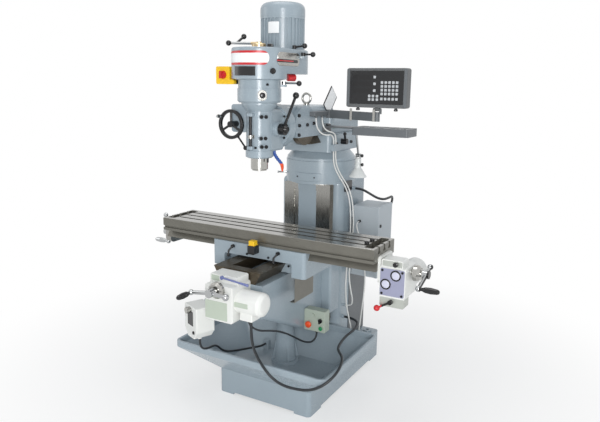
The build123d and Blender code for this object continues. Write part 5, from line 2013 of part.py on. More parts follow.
# Coolant hose: ball-jointed segments and a nozzle below the rear block
HOSE_TOP = (HOSE_X, HOSE_Y, REAR_BLOCK_LOW_Z)
with BuildPart() as coolant_hose:
    joints = [shifted(HOSE_TOP, offset) for offset in HOSE_JOINTS]
    nozzle = shifted(HOSE_TOP, HOSE_NOZZLE)
    rod(HOSE_TOP, joints[0], HOSE_FITTING_RADIUS)
    for joint in joints:
        ball(joint, HOSE_JOINT_RADIUS)
    for joint, after in zip(joints, joints[1:]):
        rod(joint, after, HOSE_LINK_RADIUS)
    rod(joints[-1], nozzle, HOSE_JOINT_RADIUS, HOSE_NOZZLE_RADIUS)
    rod(nozzle, shifted(HOSE_TOP, HOSE_TIP), HOSE_NOZZLE_RADIUS, HOSE_TIP_RADIUS)
coolant_hose.part.label = "coolant_hose"
export_step(coolant_hose.part, "parts/coolant_hose.step")

# Quill: ground tube that slides in the housing
with BuildPart() as quill:
    inner = SPINDLE_BODY_RADIUS + SHAFT_GAP
    turned(((inner, QUILL_LOW_Z), (QUILL_RADIUS - QUILL_CHAMFER, QUILL_LOW_Z),
            (QUILL_RADIUS, QUILL_LOW_Z + QUILL_CHAMFER), (QUILL_RADIUS, QUILL_TOP_Z), (inner, QUILL_TOP_Z)),
           (0, SPINDLE_Y, 0), (0, 0, 1))
quill.part.label = "quill"
export_step(quill.part, "parts/quill.step")

# Spindle: nose with a collet taper, body in the quill and tail with the drawbar hole
with BuildPart() as spindle:
    nose_top = QUILL_LOW_Z - SLIDE_GAP
    bore_top = SPINDLE_NOSE_Z + COLLET_DEPTH
    turned(((COLLET_MOUTH_RADIUS, SPINDLE_NOSE_Z), (SPINDLE_NOSE_RADIUS, SPINDLE_NOSE_Z),
            (SPINDLE_NOSE_RADIUS, nose_top), (SPINDLE_BODY_RADIUS, nose_top),
            (SPINDLE_BODY_RADIUS, QUILL_TOP_Z - SPINDLE_TAIL_CHAMFER), (SPINDLE_TAIL_RADIUS, QUILL_TOP_Z),
            (SPINDLE_TAIL_RADIUS, SPINDLE_TOP_Z), (DRAWBAR_RADIUS, SPINDLE_TOP_Z),
            (DRAWBAR_RADIUS, bore_top + DRAWBAR_CONE), (COLLET_RADIUS, bore_top),
            (COLLET_RADIUS, SPINDLE_NOSE_Z + COLLET_TAPER)), (0, SPINDLE_Y, 0), (0, 0, 1))
spindle.part.label = "spindle"
export_step(spindle.part, "parts/spindle.step")

# Quill lever: shaft in the pinion boss, hub and a long bar with a ball
with BuildPart() as quill_lever:
    hub = shifted(pinion, (SLIDE_GAP, 0, 0))
    cap = shifted(hub, (QUILL_LEVER_HUB_LENGTH, 0, 0))
    rod(shifted(pinion, (-PINION_SHAFT_LENGTH, 0, 0)), hub, PINION_SHAFT_RADIUS)
    rod(hub, cap, QUILL_LEVER_HUB_RADIUS)
    rod(cap, shifted(cap, (QUILL_LEVER_CAP_LENGTH, 0, 0)), QUILL_LEVER_CAP_RADIUS, QUILL_LEVER_CAP_END)
    knobbed_bar(shifted(hub, (QUILL_LEVER_BAR_AT, 0, 0)), shifted(pinion, QUILL_LEVER_TIP),
                QUILL_LEVER_BAR_RADIUS,
                QUILL_LEVER_BALL_RADIUS)
quill_lever.part.label = "quill_lever"
export_step(quill_lever.part, "parts/quill_lever.step")


def rim_point(angle):
    """Point on the middle of the fine-feed wheel's rim."""
    turn = math.radians(angle)
    return (WHEEL_X + WHEEL_RADIUS * math.cos(turn), WHEEL_Y, WHEEL_Z + WHEEL_RADIUS * math.sin(turn))


# Fine-feed wheel: rim, three spokes, hub with a shaft and a small grip
with BuildPart() as fine_feed_wheel:
    case_face = (WHEEL_X, FEED_CASE_FRONT_Y - SLIDE_GAP, WHEEL_Z)
    with BuildSketch(Plane(origin=(WHEEL_X, WHEEL_Y, WHEEL_Z), x_dir=(1, 0, 0),
                           z_dir=(0, 0, 1))) as rim_section:
        with Locations((WHEEL_RADIUS, 0)):
            RectangleRounded(2 * WHEEL_RIM, 2 * WHEEL_RIM, WHEEL_RIM_CORNER)
    revolve(rim_section.sketch, axis=Axis((WHEEL_X, WHEEL_Y, WHEEL_Z), (0, -1, 0)))
    rod(case_face, (WHEEL_X, WHEEL_Y - WHEEL_HUB_FRONT, WHEEL_Z), WHEEL_HUB_RADIUS)
    for angle in WHEEL_SPOKE_ANGLES:
        rod((WHEEL_X, WHEEL_Y, WHEEL_Z), rim_point(angle), WHEEL_SPOKE)
    rod((WHEEL_X, FEED_CASE_FRONT_Y + WHEEL_SHAFT_LENGTH, WHEEL_Z), case_face, WHEEL_SHAFT_RADIUS)
    turned(WHEEL_GRIP_OUTLINE, rim_point(WHEEL_GRIP_ANGLE), (0, -1, 0))
fine_feed_wheel.part.label = "fine_feed_wheel"
export_step(fine_feed_wheel.part, "parts/fine_feed_wheel.step")

# Speed crank: dial on the belt housing's top and a bent arm with two balls
with BuildPart() as speed_crank:
    foot = (SPEED_X, SPEED_Y, BELT_TOP_Z + SLIDE_GAP)
    turned(((0, 0), (SPEED_DIAL_RADIUS, 0), (SPEED_DIAL_RADIUS, SPEED_DIAL_RIM),
            (SPEED_DIAL_RADIUS - SPEED_DIAL_BEVEL, SPEED_DIAL_HEIGHT), (0, SPEED_DIAL_HEIGHT)), foot,
            (0, 0, 1))
    rod(shifted(foot, (0, 0, SPEED_DIAL_HEIGHT - LAP)), shifted(foot, (0, 0, SPEED_HUB_TOP)),
        SPEED_HUB_RADIUS)
    knobbed_bar(shifted(foot, (0, 0, SPEED_DIAL_HEIGHT)), shifted(foot, SPEED_TIP), SPEED_BAR_RADIUS,
                SPEED_BALL_RADIUS, SPEED_BAR_END_RADIUS)
    knobbed_bar(shifted(foot, SPEED_SIDE_START), shifted(foot, SPEED_SIDE_TIP), SPEED_BAR_END_RADIUS,
                SPEED_BALL_RADIUS)
    rod((SPEED_X, SPEED_Y, BELT_TOP_Z), (SPEED_X, SPEED_Y, BELT_TOP_Z + SPEED_PIN_HEIGHT + NEAR_GAP / 2),
        SPEED_PIN_RADIUS + SHAFT_GAP, mode=Mode.SUBTRACT)
speed_crank.part.label = "speed_crank"
export_step(speed_crank.part, "parts/speed_crank.step")


def flat_lever(pivot, tip, hub_radius, hub_height, knob_radius):
    """Add a lever whose hub turns on an upright pin."""
    foot = shifted(pivot, (0, 0, SLIDE_GAP))
    rod(foot, shifted(foot, (0, 0, hub_height)), hub_radius)
    knobbed_bar(shifted(foot, (0, 0, hub_height / 2)), shifted(pivot, tip), LEVER_BAR_RADIUS, knob_radius)
    rod(foot, shifted(foot, (0, 0, hub_height - HUB_ROOF)), LEVER_PIN_RADIUS + SHAFT_GAP, mode=Mode.SUBTRACT)


with BuildPart() as brake_lever:
    flat_lever((BRAKE_X, BRAKE_Y, BRAKE_Z), BRAKE_TIP, HEAD_LEVER_HUB_RADIUS, HEAD_LEVER_HUB_HEIGHT,
               HEAD_LEVER_BALL_RADIUS)
brake_lever.part.label = "brake_lever"
export_step(brake_lever.part, "parts/brake_lever.step")

with BuildPart() as range_lever:
    flat_lever((RANGE_X, RANGE_Y, RANGE_Z), RANGE_TIP, HEAD_LEVER_HUB_RADIUS, RANGE_HUB_HEIGHT,
               HEAD_LEVER_BALL_RADIUS)
range_lever.part.label = "range_lever"
export_step(range_lever.part, "parts/range_lever.step")

with BuildPart() as motor_lock_lever:
    flat_lever((MOTOR_LOCK_X, MOTOR_LOCK_Y, BELT_TOP_Z), MOTOR_LOCK_TIP, MOTOR_LOCK_HUB_RADIUS,
               HEAD_LEVER_HUB_HEIGHT,
               MOTOR_LOCK_BALL_RADIUS)
motor_lock_lever.part.label = "motor_lock_lever"
export_step(motor_lock_lever.part, "parts/motor_lock_lever.step")

# Feed trip lever on the front of the housing
with BuildPart() as feed_trip_lever:
    hub = (TRIP_X, TRIP_FACE_Y - SLIDE_GAP, TRIP_Z)
    arm = shifted(hub, (0, -TRIP_HUB_LENGTH / 2, 0))
    rod(hub, shifted(hub, (0, -TRIP_HUB_LENGTH, 0)), TRIP_RADIUS)
    knobbed_bar(arm, shifted(arm, (TRIP_TIP[0], 0, TRIP_TIP[1])), LEVER_BAR_RADIUS, TRIP_BALL_RADIUS)
feed_trip_lever.part.label = "feed_trip_lever"
export_step(feed_trip_lever.part, "parts/feed_trip_lever.step")


def gland_point(gland):
    """Outer end of a gland on the column's right side."""
    return (GLAND_END_X, gland[0], FOOT_HEIGHT + gland[1])


# Conduits on the knee: cross feed to the column, knee feed to the pan floor, cross feed to the station
CROSS_START = (CROSS_TERMINAL_X + CROSS_CONDUIT_AT[0], CROSS_MOTOR_Y + CROSS_CONDUIT_AT[1], CROSS_TERMINAL_Z)
STATION_START = (CROSS_TERMINAL_X + STATION_CONDUIT_AT[0], CROSS_MOTOR_Y + STATION_CONDUIT_AT[1],
                 CROSS_TERMINAL_Z)
INLET_HOLE = (INLET_X, INLET_FRONT_Y, PAN_FLOOR_Z + INLET_HOLE_RISE)
with BuildPart() as knee_conduits:
    cord("cross feed conduit", route(CROSS_START, gland_point(CROSS_GLAND), CROSS_SHAPE), CONDUIT)
    cord("knee feed conduit", route(FEED_GLAND_END, INLET_HOLE, KNEE_SHAPE), FEED_CONDUIT)
    cord("station conduit", route(STATION_START, STATION_GLAND_END, STATION_SHAPE), STATION_CONDUIT)
knee_conduits.part.label = "knee_conduits"
export_step(knee_conduits.part, "parts/knee_conduits.step")

# Cables at the cabinet: signal cable down to the column, supply conduit over the top to the rear wall
SUPPLY_START = gland_point((SUPPLY_GLAND_Y, COLUMN_HEIGHT - SUPPLY_GLAND_DROP))
with BuildPart() as cabinet_cables:
    cord("signal cable", route(SIDE_GLAND_END, gland_point(SIGNAL_GLAND), SIGNAL_SHAPE), CABLE)
    cord("supply conduit", route(SUPPLY_START, REAR_GLAND_END, SUPPLY_SHAPE), CONDUIT)
cabinet_cables.part.label = "cabinet_cables"
export_step(cabinet_cables.part, "parts/cabinet_cables.step")

# Cables from the turret clamp down the column's right side
CLAMP_X = TURRET_WIDTH / 2 + CLAMP_CABLE_OUT
CLAMP_YS = [TURRET_FRONT_Y + inset for inset in CLAMP_CABLES]
with BuildPart() as column_cables:
    cord("column cable front", route((CLAMP_X, CLAMP_YS[0], CLAMP_LOW_Z), gland_point(COLUMN_FRONT_GLAND),
                                     FRONT_SHAPE), CABLE)
    cord("column cable rear", route((CLAMP_X, CLAMP_YS[1], CLAMP_LOW_Z), gland_point(COLUMN_REAR_GLAND),
                                    REAR_SHAPE), CABLE)
column_cables.part.label = "column_cables"
export_step(column_cables.part, "parts/column_cables.step")

# Cables from the junction box on the ram to the turret clamp
with BuildPart() as ram_cables:
    cord("ram cable long", route(RAM_CABLE_STARTS[0], (CLAMP_X, CLAMP_YS[0], CLAMP_TOP_Z), LONG_SHAPE),
         CABLE)
    cord("ram cable short", route(RAM_CABLE_STARTS[1], (CLAMP_X, CLAMP_YS[1], CLAMP_TOP_Z), SHORT_SHAPE),
         CABLE)
ram_cables.part.label = "ram_cables"
export_step(ram_cables.part, "parts/ram_cables.step")
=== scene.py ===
"""Turret milling machine: finishes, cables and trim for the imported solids, laid out as an add-on."""
import json
import math
from collections import namedtuple

import bmesh
import bpy
from mathutils import Matrix, Vector


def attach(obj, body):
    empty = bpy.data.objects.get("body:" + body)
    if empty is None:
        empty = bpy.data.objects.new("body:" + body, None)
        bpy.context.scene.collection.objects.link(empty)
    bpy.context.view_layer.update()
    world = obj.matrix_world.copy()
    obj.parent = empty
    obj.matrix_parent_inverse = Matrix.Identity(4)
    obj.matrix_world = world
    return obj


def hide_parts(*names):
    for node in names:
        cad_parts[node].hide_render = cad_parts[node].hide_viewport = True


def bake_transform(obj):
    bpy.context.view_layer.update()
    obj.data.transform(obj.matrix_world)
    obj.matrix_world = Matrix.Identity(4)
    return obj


bl_info = {
    "name": "Turret milling machine",
    "version": (1, 0, 0),
    "blender": (4, 5, 0),
    "location": "3D View > Sidebar > Milling machine",
    "description": "Finishes, cables and trim of a turret milling machine",
    "category": "Object",
}

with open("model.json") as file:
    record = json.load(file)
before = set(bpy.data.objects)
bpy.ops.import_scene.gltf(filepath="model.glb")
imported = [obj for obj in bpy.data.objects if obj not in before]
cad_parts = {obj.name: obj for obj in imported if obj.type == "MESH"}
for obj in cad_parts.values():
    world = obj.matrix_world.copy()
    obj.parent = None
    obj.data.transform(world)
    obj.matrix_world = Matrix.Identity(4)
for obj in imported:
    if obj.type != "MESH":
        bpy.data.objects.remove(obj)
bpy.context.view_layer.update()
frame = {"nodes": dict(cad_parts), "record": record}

MM = 0.001

# Directions, and the scale of a grain along each axis, small where it is drawn out
RIGHT, BACK, UP, FRONT, DOWN = (1, 0, 0), (0, 1, 0), (0, 0, 1), (0, -1, 0), (0, 0, -1)
EVEN, ALONG_X, ALONG_Z = (1, 1, 1), (0.04, 1, 1), (1, 1, 0.04)


# Colours and materials

def linear(code):
    """An sRGB hex colour as linear RGBA."""
    parts = [int(code[at:at + 2], 16) / 255 for at in (1, 3, 5)]
    return tuple(p / 12.92 if p <= 0.04045 else ((p + 0.055) / 1.055) ** 2.4 for p in parts) + (1.0,)


def tint(label, description, code):
    """A colour a user may change."""
    return bpy.props.FloatVectorProperty(name=label, description=description, subtype="COLOR", size=4,
                                         min=0.0, max=1.0, default=linear(code))


def length(label, description, millimetres):
    """A size a user may change."""
    return bpy.props.FloatProperty(name=label, description=description, unit="LENGTH", min=0.0,
                                   default=millimetres * MM)


class MillTints(bpy.types.PropertyGroup):
    """Colours of the machine's finishes."""
    enamel: tint("Machine enamel", "Paint of the castings", "#97A4AC")
    iron: tint("Ground cast iron", "Table and ways", "#A5A4A0")
    edge: tint("Oiled table edge", "Edges of the table, scale guard", "#75736B")
    alloy: tint("Bare alloy", "Bare castings of the table feed", "#B9BDB6")
    steel: tint("Ground steel", "Quill, screws and shafts", "#B3B2AE")
    chrome: tint("Bright chrome", "Cranks, lamp arm and pins", "#B4B6B7")
    oil: tint("Oiled iron", "Slides under the saddle and the ram", "#5A5143")
    black: tint("Black oxide", "Levers and screws", "#1B1B1D")
    phenolic: tint("Black phenolic", "Handwheel, grips and knobs", "#121214")
    cream: tint("Feed enamel", "Power feed housings", "#DEDFDB")
    green_plate: tint("Pale green plate", "Cover plates of the cross feed", "#B4BEAF")
    lilac: tint("Lilac plate", "Front plate of the table feed", "#9A9CB4")
    cabinet: tint("Cabinet coating", "Electrical boxes", "#AEB6BB")
    # The tray tint also darkens the column's side cover, as painted shade
    tray: tint("Tray coating", "Tray, readout arm and column cover", "#63676A")
    case: tint("Readout case", "Case of the digital readout", "#5F6162")
    panel: tint("Readout panel", "Keyboard of the readout, dark plates", "#191A1C")
    cap: tint("Feed caps", "Round caps of the table feed", "#C6C7D8")
    station: tint("Station coating", "Push-button station", "#A9B3A6")
    key: tint("Readout keys", "Keys of the digital readout", "#B9BCBE")
    lamp: tint("Lamp shade", "Shade of the work lamp", "#D9DCDA")
    white: tint("White plate", "Bare plates, notice sheet and bulb", "#EEF0F0")
    red: tint("Red", "Switch knob, hub, plate bands and ball", "#C8252B")
    orange: tint("Orange red", "Mushroom button and hose nozzle", "#E8501E")
    green: tint("Green", "Start button", "#1E8A54")
    yellow: tint("Yellow", "Main switch and limit switch cap", "#F0C21A")
    blue: tint("Lever blue", "Cross feed lever", "#6C75A6")
    hose: tint("Hose blue", "Coolant hose", "#2E55A5")
    rubber: tint("Black conduit", "Conduits and supply cable", "#23272B")
    pvc: tint("White cable", "Signal cable and scale cables", "#DADBD8")
    gold: tint("Dial brass", "Speed dial", "#CDB893")


class MillSizes(bpy.types.PropertyGroup):
    """Sizes of the cables and the trim."""
    conduit: length("Feed conduit", "Diameter of the cross feed and supply conduits", 14)
    knee_conduit: length("Knee conduit", "Diameter of the knee feed conduit", 12)
    station_cable: length("Station cable", "Diameter of the button station's cable", 10)
    scale_cable: length("Scale cable", "Diameter of the readout's cables", 8)
    plate: length("Plate thickness", "Thickness of the bare plates", 1.6)
    screw: length("Screw head", "Radius of the larger socket screws", 9)
    small_screw: length("Small screw head", "Radius of the smaller socket screws", 6)
    key: length("Key width", "Width of a readout key", 13)


Finish = namedtuple("Finish", "tone shade patch rough metal grain depth stretch", defaults=(EVEN,))

# The finishes by name: tint, share of it in the darker patches, patch width in mm, roughness range, metal or
# not, grain width in mm, grain depth in mm and, where it isn't even, the grain's stretch
FINISHES = {
    # Alkyd enamel sprayed over filled castings: half gloss with soft waves and faint orange peel
    "machine_enamel": ("enamel", 0.9, 140, (0.18, 0.3), 0, 5, 0.035),
    # Cast iron surface-ground along the table: grey, streaked in the grinding direction
    "ground_cast_iron": ("iron", 0.75, 60, (0.13, 0.28), 1, 2.5, 0.012, ALONG_X),
    # Planed table edges under rust-proofing oil: warm grey, duller than the top
    "oiled_edge": ("edge", 0.74, 70, (0.26, 0.44), 0.5, 2.5, 0.012, ALONG_X),
    # Cast aluminium left bare: pale, satin, fine sand texture
    "bare_alloy": ("alloy", 0.86, 25, (0.32, 0.46), 0.6, 1.8, 0.02),
    # Scraped and ground ways, worn bright along the travel
    "scraped_way": ("iron", 0.78, 40, (0.16, 0.34), 1, 2.5, 0.012, ALONG_Z),
    # Turned and ground steel: bright, fine rings
    "ground_steel": ("steel", 0.85, 25, (0.16, 0.3), 1, 2, 0.01, ALONG_X),
    # Hard chrome on steel: mirror bright
    "bright_chrome": ("chrome", 0.92, 30, (0.08, 0.16), 1, 3, 0.004),
    # Iron slides under way oil: dark brown, wet sheen
    "oiled_iron": ("oil", 0.7, 45, (0.22, 0.45), 0.6, 3, 0.015, ALONG_X),
    # Steel blackened in hot oxide: satin black
    "black_oxide": ("black", 0.75, 15, (0.3, 0.46), 0.3, 2, 0.01),
    # Moulded phenolic: polished black
    "black_phenolic": ("phenolic", 0.8, 20, (0.14, 0.24), 0, 4, 0.008),
    # Cream enamel on aluminium castings of the feeds
    "feed_enamel": ("cream", 0.95, 70, (0.28, 0.42), 0, 4, 0.025),
    # Rolled aluminium covers with pale green paint
    "green_cover": ("green_plate", 0.93, 40, (0.34, 0.46), 0, 2, 0.012),
    # Anodised aluminium plate: lilac with a satin sheen
    "lilac_anodised": ("lilac", 0.92, 35, (0.3, 0.42), 0.35, 1.6, 0.008),
    # Powder coat on sheet steel: fine peel
    "powder_coat": ("cabinet", 0.94, 90, (0.42, 0.56), 0, 2.2, 0.03),
    # The same coat in a greener grey
    "station_coat": ("station", 0.93, 50, (0.4, 0.54), 0, 2.2, 0.03),
    # Moulded caps, pale and half matt
    "cap_plastic": ("cap", 0.92, 15, (0.3, 0.42), 0, 1.8, 0.01),
    # Hammered grey coat on sheet steel
    "tray_coat": ("tray", 0.85, 30, (0.36, 0.52), 0, 6, 0.06),
    # Cast aluminium readout case with textured paint
    "readout_case": ("case", 0.9, 40, (0.4, 0.54), 0, 1.8, 0.03),
    # Polyester film keyboard: glossy black
    "keyboard_film": ("panel", 0.75, 50, (0.16, 0.26), 0, 3, 0.006),
    # Moulded keys, slightly domed, pale grey
    "key_plastic": ("key", 0.88, 9, (0.34, 0.46), 0, 1.5, 0.008),
    # Stove enamel on spun aluminium
    "lamp_enamel": ("lamp", 0.94, 35, (0.22, 0.34), 0, 3, 0.015),
    # Aluminium foil plates, white and bare
    "white_foil": ("white", 0.95, 30, (0.26, 0.38), 0, 2, 0.006),
    # Moulded ABS in signal colours
    "red_abs": ("red", 0.85, 12, (0.26, 0.38), 0, 1.8, 0.01),
    "orange_abs": ("orange", 0.87, 12, (0.26, 0.38), 0, 1.8, 0.01),
    "green_abs": ("green", 0.85, 12, (0.26, 0.38), 0, 1.8, 0.01),
    "yellow_abs": ("yellow", 0.9, 15, (0.28, 0.4), 0, 1.8, 0.01),
    # Painted lever, rubbed at the grip
    "lever_paint": ("blue", 0.82, 14, (0.24, 0.38), 0, 2, 0.01),
    # Moulded acetal hose links
    "hose_acetal": ("hose", 0.8, 10, (0.24, 0.36), 0, 1.6, 0.01),
    # Extruded PVC conduit, dusty black
    "conduit_pvc": ("rubber", 0.72, 18, (0.38, 0.55), 0, 2, 0.03),
    # Extruded white PVC, a little dulled by handling
    "cable_pvc": ("pvc", 0.9, 22, (0.34, 0.48), 0, 2, 0.015),
    # Turned brass dial with a lacquer
    "dial_brass": ("gold", 0.85, 16, (0.2, 0.32), 0.7, 1.6, 0.008),
}


# Noise of the patches and of the grain, and the span of the grain that the roughness follows
PATCH_DETAIL, PATCH_ROUGHNESS, GRAIN_DETAIL = 4, 0.6, 3
GRAIN_LOW, GRAIN_HIGH = 0.3, 0.7


def known_finish(name):
    """A finish in the colour that is set now."""
    tone, *rest = FINISHES[name]
    return Finish(getattr(bpy.context.scene.mill_tints, tone), *rest)


def add_node(tree, kind, inputs=None, **settings):
    """Add a shader node with its settings, values and links."""
    made = tree.nodes.new("ShaderNode" + kind)
    for key, value in settings.items():
        setattr(made, key, value)
    for key, value in (inputs or {}).items():
        if isinstance(value, bpy.types.NodeSocket):
            tree.links.new(value, made.inputs[key])
        else:
            made.inputs[key].default_value = value
    return made


def empty_tree(holder):
    """The node tree of a material or a world, with nothing in it."""
    holder.use_nodes = True
    holder.node_tree.nodes.clear()
    return holder.node_tree


def reckon(tree, operation, *values):
    """The result of one step of arithmetic."""
    return add_node(tree, "Math", dict(enumerate(values)), operation=operation).outputs[0]


def mix(tree, share, first, second, kind="FLOAT"):
    """A mix of two numbers or, of the kind RGBA, of two colours."""
    start, end, result = (6, 7, 2) if kind == "RGBA" else (2, 3, 0)
    made = add_node(tree, "Mix", {0: share, start: first, end: second}, data_type=kind)
    return made.outputs[result]


def surface(tree, place, finish):
    """The colour, roughness and height of one finish, all from Object coordinates."""
    shade = tuple(part * finish.shade for part in finish.tone[:3]) + (1.0,)
    patches = add_node(tree, "TexNoise", {
        "Vector": place, "Scale": 1 / (finish.patch * MM), "Detail": PATCH_DETAIL,
        "Roughness": PATCH_ROUGHNESS})
    stretched = add_node(tree, "Mapping", {"Vector": place, "Scale": finish.stretch})
    grain = add_node(tree, "TexNoise", {
        "Vector": stretched.outputs[0], "Scale": 1 / (finish.grain * MM), "Detail": GRAIN_DETAIL})
    colour = mix(tree, patches.outputs["Fac"], tuple(finish.tone), shade, "RGBA")
    rough = add_node(tree, "MapRange", {
        "Value": grain.outputs["Fac"], "From Min": GRAIN_LOW, "From Max": GRAIN_HIGH,
        "To Min": finish.rough[0], "To Max": finish.rough[1]})
    return colour, rough.outputs[0], grain.outputs["Fac"]


def inside_zone(tree, axes, zone):
    """A mask that is one inside a box given by a (low, high) pair in metres for each axis, or None."""
    mask = None
    for axis, span in zip(axes, zone):
        if span is None:
            continue
        inside = reckon(tree, "COMPARE", axis, (span[0] + span[1]) / 2, (span[1] - span[0]) / 2)
        mask = inside if mask is None else reckon(tree, "MULTIPLY", mask, inside)
    return mask


def finish_material(name, zones=()):
    """The material of a finish, with other finishes inside the zones."""
    if not zones and name in bpy.data.materials:
        return bpy.data.materials[name]
    finish = known_finish(name)
    made = bpy.data.materials.new(f"{name}_zoned" if zones else name)
    tree = empty_tree(made)
    place = add_node(tree, "TexCoord").outputs["Object"]
    axes = add_node(tree, "SeparateXYZ", {0: place}).outputs
    colour, rough, height = surface(tree, place, finish)
    metal = finish.metal
    for zone, other_name in zones:
        other = known_finish(other_name)
        mask = inside_zone(tree, axes, zone)
        other_colour, other_rough, other_height = surface(tree, place, other)
        colour = mix(tree, mask, colour, other_colour, "RGBA")
        rough = mix(tree, mask, rough, other_rough)
        height = mix(tree, mask, height, other_height)
        if isinstance(metal, bpy.types.NodeSocket) or metal != other.metal:
            metal = mix(tree, mask, metal, other.metal)
    bump = add_node(tree, "Bump", {"Height": height, "Distance": finish.depth * MM, "Strength": 1.0})
    shader = add_node(tree, "BsdfPrincipled", {
        "Base Color": colour, "Roughness": rough, "Metallic": metal, "Normal": bump.outputs[0]})
    add_node(tree, "OutputMaterial", {"Surface": shader.outputs[0]})
    return made


# Which finish each solid has, and the zones of it, in m, that have another

SLOT_FINISHES = {
    "paint": "machine_enamel", "head_paint": "machine_enamel", "steel": "ground_steel",
    "ground_iron": "ground_cast_iron", "chrome": "bright_chrome", "black_steel": "black_oxide",
    "feed_cream": "feed_enamel", "box_grey": "powder_coat", "tray_paint": "tray_coat",
    "display_case": "readout_case", "lamp_shade": "lamp_enamel", "black_plastic": "black_phenolic",
    "red_plastic": "red_abs", "green_plastic": "green_abs", "yellow_plastic": "yellow_abs",
    "lever_blue": "lever_paint", "hose_blue": "hose_acetal", "black_rubber": "conduit_pvc",
    "cable_grey": "cable_pvc",
}

NODE_FINISHES = {
    "estop_button": "orange_abs", "dro_arm": "tray_coat", "junction_box": "tray_coat",
    "speed_crank": "dial_brass", "quill_lever": "black_phenolic", "left_end_bracket": "ground_cast_iron",
    "button_station": "station_coat",
}

NODE_ZONES = {
    "column_casting": [
        ((-0.1495, -0.058), (-0.06, 0.0465), (0.34, 1.16), "scraped_way"),
        ((0.058, 0.1495), (-0.06, 0.0465), (0.34, 1.16), "scraped_way")],
    "knee_casting": [(None, None, (0.7645, 0.85), "oiled_iron")],
    "ram_casting": [(None, None, (1.39, 1.4382), "oiled_iron")],
    "quill_housing": [
        ((-0.0135, 0.0135), (-0.6, -0.559), (1.4145, 1.5575), "black_oxide"),
        ((-0.0135, 0.0135), (-0.6, -0.555), (1.4515, 1.4685), "ground_steel")],
    "limit_switch": [(None, None, (0.86, 0.9135), "black_phenolic")],
    "x_feed_lever": [((0.6, 0.674), None, None, "red_abs")],
    "y_crank": [((-0.14, -0.088), (-1.01, -0.915), None, "black_phenolic")],
    "x_cranks": [((0.852, 0.96), None, None, "black_phenolic")],
    "coolant_hose": [(None, None, (1.26, 1.318), "orange_abs")],
    "switch_box": [(None, (-0.525, -0.45), None, "black_phenolic")],
    "fine_feed_wheel": [((-0.19, -0.138), (-0.64, -0.597), None, "bright_chrome")],
    "speed_crank": [
        ((-0.114, -0.02), None, (1.885, 1.9065), "bright_chrome"),
        ((-0.15, -0.114), None, None, "black_phenolic"),
        (None, None, (1.9065, 1.95), "black_phenolic")],
    "range_lever": [((0.1, 0.166), None, None, "bright_chrome")],
    "cabinet_door": [((0.3875, 0.4), None, None, "black_oxide")],
    "button_station": [(None, None, (0.38, 0.4035), "black_oxide")],
    "x_feed_unit": [(None, None, (0.695, 0.7445), "bare_alloy")],
    "table_top": [(None, None, (0.85, 0.9725), "oiled_edge")],
    "cabinet_case": [
        (None, (0.12, 0.1495), None, "black_oxide"),
        ((0.298, 0.326), (0.3505, 0.37), (0.912, 0.944), "black_oxide")],
}


# Looks: a material slot and a finish

BLACK_STEEL = ("black_steel", "black_oxide")
BLACK_PLASTIC = ("black_plastic", "black_phenolic")
BLACK_FILM = ("black_plastic", "keyboard_film")
WHITE_FOIL = ("box_grey", "white_foil")
PAINT = ("paint", "machine_enamel")
STEEL = ("steel", "ground_steel")
CHROME = ("chrome", "bright_chrome")
RED = ("red_plastic", "red_abs")
GREEN_COVER = ("feed_cream", "green_cover")
CONDUIT = ("black_rubber", "conduit_pvc")
CABLE = ("cable_grey", "cable_pvc")


# Modelling: sizes in mm, angles in degrees

# Edges that rise less than SAME_LEVEL, in m, lie flat; directions with more Z than UPRIGHT stand up
SAME_LEVEL, UPRIGHT = 1e-6, 0.9
CORNER_STEPS, SHARP_EDGE = 4, 40
# A screw head's outline, in shares of its radius and height
SCREW_SHARES = ((1, 0), (1, 0.8), (0.86, 1), (0.52, 1), (0.48, 0.4))


def fresh():
    """Leave edit mode and deselect everything."""
    if bpy.context.mode != "OBJECT":
        bpy.ops.object.mode_set(mode="OBJECT")
    bpy.ops.object.select_all(action="DESELECT")


def only(made):
    """Select one piece alone and make it active."""
    fresh()
    made.select_set(True)
    bpy.context.view_layer.objects.active = made


def settle(made):
    """Apply a piece's place, turn and size to its mesh."""
    only(made)
    bpy.ops.object.transform_apply(location=True, rotation=True, scale=True)


def pick(kind, test):
    """In edit mode, select the faces or edges that pass a test."""
    bpy.ops.object.mode_set(mode="EDIT")
    bpy.ops.mesh.select_mode(type="FACE" if kind == "faces" else "EDGE")
    bpy.ops.mesh.select_all(action="DESELECT")
    work = bmesh.from_edit_mesh(bpy.context.object.data)
    for part in getattr(work, kind):
        if test(part):
            part.select_set(True)
    bmesh.update_edit_mesh(bpy.context.object.data)


def smooth(made, degrees=SHARP_EDGE):
    """Shade a piece smooth except at its sharp edges."""
    only(made)
    bpy.ops.object.shade_smooth_by_angle(angle=math.radians(degrees))


def plate(name, width, height, thick, corner, ease):
    """A plate in the XY plane with its back at zero, round corners and an eased front edge."""
    fresh()
    bpy.ops.mesh.primitive_cube_add(size=1, location=(0, 0, (thick - ease) / 2 * MM))
    made = bpy.context.object
    made.name = name
    made.scale = (width * MM, height * MM, (thick - ease) * MM)
    settle(made)
    pick("edges", lambda edge: abs(edge.verts[0].co.z - edge.verts[1].co.z) > SAME_LEVEL)
    bpy.ops.mesh.bevel(offset=corner * MM, segments=CORNER_STEPS, affect="EDGES")
    pick("faces", lambda face: face.normal.z > UPRIGHT)
    bpy.ops.mesh.inset(thickness=ease * MM)
    bpy.ops.transform.translate(value=(0, 0, ease * MM))
    bpy.ops.object.mode_set(mode="OBJECT")
    return made


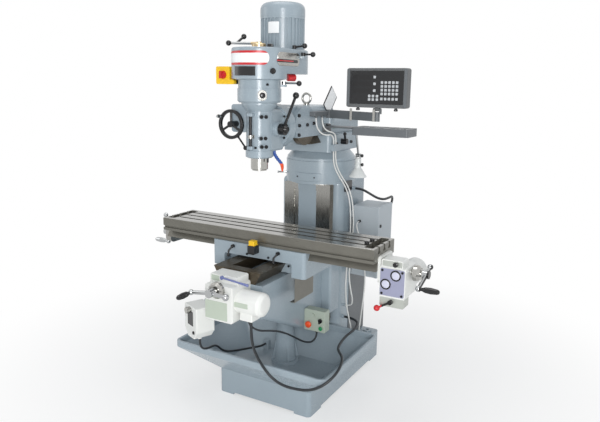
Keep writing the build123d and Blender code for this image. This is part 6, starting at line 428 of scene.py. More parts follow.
def turned(name, outline, sides=32):
    """A turned piece about Z from (radius, height) pairs, extruded and resized from a disc."""
    fresh()
    radius, height = outline[0]
    bpy.ops.mesh.primitive_circle_add(vertices=sides, radius=radius * MM, fill_type="NGON",
                                      location=(0, 0, height * MM))
    made = bpy.context.object
    made.name = name
    settle(made)
    bpy.ops.object.mode_set(mode="EDIT")
    bpy.ops.mesh.select_mode(type="FACE")
    bpy.ops.mesh.select_all(action="SELECT")
    for next_radius, next_height in outline[1:]:
        rise = (0, 0, (next_height - height) * MM)
        bpy.ops.mesh.extrude_region_move(TRANSFORM_OT_translate={"value": rise})
        share = next_radius / radius
        bpy.ops.transform.resize(value=(share, share, 1), center_override=(0, 0, next_height * MM))
        radius, height = next_radius, next_height
    bpy.ops.mesh.select_all(action="SELECT")
    bpy.ops.mesh.normals_make_consistent(inside=False)
    smooth(made)
    return made


def put(made, origin, across, facing):
    """Turn a piece so that its X runs across and its Z faces out, move it to a place and settle it."""
    out = Vector(facing).normalized()
    along = Vector(across)
    along = (along - out * along.dot(out)).normalized()
    turn = Matrix((along, out.cross(along), out)).transposed().to_4x4()
    made.matrix_world = Matrix.Translation(Vector(origin) * MM) @ turn
    settle(made)
    return made


def wrap(made, centre, radius, middle, cuts=24, straight=180.0):
    """Bend a plate round an upright axis, its middle turned from the front; past the straight angle it runs
    on flat."""
    only(made)
    reach = max(abs(corner.co.x) for corner in made.data.vertices)
    bpy.ops.object.mode_set(mode="EDIT")
    for number in range(1, cuts):
        bpy.ops.mesh.select_all(action="SELECT")
        bpy.ops.mesh.bisect(plane_co=(reach * (2 * number / cuts - 1), 0, 0), plane_no=(1, 0, 0))
    bpy.ops.object.mode_set(mode="OBJECT")
    # The bend tool needs a window, so each point is carried round the axis here
    for corner in made.data.vertices:
        across, up, out = corner.co
        angle = math.radians(middle) + across / (radius * MM)
        turn = min(angle, math.radians(straight))
        past = (angle - turn) * radius * MM
        reach_out = radius * MM + out
        corner.co = (centre[0] * MM + reach_out * math.sin(turn) + past * math.cos(turn),
                     centre[1] * MM - reach_out * math.cos(turn) + past * math.sin(turn), centre[2] * MM + up)
    smooth(made)
    return made


def join(pieces, name):
    """Join two or more pieces into the first."""
    only(pieces[0])
    for piece in pieces[1:]:
        piece.select_set(True)
    bpy.ops.object.join()
    pieces[0].name = name
    return pieces[0]


def copies(model, name, spots):
    """Copies of a modelled piece at (origin, facing) spots, each with its own mesh, joined into one."""
    made = []
    for origin, facing in spots:
        twin = model.copy()
        twin.data = model.data.copy()
        bpy.context.scene.collection.objects.link(twin)
        across = UP if abs(Vector(facing).normalized().z) < UPRIGHT else RIGHT
        made.append(put(twin, origin, across, facing))
    joined = join(made, name)
    bpy.data.objects.remove(model)
    return joined


def coat(made, look, zones=()):
    """Give a piece its finish."""
    slot, finish = look
    made.data.materials.clear()
    made.data.materials.append(finish_material(finish, zones))


def dress(made, body, look, zones=()):
    """Coat a piece and let it ride on a body."""
    coat(made, look, zones)
    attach(made, body)


def fit(made, origin, across, facing, body, look, zones=()):
    """Put a piece in its place and dress it."""
    dress(put(made, origin, across, facing), body, look, zones)


def screws(name, radius, height, spots, body):
    """Cap screws with round sockets at (origin, facing) spots of a body."""
    outline = [(radius * across, height * up) for across, up in SCREW_SHARES]
    dress(copies(turned("socket_screw", outline, 18), name, spots), body, BLACK_STEEL)


def round_spot(centre, radius, spot):
    """The place and direction on an upright cylinder that faces a spot."""
    out = Vector((spot[0] - centre[0], spot[1] - centre[1], 0)).normalized()
    return (centre[0] + out.x * radius, centre[1] + out.y * radius, spot[2]), tuple(out)


# Cables: control points of each route in mm

CROSS_ROUTE = (
    (140, -775, 625), (140, -775, 570), (134, -757, 495), (128, -716, 420), (140, -678, 350),
    (178, -662, 293), (245, -660, 265), (325, -660, 266), (405, -660, 282), (470, -646, 322),
    (503, -596, 362), (498, -522, 385), (466, -452, 388), (420, -390, 374), (378, -322, 358),
    (352, -240, 352), (340, -152, 354), (345, -68, 358), (338, 15, 361), (308, 70, 361), (256, 100, 360),
    (214, 100, 360))
KNEE_ROUTE = (
    (-213.73, -721.89, 431), (-213.73, -721.89, 396), (-212.5, -702, 366), (-211, -660, 352),
    (-212, -612, 350), (-219, -570, 330), (-234, -516, 284), (-248, -462, 250), (-256, -392, 220),
    (-240, -318, 204), (-206, -250, 199), (-174, -200, 198), (-174, -165, 198))
STATION_ROUTE = (
    (110, -752, 625), (110, -752, 595), (124, -738, 566), (148, -708, 546), (164, -660, 534),
    (170, -600, 512), (168, -532, 480), (169, -462, 440), (172, -398, 398), (180, -344, 362),
    (194, -300, 342), (206, -272, 344), (215, -254, 366), (215, -254, 393))
SIGNAL_ROUTE = (
    (271, 134, 941), (271, 104, 941), (284, 78, 918), (304, 70, 872), (322, 74, 800), (336, 81, 712),
    (343, 87, 632), (338, 90, 536), (328, 94, 448), (316, 102, 372), (306, 114, 310), (292, 134, 262),
    (272, 152, 230), (242, 165, 216), (214, 165, 216))
SUPPLY_ROUTE = (
    (214, 200, 1120), (254, 200, 1120), (300, 204, 1098), (338, 232, 1070), (358, 282, 1056),
    (364, 345, 1056), (358, 422, 1056), (344, 459.5, 1018.5), (328, 459.5, 965.5), (312, 422, 928),
    (312, 366, 928))
FRONT_ROUTE = (
    (162, 4, 1350.5), (162, 4, 1310), (168, 9, 1262), (190, 26, 1208), (222, 46, 1152), (244, 57, 1080),
    (252, 61, 985), (253, 62, 880), (247, 61, 775), (236, 60, 665), (233, 60, 560), (240, 62, 460),
    (256, 66, 378), (266, 76, 322), (262, 92, 284), (240, 100, 262), (214, 100, 262))
REAR_ROUTE = (
    (162, 30, 1350.5), (162, 30, 1310), (170, 34, 1262), (195, 46, 1208), (230, 64, 1152),
    (252, 74, 1080), (261, 78, 985), (262, 79, 885), (256, 79, 785), (246, 78, 690), (246, 79, 605),
    (257, 82, 538), (266, 89, 486), (262, 98, 450), (240, 104, 432), (214, 104, 432))
LONG_ROUTE = (
    (108, -105, 1535), (108, -105, 1508), (114, -98, 1477), (128, -82, 1452), (146, -58, 1442),
    (158, -30, 1444), (161, -8, 1434), (162, 4, 1412), (162, 4, 1388.5))
SHORT_ROUTE = (
    (108, -35, 1535), (108, -35, 1508), (116, -30, 1480), (132, -20, 1462), (150, -4, 1456),
    (160, 14, 1448), (162, 26, 1430), (162, 30, 1409), (162, 30, 1388.5))


# The bodies that a cable runs between and, where there are two, the start and end of its bend in m
BASE, KNEE = (("base",), None), (("knee",), None)
CROSS_BEND = (("base", "knee"), ((0.2, -0.3, 0.36), (0.2, -0.72, 0.36)))
KNEE_BEND = (("base", "knee"), ((-0.21, -0.635, 0.35), (-0.21, -0.72, 0.35)))
COLUMN_BEND = (("base", "turret"), ((0.2, 0.05, 1.05), (0.2, 0.05, 1.33)))
RAM_BEND = (("turret", "ram"), ((0.13, 0.0, 1.395), (0.13, 0.0, 1.53)))

# Each cable's name, route, setting of its diameter, real length in m, solid, look, bodies and bend
CABLES = (
    ("cross_feed_conduit", CROSS_ROUTE, "conduit", 1.558, "knee_conduits", CONDUIT, *CROSS_BEND),
    ("knee_feed_conduit", KNEE_ROUTE, "knee_conduit", 0.667, "knee_conduits", CONDUIT, *KNEE_BEND),
    ("station_cable", STATION_ROUTE, "station_cable", 0.654, "knee_conduits", CONDUIT, *KNEE),
    ("signal_cable", SIGNAL_ROUTE, "scale_cable", 0.842, "cabinet_cables", CABLE, *BASE),
    ("supply_cable", SUPPLY_ROUTE, "conduit", 0.55, "cabinet_cables", CONDUIT, *BASE),
    ("column_cable_front", FRONT_ROUTE, "scale_cable", 1.152, "column_cables", CABLE, *COLUMN_BEND),
    ("column_cable_rear", REAR_ROUTE, "scale_cable", 0.98, "column_cables", CABLE, *COLUMN_BEND),
    ("ram_cable_long", LONG_ROUTE, "scale_cable", 0.224, "ram_cables", CABLE, *RAM_BEND),
    ("ram_cable_short", SHORT_ROUTE, "scale_cable", 0.191, "ram_cables", CABLE, *RAM_BEND),
)

# Points of a cable closer than SAME_POINT, in m, are merged
CURVE_ORDER, CURVE_STEPS, ROUND_STEPS = 3, 8, 4
SAME_POINT, CABLE_SHARP_EDGE = 1e-5, 50


def route_curve(name, route):
    """A smooth open line with the route's points as its control points."""
    line = bpy.data.curves.new(name, "CURVE")
    line.dimensions = "3D"
    spline = line.splines.new("NURBS")
    spline.points.add(len(route) - 1)
    for point, place in zip(spline.points, route):
        point.co = (place[0] * MM, place[1] * MM, place[2] * MM, 1.0)
    spline.order_u = CURVE_ORDER
    spline.use_endpoint_u = True
    spline.resolution_u = CURVE_STEPS
    made = bpy.data.objects.new(name, line)
    bpy.context.scene.collection.objects.link(made)
    return made


def cable_piece(name, route, diameter, real_length, node, look, bodies, span):
    """A cable along a route that replaces its solid; between two bodies it stays where it was laid."""
    made = route_curve(name, route)
    bpy.context.view_layer.update()
    bare = bpy.data.meshes.new_from_object(made.evaluated_get(bpy.context.evaluated_depsgraph_get()))
    bpy.data.meshes.remove(bare)
    made.data.bevel_depth = diameter / 2
    made.data.bevel_resolution = ROUND_STEPS
    made.data.use_fill_caps = True
    only(made)
    bpy.ops.object.convert(target="MESH")
    made = bpy.context.object
    bpy.ops.object.mode_set(mode="EDIT")
    bpy.ops.mesh.select_all(action="SELECT")
    bpy.ops.mesh.remove_doubles(threshold=SAME_POINT)
    bpy.ops.mesh.normals_make_consistent(inside=False)
    smooth(made, CABLE_SHARP_EDGE)
    coat(made, look)
    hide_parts(node)
    if len(bodies) == 1:
        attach(made, bodies[0])
    else:
        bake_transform(made)


class MILL_OT_cables(bpy.types.Operator):
    """Lay the conduits and cables between their glands"""
    bl_idname = "mill.cables"
    bl_label = "Cables"

    def execute(self, context):
        sizes = context.scene.mill_sizes
        for name, route, size, *rest in CABLES:
            cable_piece(name, route, getattr(sizes, size), *rest)
        return {"FINISHED"}


class MILL_OT_finishes(bpy.types.Operator):
    """Give every solid of the machine its finish"""
    bl_idname = "mill.finishes"
    bl_label = "Finishes"

    def execute(self, context):
        slots = {row["node"]: row["material_slot"] for row in frame["record"]["subparts"]}
        for node, solid in frame["nodes"].items():
            name = NODE_FINISHES.get(node, SLOT_FINISHES[slots[node]])
            zones = [(row[:3], row[3]) for row in NODE_ZONES.get(node, [])]
            material = finish_material(name, zones)
            for holder in solid.material_slots:
                holder.material = material
        return {"FINISHED"}


# Trim in mm: upright axes as (x, y), faces as one coordinate, outlines as (radius, height); zones in m

MOTOR_AXIS = (0, -278)
BARREL_AXIS, BARREL_RADIUS = (0, -491), 134.1
BELT_TOP = 1879
SIDE_STRAIGHT = 91.08
BADGE_BANDS = [((None, None, (1.7965, 1.8075)), "red_abs"), ((None, None, (1.8505, 1.862)), "red_abs")]
SLOT_LINE = [((None, (-0.57, -0.4), (1.8165, 1.8215)), "red_abs")]
DIAL_RING = ((46, 0), (46, 1.2), (44.5, 2), (37, 2), (36.5, 0.6))


class MILL_OT_head_plates(bpy.types.Operator):
    """Put the bare plates on the head: motor, front, range and side plate, and the ring of the dial"""
    bl_idname = "mill.head_plates"
    bl_label = "Head plates"

    def execute(self, context):
        thick = context.scene.mill_sizes.plate / MM
        for name, size, axis, level, bend, look, *zones in (
                ("motor_plate", (58, 54, thick, 3, 0.5), MOTOR_AXIS, 1982, (112.6, 7.6, 10), WHITE_FOIL),
                ("front_badge", (250, 64, thick, 30, 0.5), BARREL_AXIS, 1829, (BARREL_RADIUS, 0, 40),
                 WHITE_FOIL, BADGE_BANDS),
                ("range_plate", (119, 42, thick, 2, 0.5), BARREL_AXIS, 1769, (BARREL_RADIUS, 0, 24),
                 ("black_steel", "keyboard_film")),
                ("side_plate", (194.7, 63, 3, 20, 1), BARREL_AXIS, 1827,
                 (BARREL_RADIUS, 113.6, 48, SIDE_STRAIGHT), STEEL),
                ("side_slot", (183.3, 15, 1.4, 6, 0.4), BARREL_AXIS, 1819, (136.8, 108.4, 44, SIDE_STRAIGHT),
                 ("black_steel", "black_phenolic"), SLOT_LINE)):
            dress(wrap(plate(name, *size), (*axis, level), *bend), "head", look, *zones)
        dial = turned("dial_ring", DIAL_RING, 48)
        fit(dial, (17, -520, BELT_TOP), RIGHT, UP, "head", ("steel", "dial_brass"))
        return {"FINISHED"}


HEAD_KNOB = ((9, -1), (9, 4), (13, 6), (14, 12), (12.5, 17), (7, 19))
STOP_PIN = ((5, 0), (5, 22), (7, 23), (7, 34), (5.5, 36))
RANGE_HUB = ((15, -22), (18, -19), (18, 19), (15, 22))
GEAR_SPOT = (73, -576, 1658)
CLAMP_SPOTS = ((52, -534, 1556), (51, -536, 1453), (55, -535, 1412))
KNUCKLE_FACE = -385.4


class MILL_OT_head_fittings(bpy.types.Operator):
    """Put the knobs, clamp pads, screws, stop pin, block and hub on the head"""
    bl_idname = "mill.head_fittings"
    bl_label = "Head fittings"

    def execute(self, context):
        sizes = context.scene.mill_sizes
        screw, small = sizes.screw / MM, sizes.small_screw / MM
        spots = [round_spot(BARREL_AXIS, 134, (120, -563, 1770)), round_spot(BARREL_AXIS, 109, GEAR_SPOT)]
        dress(copies(turned("knob", HEAD_KNOB), "head_knobs", spots), "head", BLACK_PLASTIC)
        gear = plate("gear_plate", 44, 50, 3.5, 20, 1)
        origin, out = round_spot(BARREL_AXIS, 105.5, GEAR_SPOT)
        fit(gear, origin, (-out[1], out[0], 0), out, "head", STEEL)
        pads, spots = [], []
        for spot in CLAMP_SPOTS:
            origin, out = round_spot(BARREL_AXIS, 62, spot)
            pad = plate("clamp_pad", 44, 24, 8, 11, 1.5)
            pads.append(put(pad, origin, (-out[1], out[0], 0), out))
            origin, out = round_spot(BARREL_AXIS, 69.5, spot)
            for side in (-11, 11):
                spots.append(((origin[0] - out[1] * side, origin[1] + out[0] * side, origin[2]), out))
        dress(join(pads, "clamp_pads"), "head", PAINT)
        screws("clamp_screws", screw, 8, spots, "head")
        spots = [((80 * side, KNUCKLE_FACE, 1500 + rise), FRONT) for side in (-1, 1) for rise in (-53, 53)]
        spots += [round_spot(BARREL_AXIS, 65, (x, -561, 1407)) for x in (-18, 22)]
        spots.append(round_spot(BARREL_AXIS, 102.6, (86, -552, 1708)))
        screws("head_screws", small, 7, spots, "head")
        fit(turned("stop_pin", STOP_PIN, 20), (58, -505, 1334), RIGHT, UP, "head", BLACK_STEEL)
        block = plate("housing_block", 26, 34, 17, 4, 2)
        fit(block, (74, -508, 1878.8), (1, 0.4, 0), UP, "head", BLACK_PLASTIC)
        fit(turned("range_hub", RANGE_HUB), (82, -328, 1743), UP, (0.507, 0.862, 0), "head", RED)
        return {"FINISHED"}


# Each ball's name, body, centre, direction, radius and look
LEVER_BALLS = (
    ("brake_ball", "brake_lever", (200, -321, 1854), (54, 0, 8), 12.8, BLACK_PLASTIC),
    ("range_ball", "range_lever", (180, -418, 1715), (84, 2, 7), 12.8, BLACK_PLASTIC),
    ("motor_lock_ball", "motor_lock_lever", (165, -342, 1894), (56, 16, 8), 12.8, BLACK_PLASTIC),
    ("table_feed_ball", "table_feed_lever", (651, -482, 691), (-46, -18, -22), 15, RED),
)
BALL_RINGS = [math.radians(ring) for ring in range(-75, 86, 16)]


class MILL_OT_lever_balls(bpy.types.Operator):
    """Put the balls on the head's levers and on the table feed's lever"""
    bl_idname = "mill.lever_balls"
    bl_label = "Lever balls"

    def execute(self, context):
        for name, body, centre, along, radius, look in LEVER_BALLS:
            outline = [(radius * math.cos(ring), radius * math.sin(ring)) for ring in BALL_RINGS]
            fit(turned(name, outline, 28), centre, BACK, along, body, look)
        return {"FINISHED"}


LAMP_AXIS = (272, 95)
SHADE = ((15, 1311), (16.5, 1307), (17.5, 1262), (20, 1254), (26, 1246), (35, 1231),
         (49.6, 1208.5), (50, 1206.5), (47.6, 1206.5), (33, 1229), (24, 1243), (12, 1247))
BULB = ((11, 1250), (13, 1238), (19, 1226), (19, 1217), (13, 1209), (4, 1207))
LAMP_KNOB = ((5, -1), (5, 4), (9, 5), (9.5, 11), (8, 14), (3, 15))


class MILL_OT_lamp(bpy.types.Operator):
    """Make the work lamp's shade, fork, bulb and knobs"""
    bl_idname = "mill.lamp"
    bl_label = "Work lamp"

    def execute(self, context):
        x, y = LAMP_AXIS
        shade = put(turned("lamp_shade", SHADE, 48), (x, y, 0), RIGHT, UP)
        fork = [put(plate("cheek", 18, 32, 5, 7, 1.2), (x + side * 9.5, y, 1322), (0, side, 0),
                    (side, 0, 0)) for side in (-1, 1)]
        bulb = put(turned("lamp_bulb", BULB), (x, y, 0), RIGHT, UP)
        spots = [((286, y, 1326), RIGHT), ((288.6, y, 1276), RIGHT)]
        knobs = copies(turned("lamp_knob", LAMP_KNOB, 28), "lamp_knobs", spots)
        for made, look in ((shade, ("lamp_shade", "lamp_enamel")), (join(fork, "lamp_fork"), CHROME),
                           (bulb, ("lamp_shade", "white_foil")), (knobs, BLACK_PLASTIC)):
            dress(made, "lamp_head", look)
            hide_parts("lamp_head")
        top = turned("lamp_arm_knob", LAMP_KNOB, 28)
        fit(top, (280.4, 60, 1452), UP, RIGHT, "lamp_arm", BLACK_PLASTIC)
        return {"FINISHED"}


RAM_SIDE, TURRET_SIDE = 91.8, 149.8
RAM_SCREW_SPOTS = ((-266, 1553), (-261, 1502), (-177, 1502), (-106, 1506), (-264, 1453))
OIL_SIGHT = ((9, 0), (9, 3), (7, 4.5), (6, 4))
NOTICE_LEAN = (0, 0.686, 0.728)


class MILL_OT_ram_fittings(bpy.types.Operator):
    """Put the screws, the connector block, the oil sight and the notice board on the ram and the turret"""
    bl_idname = "mill.ram_fittings"
    bl_label = "Ram fittings"

    def execute(self, context):
        screw = context.scene.mill_sizes.screw / MM
        spots = [((side * RAM_SIDE, y, z), (side, 0, 0)) for y, z in RAM_SCREW_SPOTS for side in (-1, 1)]
        screws("ram_screws", screw, 9, spots, "ram")
        spots = [((side * TURRET_SIDE, y, 1385), (side, 0, 0)) for y in (60, 250) for side in (-1, 1)]
        screws("turret_screws", screw, 9, spots, "turret")
        fins = [put(plate("fin", 44, 9, 9, 2, 1.5), (RAM_SIDE, 67, 1473 + rise), BACK, RIGHT)
                for rise in (-15, 0, 15)]
        fins.append(put(plate("fin_base", 40, 46, 4, 3, 1), (RAM_SIDE, 67, 1473), BACK, RIGHT))
        dress(join(fins, "connector_block"), "ram", BLACK_PLASTIC)
        sight = turned("oil_sight", OIL_SIGHT, 24)
        fit(sight, (RAM_SIDE, 140, 1473), BACK, RIGHT, "ram", ("green_plastic", "green_abs"))
        board = plate("notice_board", 138, 96, 3, 3, 0.8)
        fit(board, (91.9, 84, 1622), NOTICE_LEAN, RIGHT, "ram", BLACK_STEEL)
        sheet = plate("notice_sheet", 130, 80, 1.2, 1.5, 0.3)
        fit(sheet, (94.6, 84, 1622), NOTICE_LEAN, RIGHT, "ram", WHITE_FOIL)
        return {"FINISHED"}


READOUT_FACE, KEY_FACE = -136.9, -138.3
WINDOW_SPAN, WINDOW_LEVELS, WINDOW_HEIGHT = (0.33, 0.436), (1738, 1705, 1672), 24
READOUT_KNOB = ((7, -1), (7, 5), (10, 7), (10, 14), (8, 16))
# Columns and rows of the axis keys, the number keys and the lower left keys
KEY_FIELDS = (((452,), (1751, 1718, 1685)),
              ((492, 512, 531.5, 551.5, 571), (1725, 1706.5, 1688, 1669.5, 1645)),
              ((426, 446, 468), (1658, 1641)))


class MILL_OT_readout_panel(bpy.types.Operator):
    """Put the keyboard, keys, corner posts and clamp knobs on the digital readout and straps on its arm"""
    bl_idname = "mill.readout_panel"
    bl_label = "Readout panel"

    def execute(self, context):
        key_width = context.scene.mill_sizes.key / MM
        film = plate("readout_film", 286, 164, 1.6, 4, 0.4)
        windows = [((WINDOW_SPAN, None, (low * MM, (low + WINDOW_HEIGHT) * MM)), "black_phenolic")
                   for low in WINDOW_LEVELS]
        fit(film, (461, READOUT_FACE, 1700), RIGHT, FRONT, "readout", BLACK_FILM, windows)
        posts = [put(plate("post", 15, 188, 4, 6, 1.5), (x, READOUT_FACE, 1697.5), RIGHT, FRONT)
                 for x in (308, 614)]
        dress(join(posts, "readout_posts"), "readout", ("display_case", "tray_coat"))
        straps = [put(plate("strap", 13, 62, 2.4, 2, 0.8), (x, -125.6, 1562), RIGHT, FRONT)
                  for x in (321, 448)]
        dress(join(straps, "arm_straps"), "readout_arm", STEEL)
        spots = [((x, -112, 1601), DOWN) for x in (354, 560)]
        foot = turned("readout_knob", READOUT_KNOB, 28)
        dress(copies(foot, "readout_knobs", spots), "readout", BLACK_PLASTIC)
        spots = [((x, KEY_FACE, z), FRONT) for columns, rows in KEY_FIELDS for x in columns for z in rows]
        key = plate("key", key_width, key_width, 2.2, 2, 0.8)
        dress(copies(key, "readout_keys", spots), "readout", ("display_case", "key_plastic"))
        return {"FINISHED"}


TABLE_FEED_FACE, TABLE_COVER_FACE, TABLE_HEAD_FACE = -459.9, -462.3, -454.9
CAP_SPOTS = [((682, TABLE_COVER_FACE, 808), FRONT), ((730, TABLE_COVER_FACE, 855), FRONT)]
CAP_RING = ((26, 0), (26, 2), (24.5, 3), (20, 3), (19.5, 1))
CAP = ((19, 0), (19, 2.5), (17, 4), (9, 4.6))
FEED_KNOB = ((8, 0), (8, 5), (12, 7), (12, 15), (9, 17))
CROSS_HEAD_FACE, CROSS_BOX_FACE = -789.9, -839.9
CROSS_MOTOR_RADIUS, CROSS_MOTOR_MIDDLE = 58.1, (106, -765, 705)
# The knee feed's axis leaves the middle plane at the start and runs out to its front face at the reach
KNEE_FEED_START, KNEE_FEED_OUT, KNEE_FEED_REACH = -228, (-0.397, -0.918, 0), 587.9
KNEE_BUTTON = ((9, 0), (9, 4), (7, 6), (6, 6.5))


class MILL_OT_feed_fronts(bpy.types.Operator):
    """Put the cover plates, caps, knobs and screws on the three power feeds"""
    bl_idname = "mill.feed_fronts"
    bl_label = "Feed fronts"

    def execute(self, context):
        thick = context.scene.mill_sizes.plate / MM
        small = context.scene.mill_sizes.small_screw / MM
        for name, size, place, body, look in (
                ("table_feed_cover", (119, 132, thick + 1, 8, 0.8), (713, TABLE_FEED_FACE, 818), "table",
                 ("feed_cream", "lilac_anodised")),
                ("head_cover", (96, 26, thick, 3, 0.5), (709, TABLE_HEAD_FACE, 907), "table",
                 ("feed_cream", "bare_alloy")),
                ("cross_head_cover", (46, 26, thick, 3, 0.5), (-54, CROSS_HEAD_FACE, 803), "knee",
                 GREEN_COVER),
                ("cross_box_cover", (128, 90, thick, 4, 0.5), (-14, CROSS_BOX_FACE, 662), "knee",
                 GREEN_COVER)):
            fit(plate(name, *size), place, RIGHT, FRONT, body, look)
        dress(copies(turned("cap_ring", CAP_RING, 40), "cap_rings", CAP_SPOTS), "table", BLACK_PLASTIC)
        dress(copies(turned("cap", CAP, 40), "feed_caps", CAP_SPOTS), "table", ("feed_cream", "cap_plastic"))
        spots = [((x, TABLE_COVER_FACE, z), FRONT) for z in (874, 762) for x in (664, 762)]
        screws("cover_screws", small, 4, spots, "table")
        knob = turned("feed_knob", FEED_KNOB, 28)
        fit(knob, (728, -456.2, 908), RIGHT, FRONT, "table", BLACK_PLASTIC)
        motor = plate("cross_motor_cover", 24, 96, thick, 4, 0.5)
        wrap(motor, (0, 0, 0), CROSS_MOTOR_RADIUS, 0, 6)
        # The motor lies along X, so its cover is laid down once it is bent
        fit(motor, CROSS_MOTOR_MIDDLE, DOWN, RIGHT, "knee", GREEN_COVER)
        out_x, out_y, _ = KNEE_FEED_OUT
        x, y = out_x * KNEE_FEED_REACH, KNEE_FEED_START + out_y * KNEE_FEED_REACH
        panel = plate("knee_feed_panel", 56, 76, thick, 3, 0.5)
        fit(panel, (x, y, 553), (out_y, -out_x, 0), KNEE_FEED_OUT, "knee", BLACK_FILM)
        button = turned("knee_feed_button", KNEE_BUTTON, 24)
        fit(button, (x + 30, y - 13, 484), UP, KNEE_FEED_OUT, "knee", BLACK_PLASTIC)
        return {"FINISHED"}


SADDLE_FACE, TABLE_TOP = -514.9, 973.5
SADDLE_SCREW_SPOTS = ((-60, 853), (70, 853), (-175, 828), (190, 828), (90, 832))


class MILL_OT_slide_fittings(bpy.types.Operator):
    """Put the screws and the scale guard on the saddle and the table"""
    bl_idname = "mill.slide_fittings"
    bl_label = "Slide fittings"

    def execute(self, context):
        small = context.scene.mill_sizes.small_screw / MM
        spots = [((x, SADDLE_FACE, z), FRONT) for x, z in SADDLE_SCREW_SPOTS]
        screws("saddle_screws", small, 5, spots, "saddle")
        screws("table_screws", 12, 9, [((558, y, TABLE_TOP), UP) for y in (-408, -344)], "table")
        guard = put(plate("scale_guard", 190, 128, 3, 4, 0.8), (224, -420, 707), BACK, RIGHT)
        lip = put(plate("guard_lip", 190, 26, 3, 2, 0.8), (212, -420, 644), BACK, DOWN)
        dress(join([guard, lip], "scale_guard"), "saddle", ("tray_paint", "oiled_edge"))
        return {"FINISHED"}


NECK_AXIS, NECK_RADIUS, NECK_LEVEL = (0, 170), 205, 1198
NECK_PIN = ((8, -3), (8, 5), (5, 6), (5, 46), (6.5, 48), (6.5, 54), (5, 55))
COLUMN_SIDE = 197.8


class MILL_OT_column_fittings(bpy.types.Operator):
    """Put the neck plate with its screws, the pin, the side cover and the connector on the column; the side
    cover's dark coat is painted shade
    """
    bl_idname = "mill.column_fittings"
    bl_label = "Column fittings"

    def execute(self, context):
        neck = plate("neck_plate", 164, 46, 5, 4, 1.6)
        dress(wrap(neck, (*NECK_AXIS, NECK_LEVEL), NECK_RADIUS, 5), "base", PAINT)
        spots = [round_spot(NECK_AXIS, 209.8, (x, -30, NECK_LEVEL)) for x in (-42, 62)]
        screws("neck_screws", 4.5, 3, spots, "base")
        origin, out = round_spot(NECK_AXIS, 204.6, (-178, 68, 1201))
        fit(turned("neck_pin", NECK_PIN), origin, UP, out, "base", CHROME)
        # A dark plate on the column's lower right face: a side cover whose dark coat is painted shade
        cover = plate("column_cover", 228, 404, 4, 6, 1.2)
        fit(cover, (COLUMN_SIDE, 294, 392), BACK, RIGHT, "base", ("tray_paint", "tray_coat"))
        block = plate("column_connector", 76, 60, 14, 4, 2)
        fit(block, (COLUMN_SIDE, 118, 1145), BACK, RIGHT, "base", BLACK_PLASTIC)
        return {"FINISHED"}


# The stage, in m: each light's name, place, aim, size and power in W, and the photograph's view in radians
FLOOR_SIZE, FLOOR_DROP = 24.0, 0.0005
NEAR, FAR, NEAR_GLOW = 0.7, 2.4, 0.5
LIGHTS = (
    ("key", (2.25, -3.95, 1.65), (0, -0.1, 0.85), (1.1, 1.8), 110),
    ("left", (-3.4, -1.6, 2.4), (0, -0.2, 1.1), (1.6, 2.2), 14),
    ("top", (0, -0.4, 4.6), (0, -0.2, 1), (2.4, 2.4), 42),
    ("right", (3.8, 0.2, 2.2), (0, 0, 1), (1.4, 2), 6),
)
DAYLIGHT = 0.52
CAMERA_PLACE = (1.67066, -3.01087, 1.7176)
CAMERA_TURN = (0.517647, 0.20703, 0.0133159)
LENS, SENSOR, SIGHT_END = 36.577, 36.0, 100.0


def seen_directly(tree):
    """One for rays from the camera, in reflections and through glass, nought for those that shade."""
    sight = add_node(tree, "LightPath").outputs
    seen = reckon(tree, "MAXIMUM", sight["Is Camera Ray"], sight["Is Glossy Ray"])
    return reckon(tree, "MAXIMUM", seen, sight["Is Transmission Ray"])


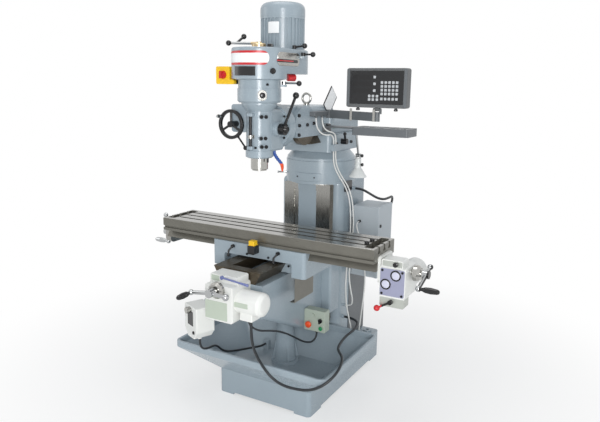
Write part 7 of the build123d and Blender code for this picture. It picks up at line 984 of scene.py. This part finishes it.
class MILL_OT_stage(bpy.types.Operator):
    """Set the floor, the light and the camera at the photograph's angle"""
    bl_idname = "mill.stage"
    bl_label = "Stage"

    def execute(self, context):
        scene = context.scene
        scene.view_settings.view_transform = "Standard"
        fresh()
        bpy.ops.mesh.primitive_plane_add(size=FLOOR_SIZE, location=(0, 0, -FLOOR_DROP))
        floor = context.object
        floor.name = "studio_floor"
        settle(floor)
        floor.data.materials.append(self.floor_material())
        self.light_world(scene)
        for name, place, aim, size, power in LIGHTS:
            lamp = bpy.data.lights.new(name, "AREA")
            lamp.shape = "RECTANGLE"
            lamp.size, lamp.size_y = size
            lamp.energy = power
            holder = bpy.data.objects.new(f"lamp_{name}", lamp)
            scene.collection.objects.link(holder)
            holder.location = place
            holder.rotation_euler = (Vector(aim) - Vector(place)).to_track_quat("-Z", "Y").to_euler()
        self.set_camera(scene)
        return {"FINISHED"}

    def floor_material(self):
        """Pale studio floor: matt paint near the machine, plain white further out."""
        made = bpy.data.materials.new("studio_floor")
        tree = empty_tree(made)
        place = add_node(tree, "TexCoord").outputs["Object"]
        reach = add_node(tree, "VectorMath", {0: place}, operation="LENGTH")
        far = add_node(tree, "MapRange", {
            "Value": reach.outputs["Value"], "From Min": NEAR, "From Max": FAR,
            "To Min": NEAR_GLOW, "To Max": 1.0}, interpolation_type="SMOOTHSTEP")
        paint = add_node(tree, "BsdfPrincipled", {"Base Color": linear("#F2F2F0"), "Roughness": 0.8})
        glow = add_node(tree, "Emission", {"Color": linear("#FFFFFF"), "Strength": 1.0})
        share = reckon(tree, "MULTIPLY", seen_directly(tree), far.outputs[0])
        mixed = add_node(tree, "MixShader", {0: share, 1: paint.outputs[0], 2: glow.outputs[0]})
        add_node(tree, "OutputMaterial", {"Surface": mixed.outputs[0]})
        return made

    def light_world(self, scene):
        """White to the eye and in reflections, soft grey daylight for the shading."""
        scene.world = bpy.data.worlds.new("studio")
        tree = empty_tree(scene.world)
        soft = add_node(tree, "Background", {"Color": linear("#F4F8FF"), "Strength": DAYLIGHT})
        white = add_node(tree, "Background", {"Color": linear("#FFFFFF"), "Strength": 1.0})
        mixed = add_node(tree, "MixShader", {
            0: seen_directly(tree), 1: soft.outputs[0], 2: white.outputs[0]})
        add_node(tree, "OutputWorld", {"Surface": mixed.outputs[0]})

    def set_camera(self, scene):
        """The photograph's view: place, turn and focal length."""
        yaw, pitch, roll = CAMERA_TURN
        turn = Matrix.Rotation(yaw, 4, "Z")
        for angle, axis in ((math.pi / 2 - pitch, "X"), (roll, "Z")):
            turn = turn @ Matrix.Rotation(angle, 4, axis)
        camera = bpy.data.objects.new("camera", bpy.data.cameras.new("camera"))
        scene.collection.objects.link(camera)
        camera.matrix_world = Matrix.Translation(CAMERA_PLACE) @ turn
        camera.data.sensor_fit = "HORIZONTAL"
        camera.data.sensor_width = SENSOR
        camera.data.lens = LENS
        camera.data.clip_end = SIGHT_END
        scene.camera = camera


OPERATORS = (MILL_OT_stage, MILL_OT_finishes, MILL_OT_cables, MILL_OT_head_plates, MILL_OT_head_fittings,
             MILL_OT_lever_balls, MILL_OT_lamp, MILL_OT_ram_fittings, MILL_OT_readout_panel,
             MILL_OT_feed_fronts, MILL_OT_slide_fittings, MILL_OT_column_fittings)


class MILL_PT_sidebar(bpy.types.Panel):
    """Sizes, colours and pieces of the milling machine"""
    bl_idname = "MILL_PT_sidebar"
    bl_label = "Milling machine"
    bl_space_type = "VIEW_3D"
    bl_region_type = "UI"
    bl_category = "Milling machine"

    def draw(self, context):
        layout = self.layout
        for operator in OPERATORS:
            layout.operator(operator.bl_idname)
        for group in (context.scene.mill_sizes, context.scene.mill_tints):
            box = layout.box()
            for name in type(group).__annotations__:
                box.prop(group, name)


CLASSES = (MillTints, MillSizes, *OPERATORS, MILL_PT_sidebar)


def register():
    """Register the classes and their settings."""
    for item in CLASSES:
        bpy.utils.register_class(item)
    bpy.types.Scene.mill_tints = bpy.props.PointerProperty(type=MillTints)
    bpy.types.Scene.mill_sizes = bpy.props.PointerProperty(type=MillSizes)


def unregister():
    """Remove the settings and the classes."""
    del bpy.types.Scene.mill_sizes
    del bpy.types.Scene.mill_tints
    for item in reversed(CLASSES):
        bpy.utils.unregister_class(item)


def main():
    """Dress the machine piece by piece."""
    register()
    bpy.ops.mill.stage()
    bpy.ops.mill.finishes()
    bpy.ops.mill.cables()
    bpy.ops.mill.head_plates()
    bpy.ops.mill.head_fittings()
    bpy.ops.mill.lever_balls()
    bpy.ops.mill.lamp()
    bpy.ops.mill.ram_fittings()
    bpy.ops.mill.readout_panel()
    bpy.ops.mill.feed_fronts()
    bpy.ops.mill.slide_fittings()
    bpy.ops.mill.column_fittings()
    fresh()


if __name__ == "__main__":
    main()
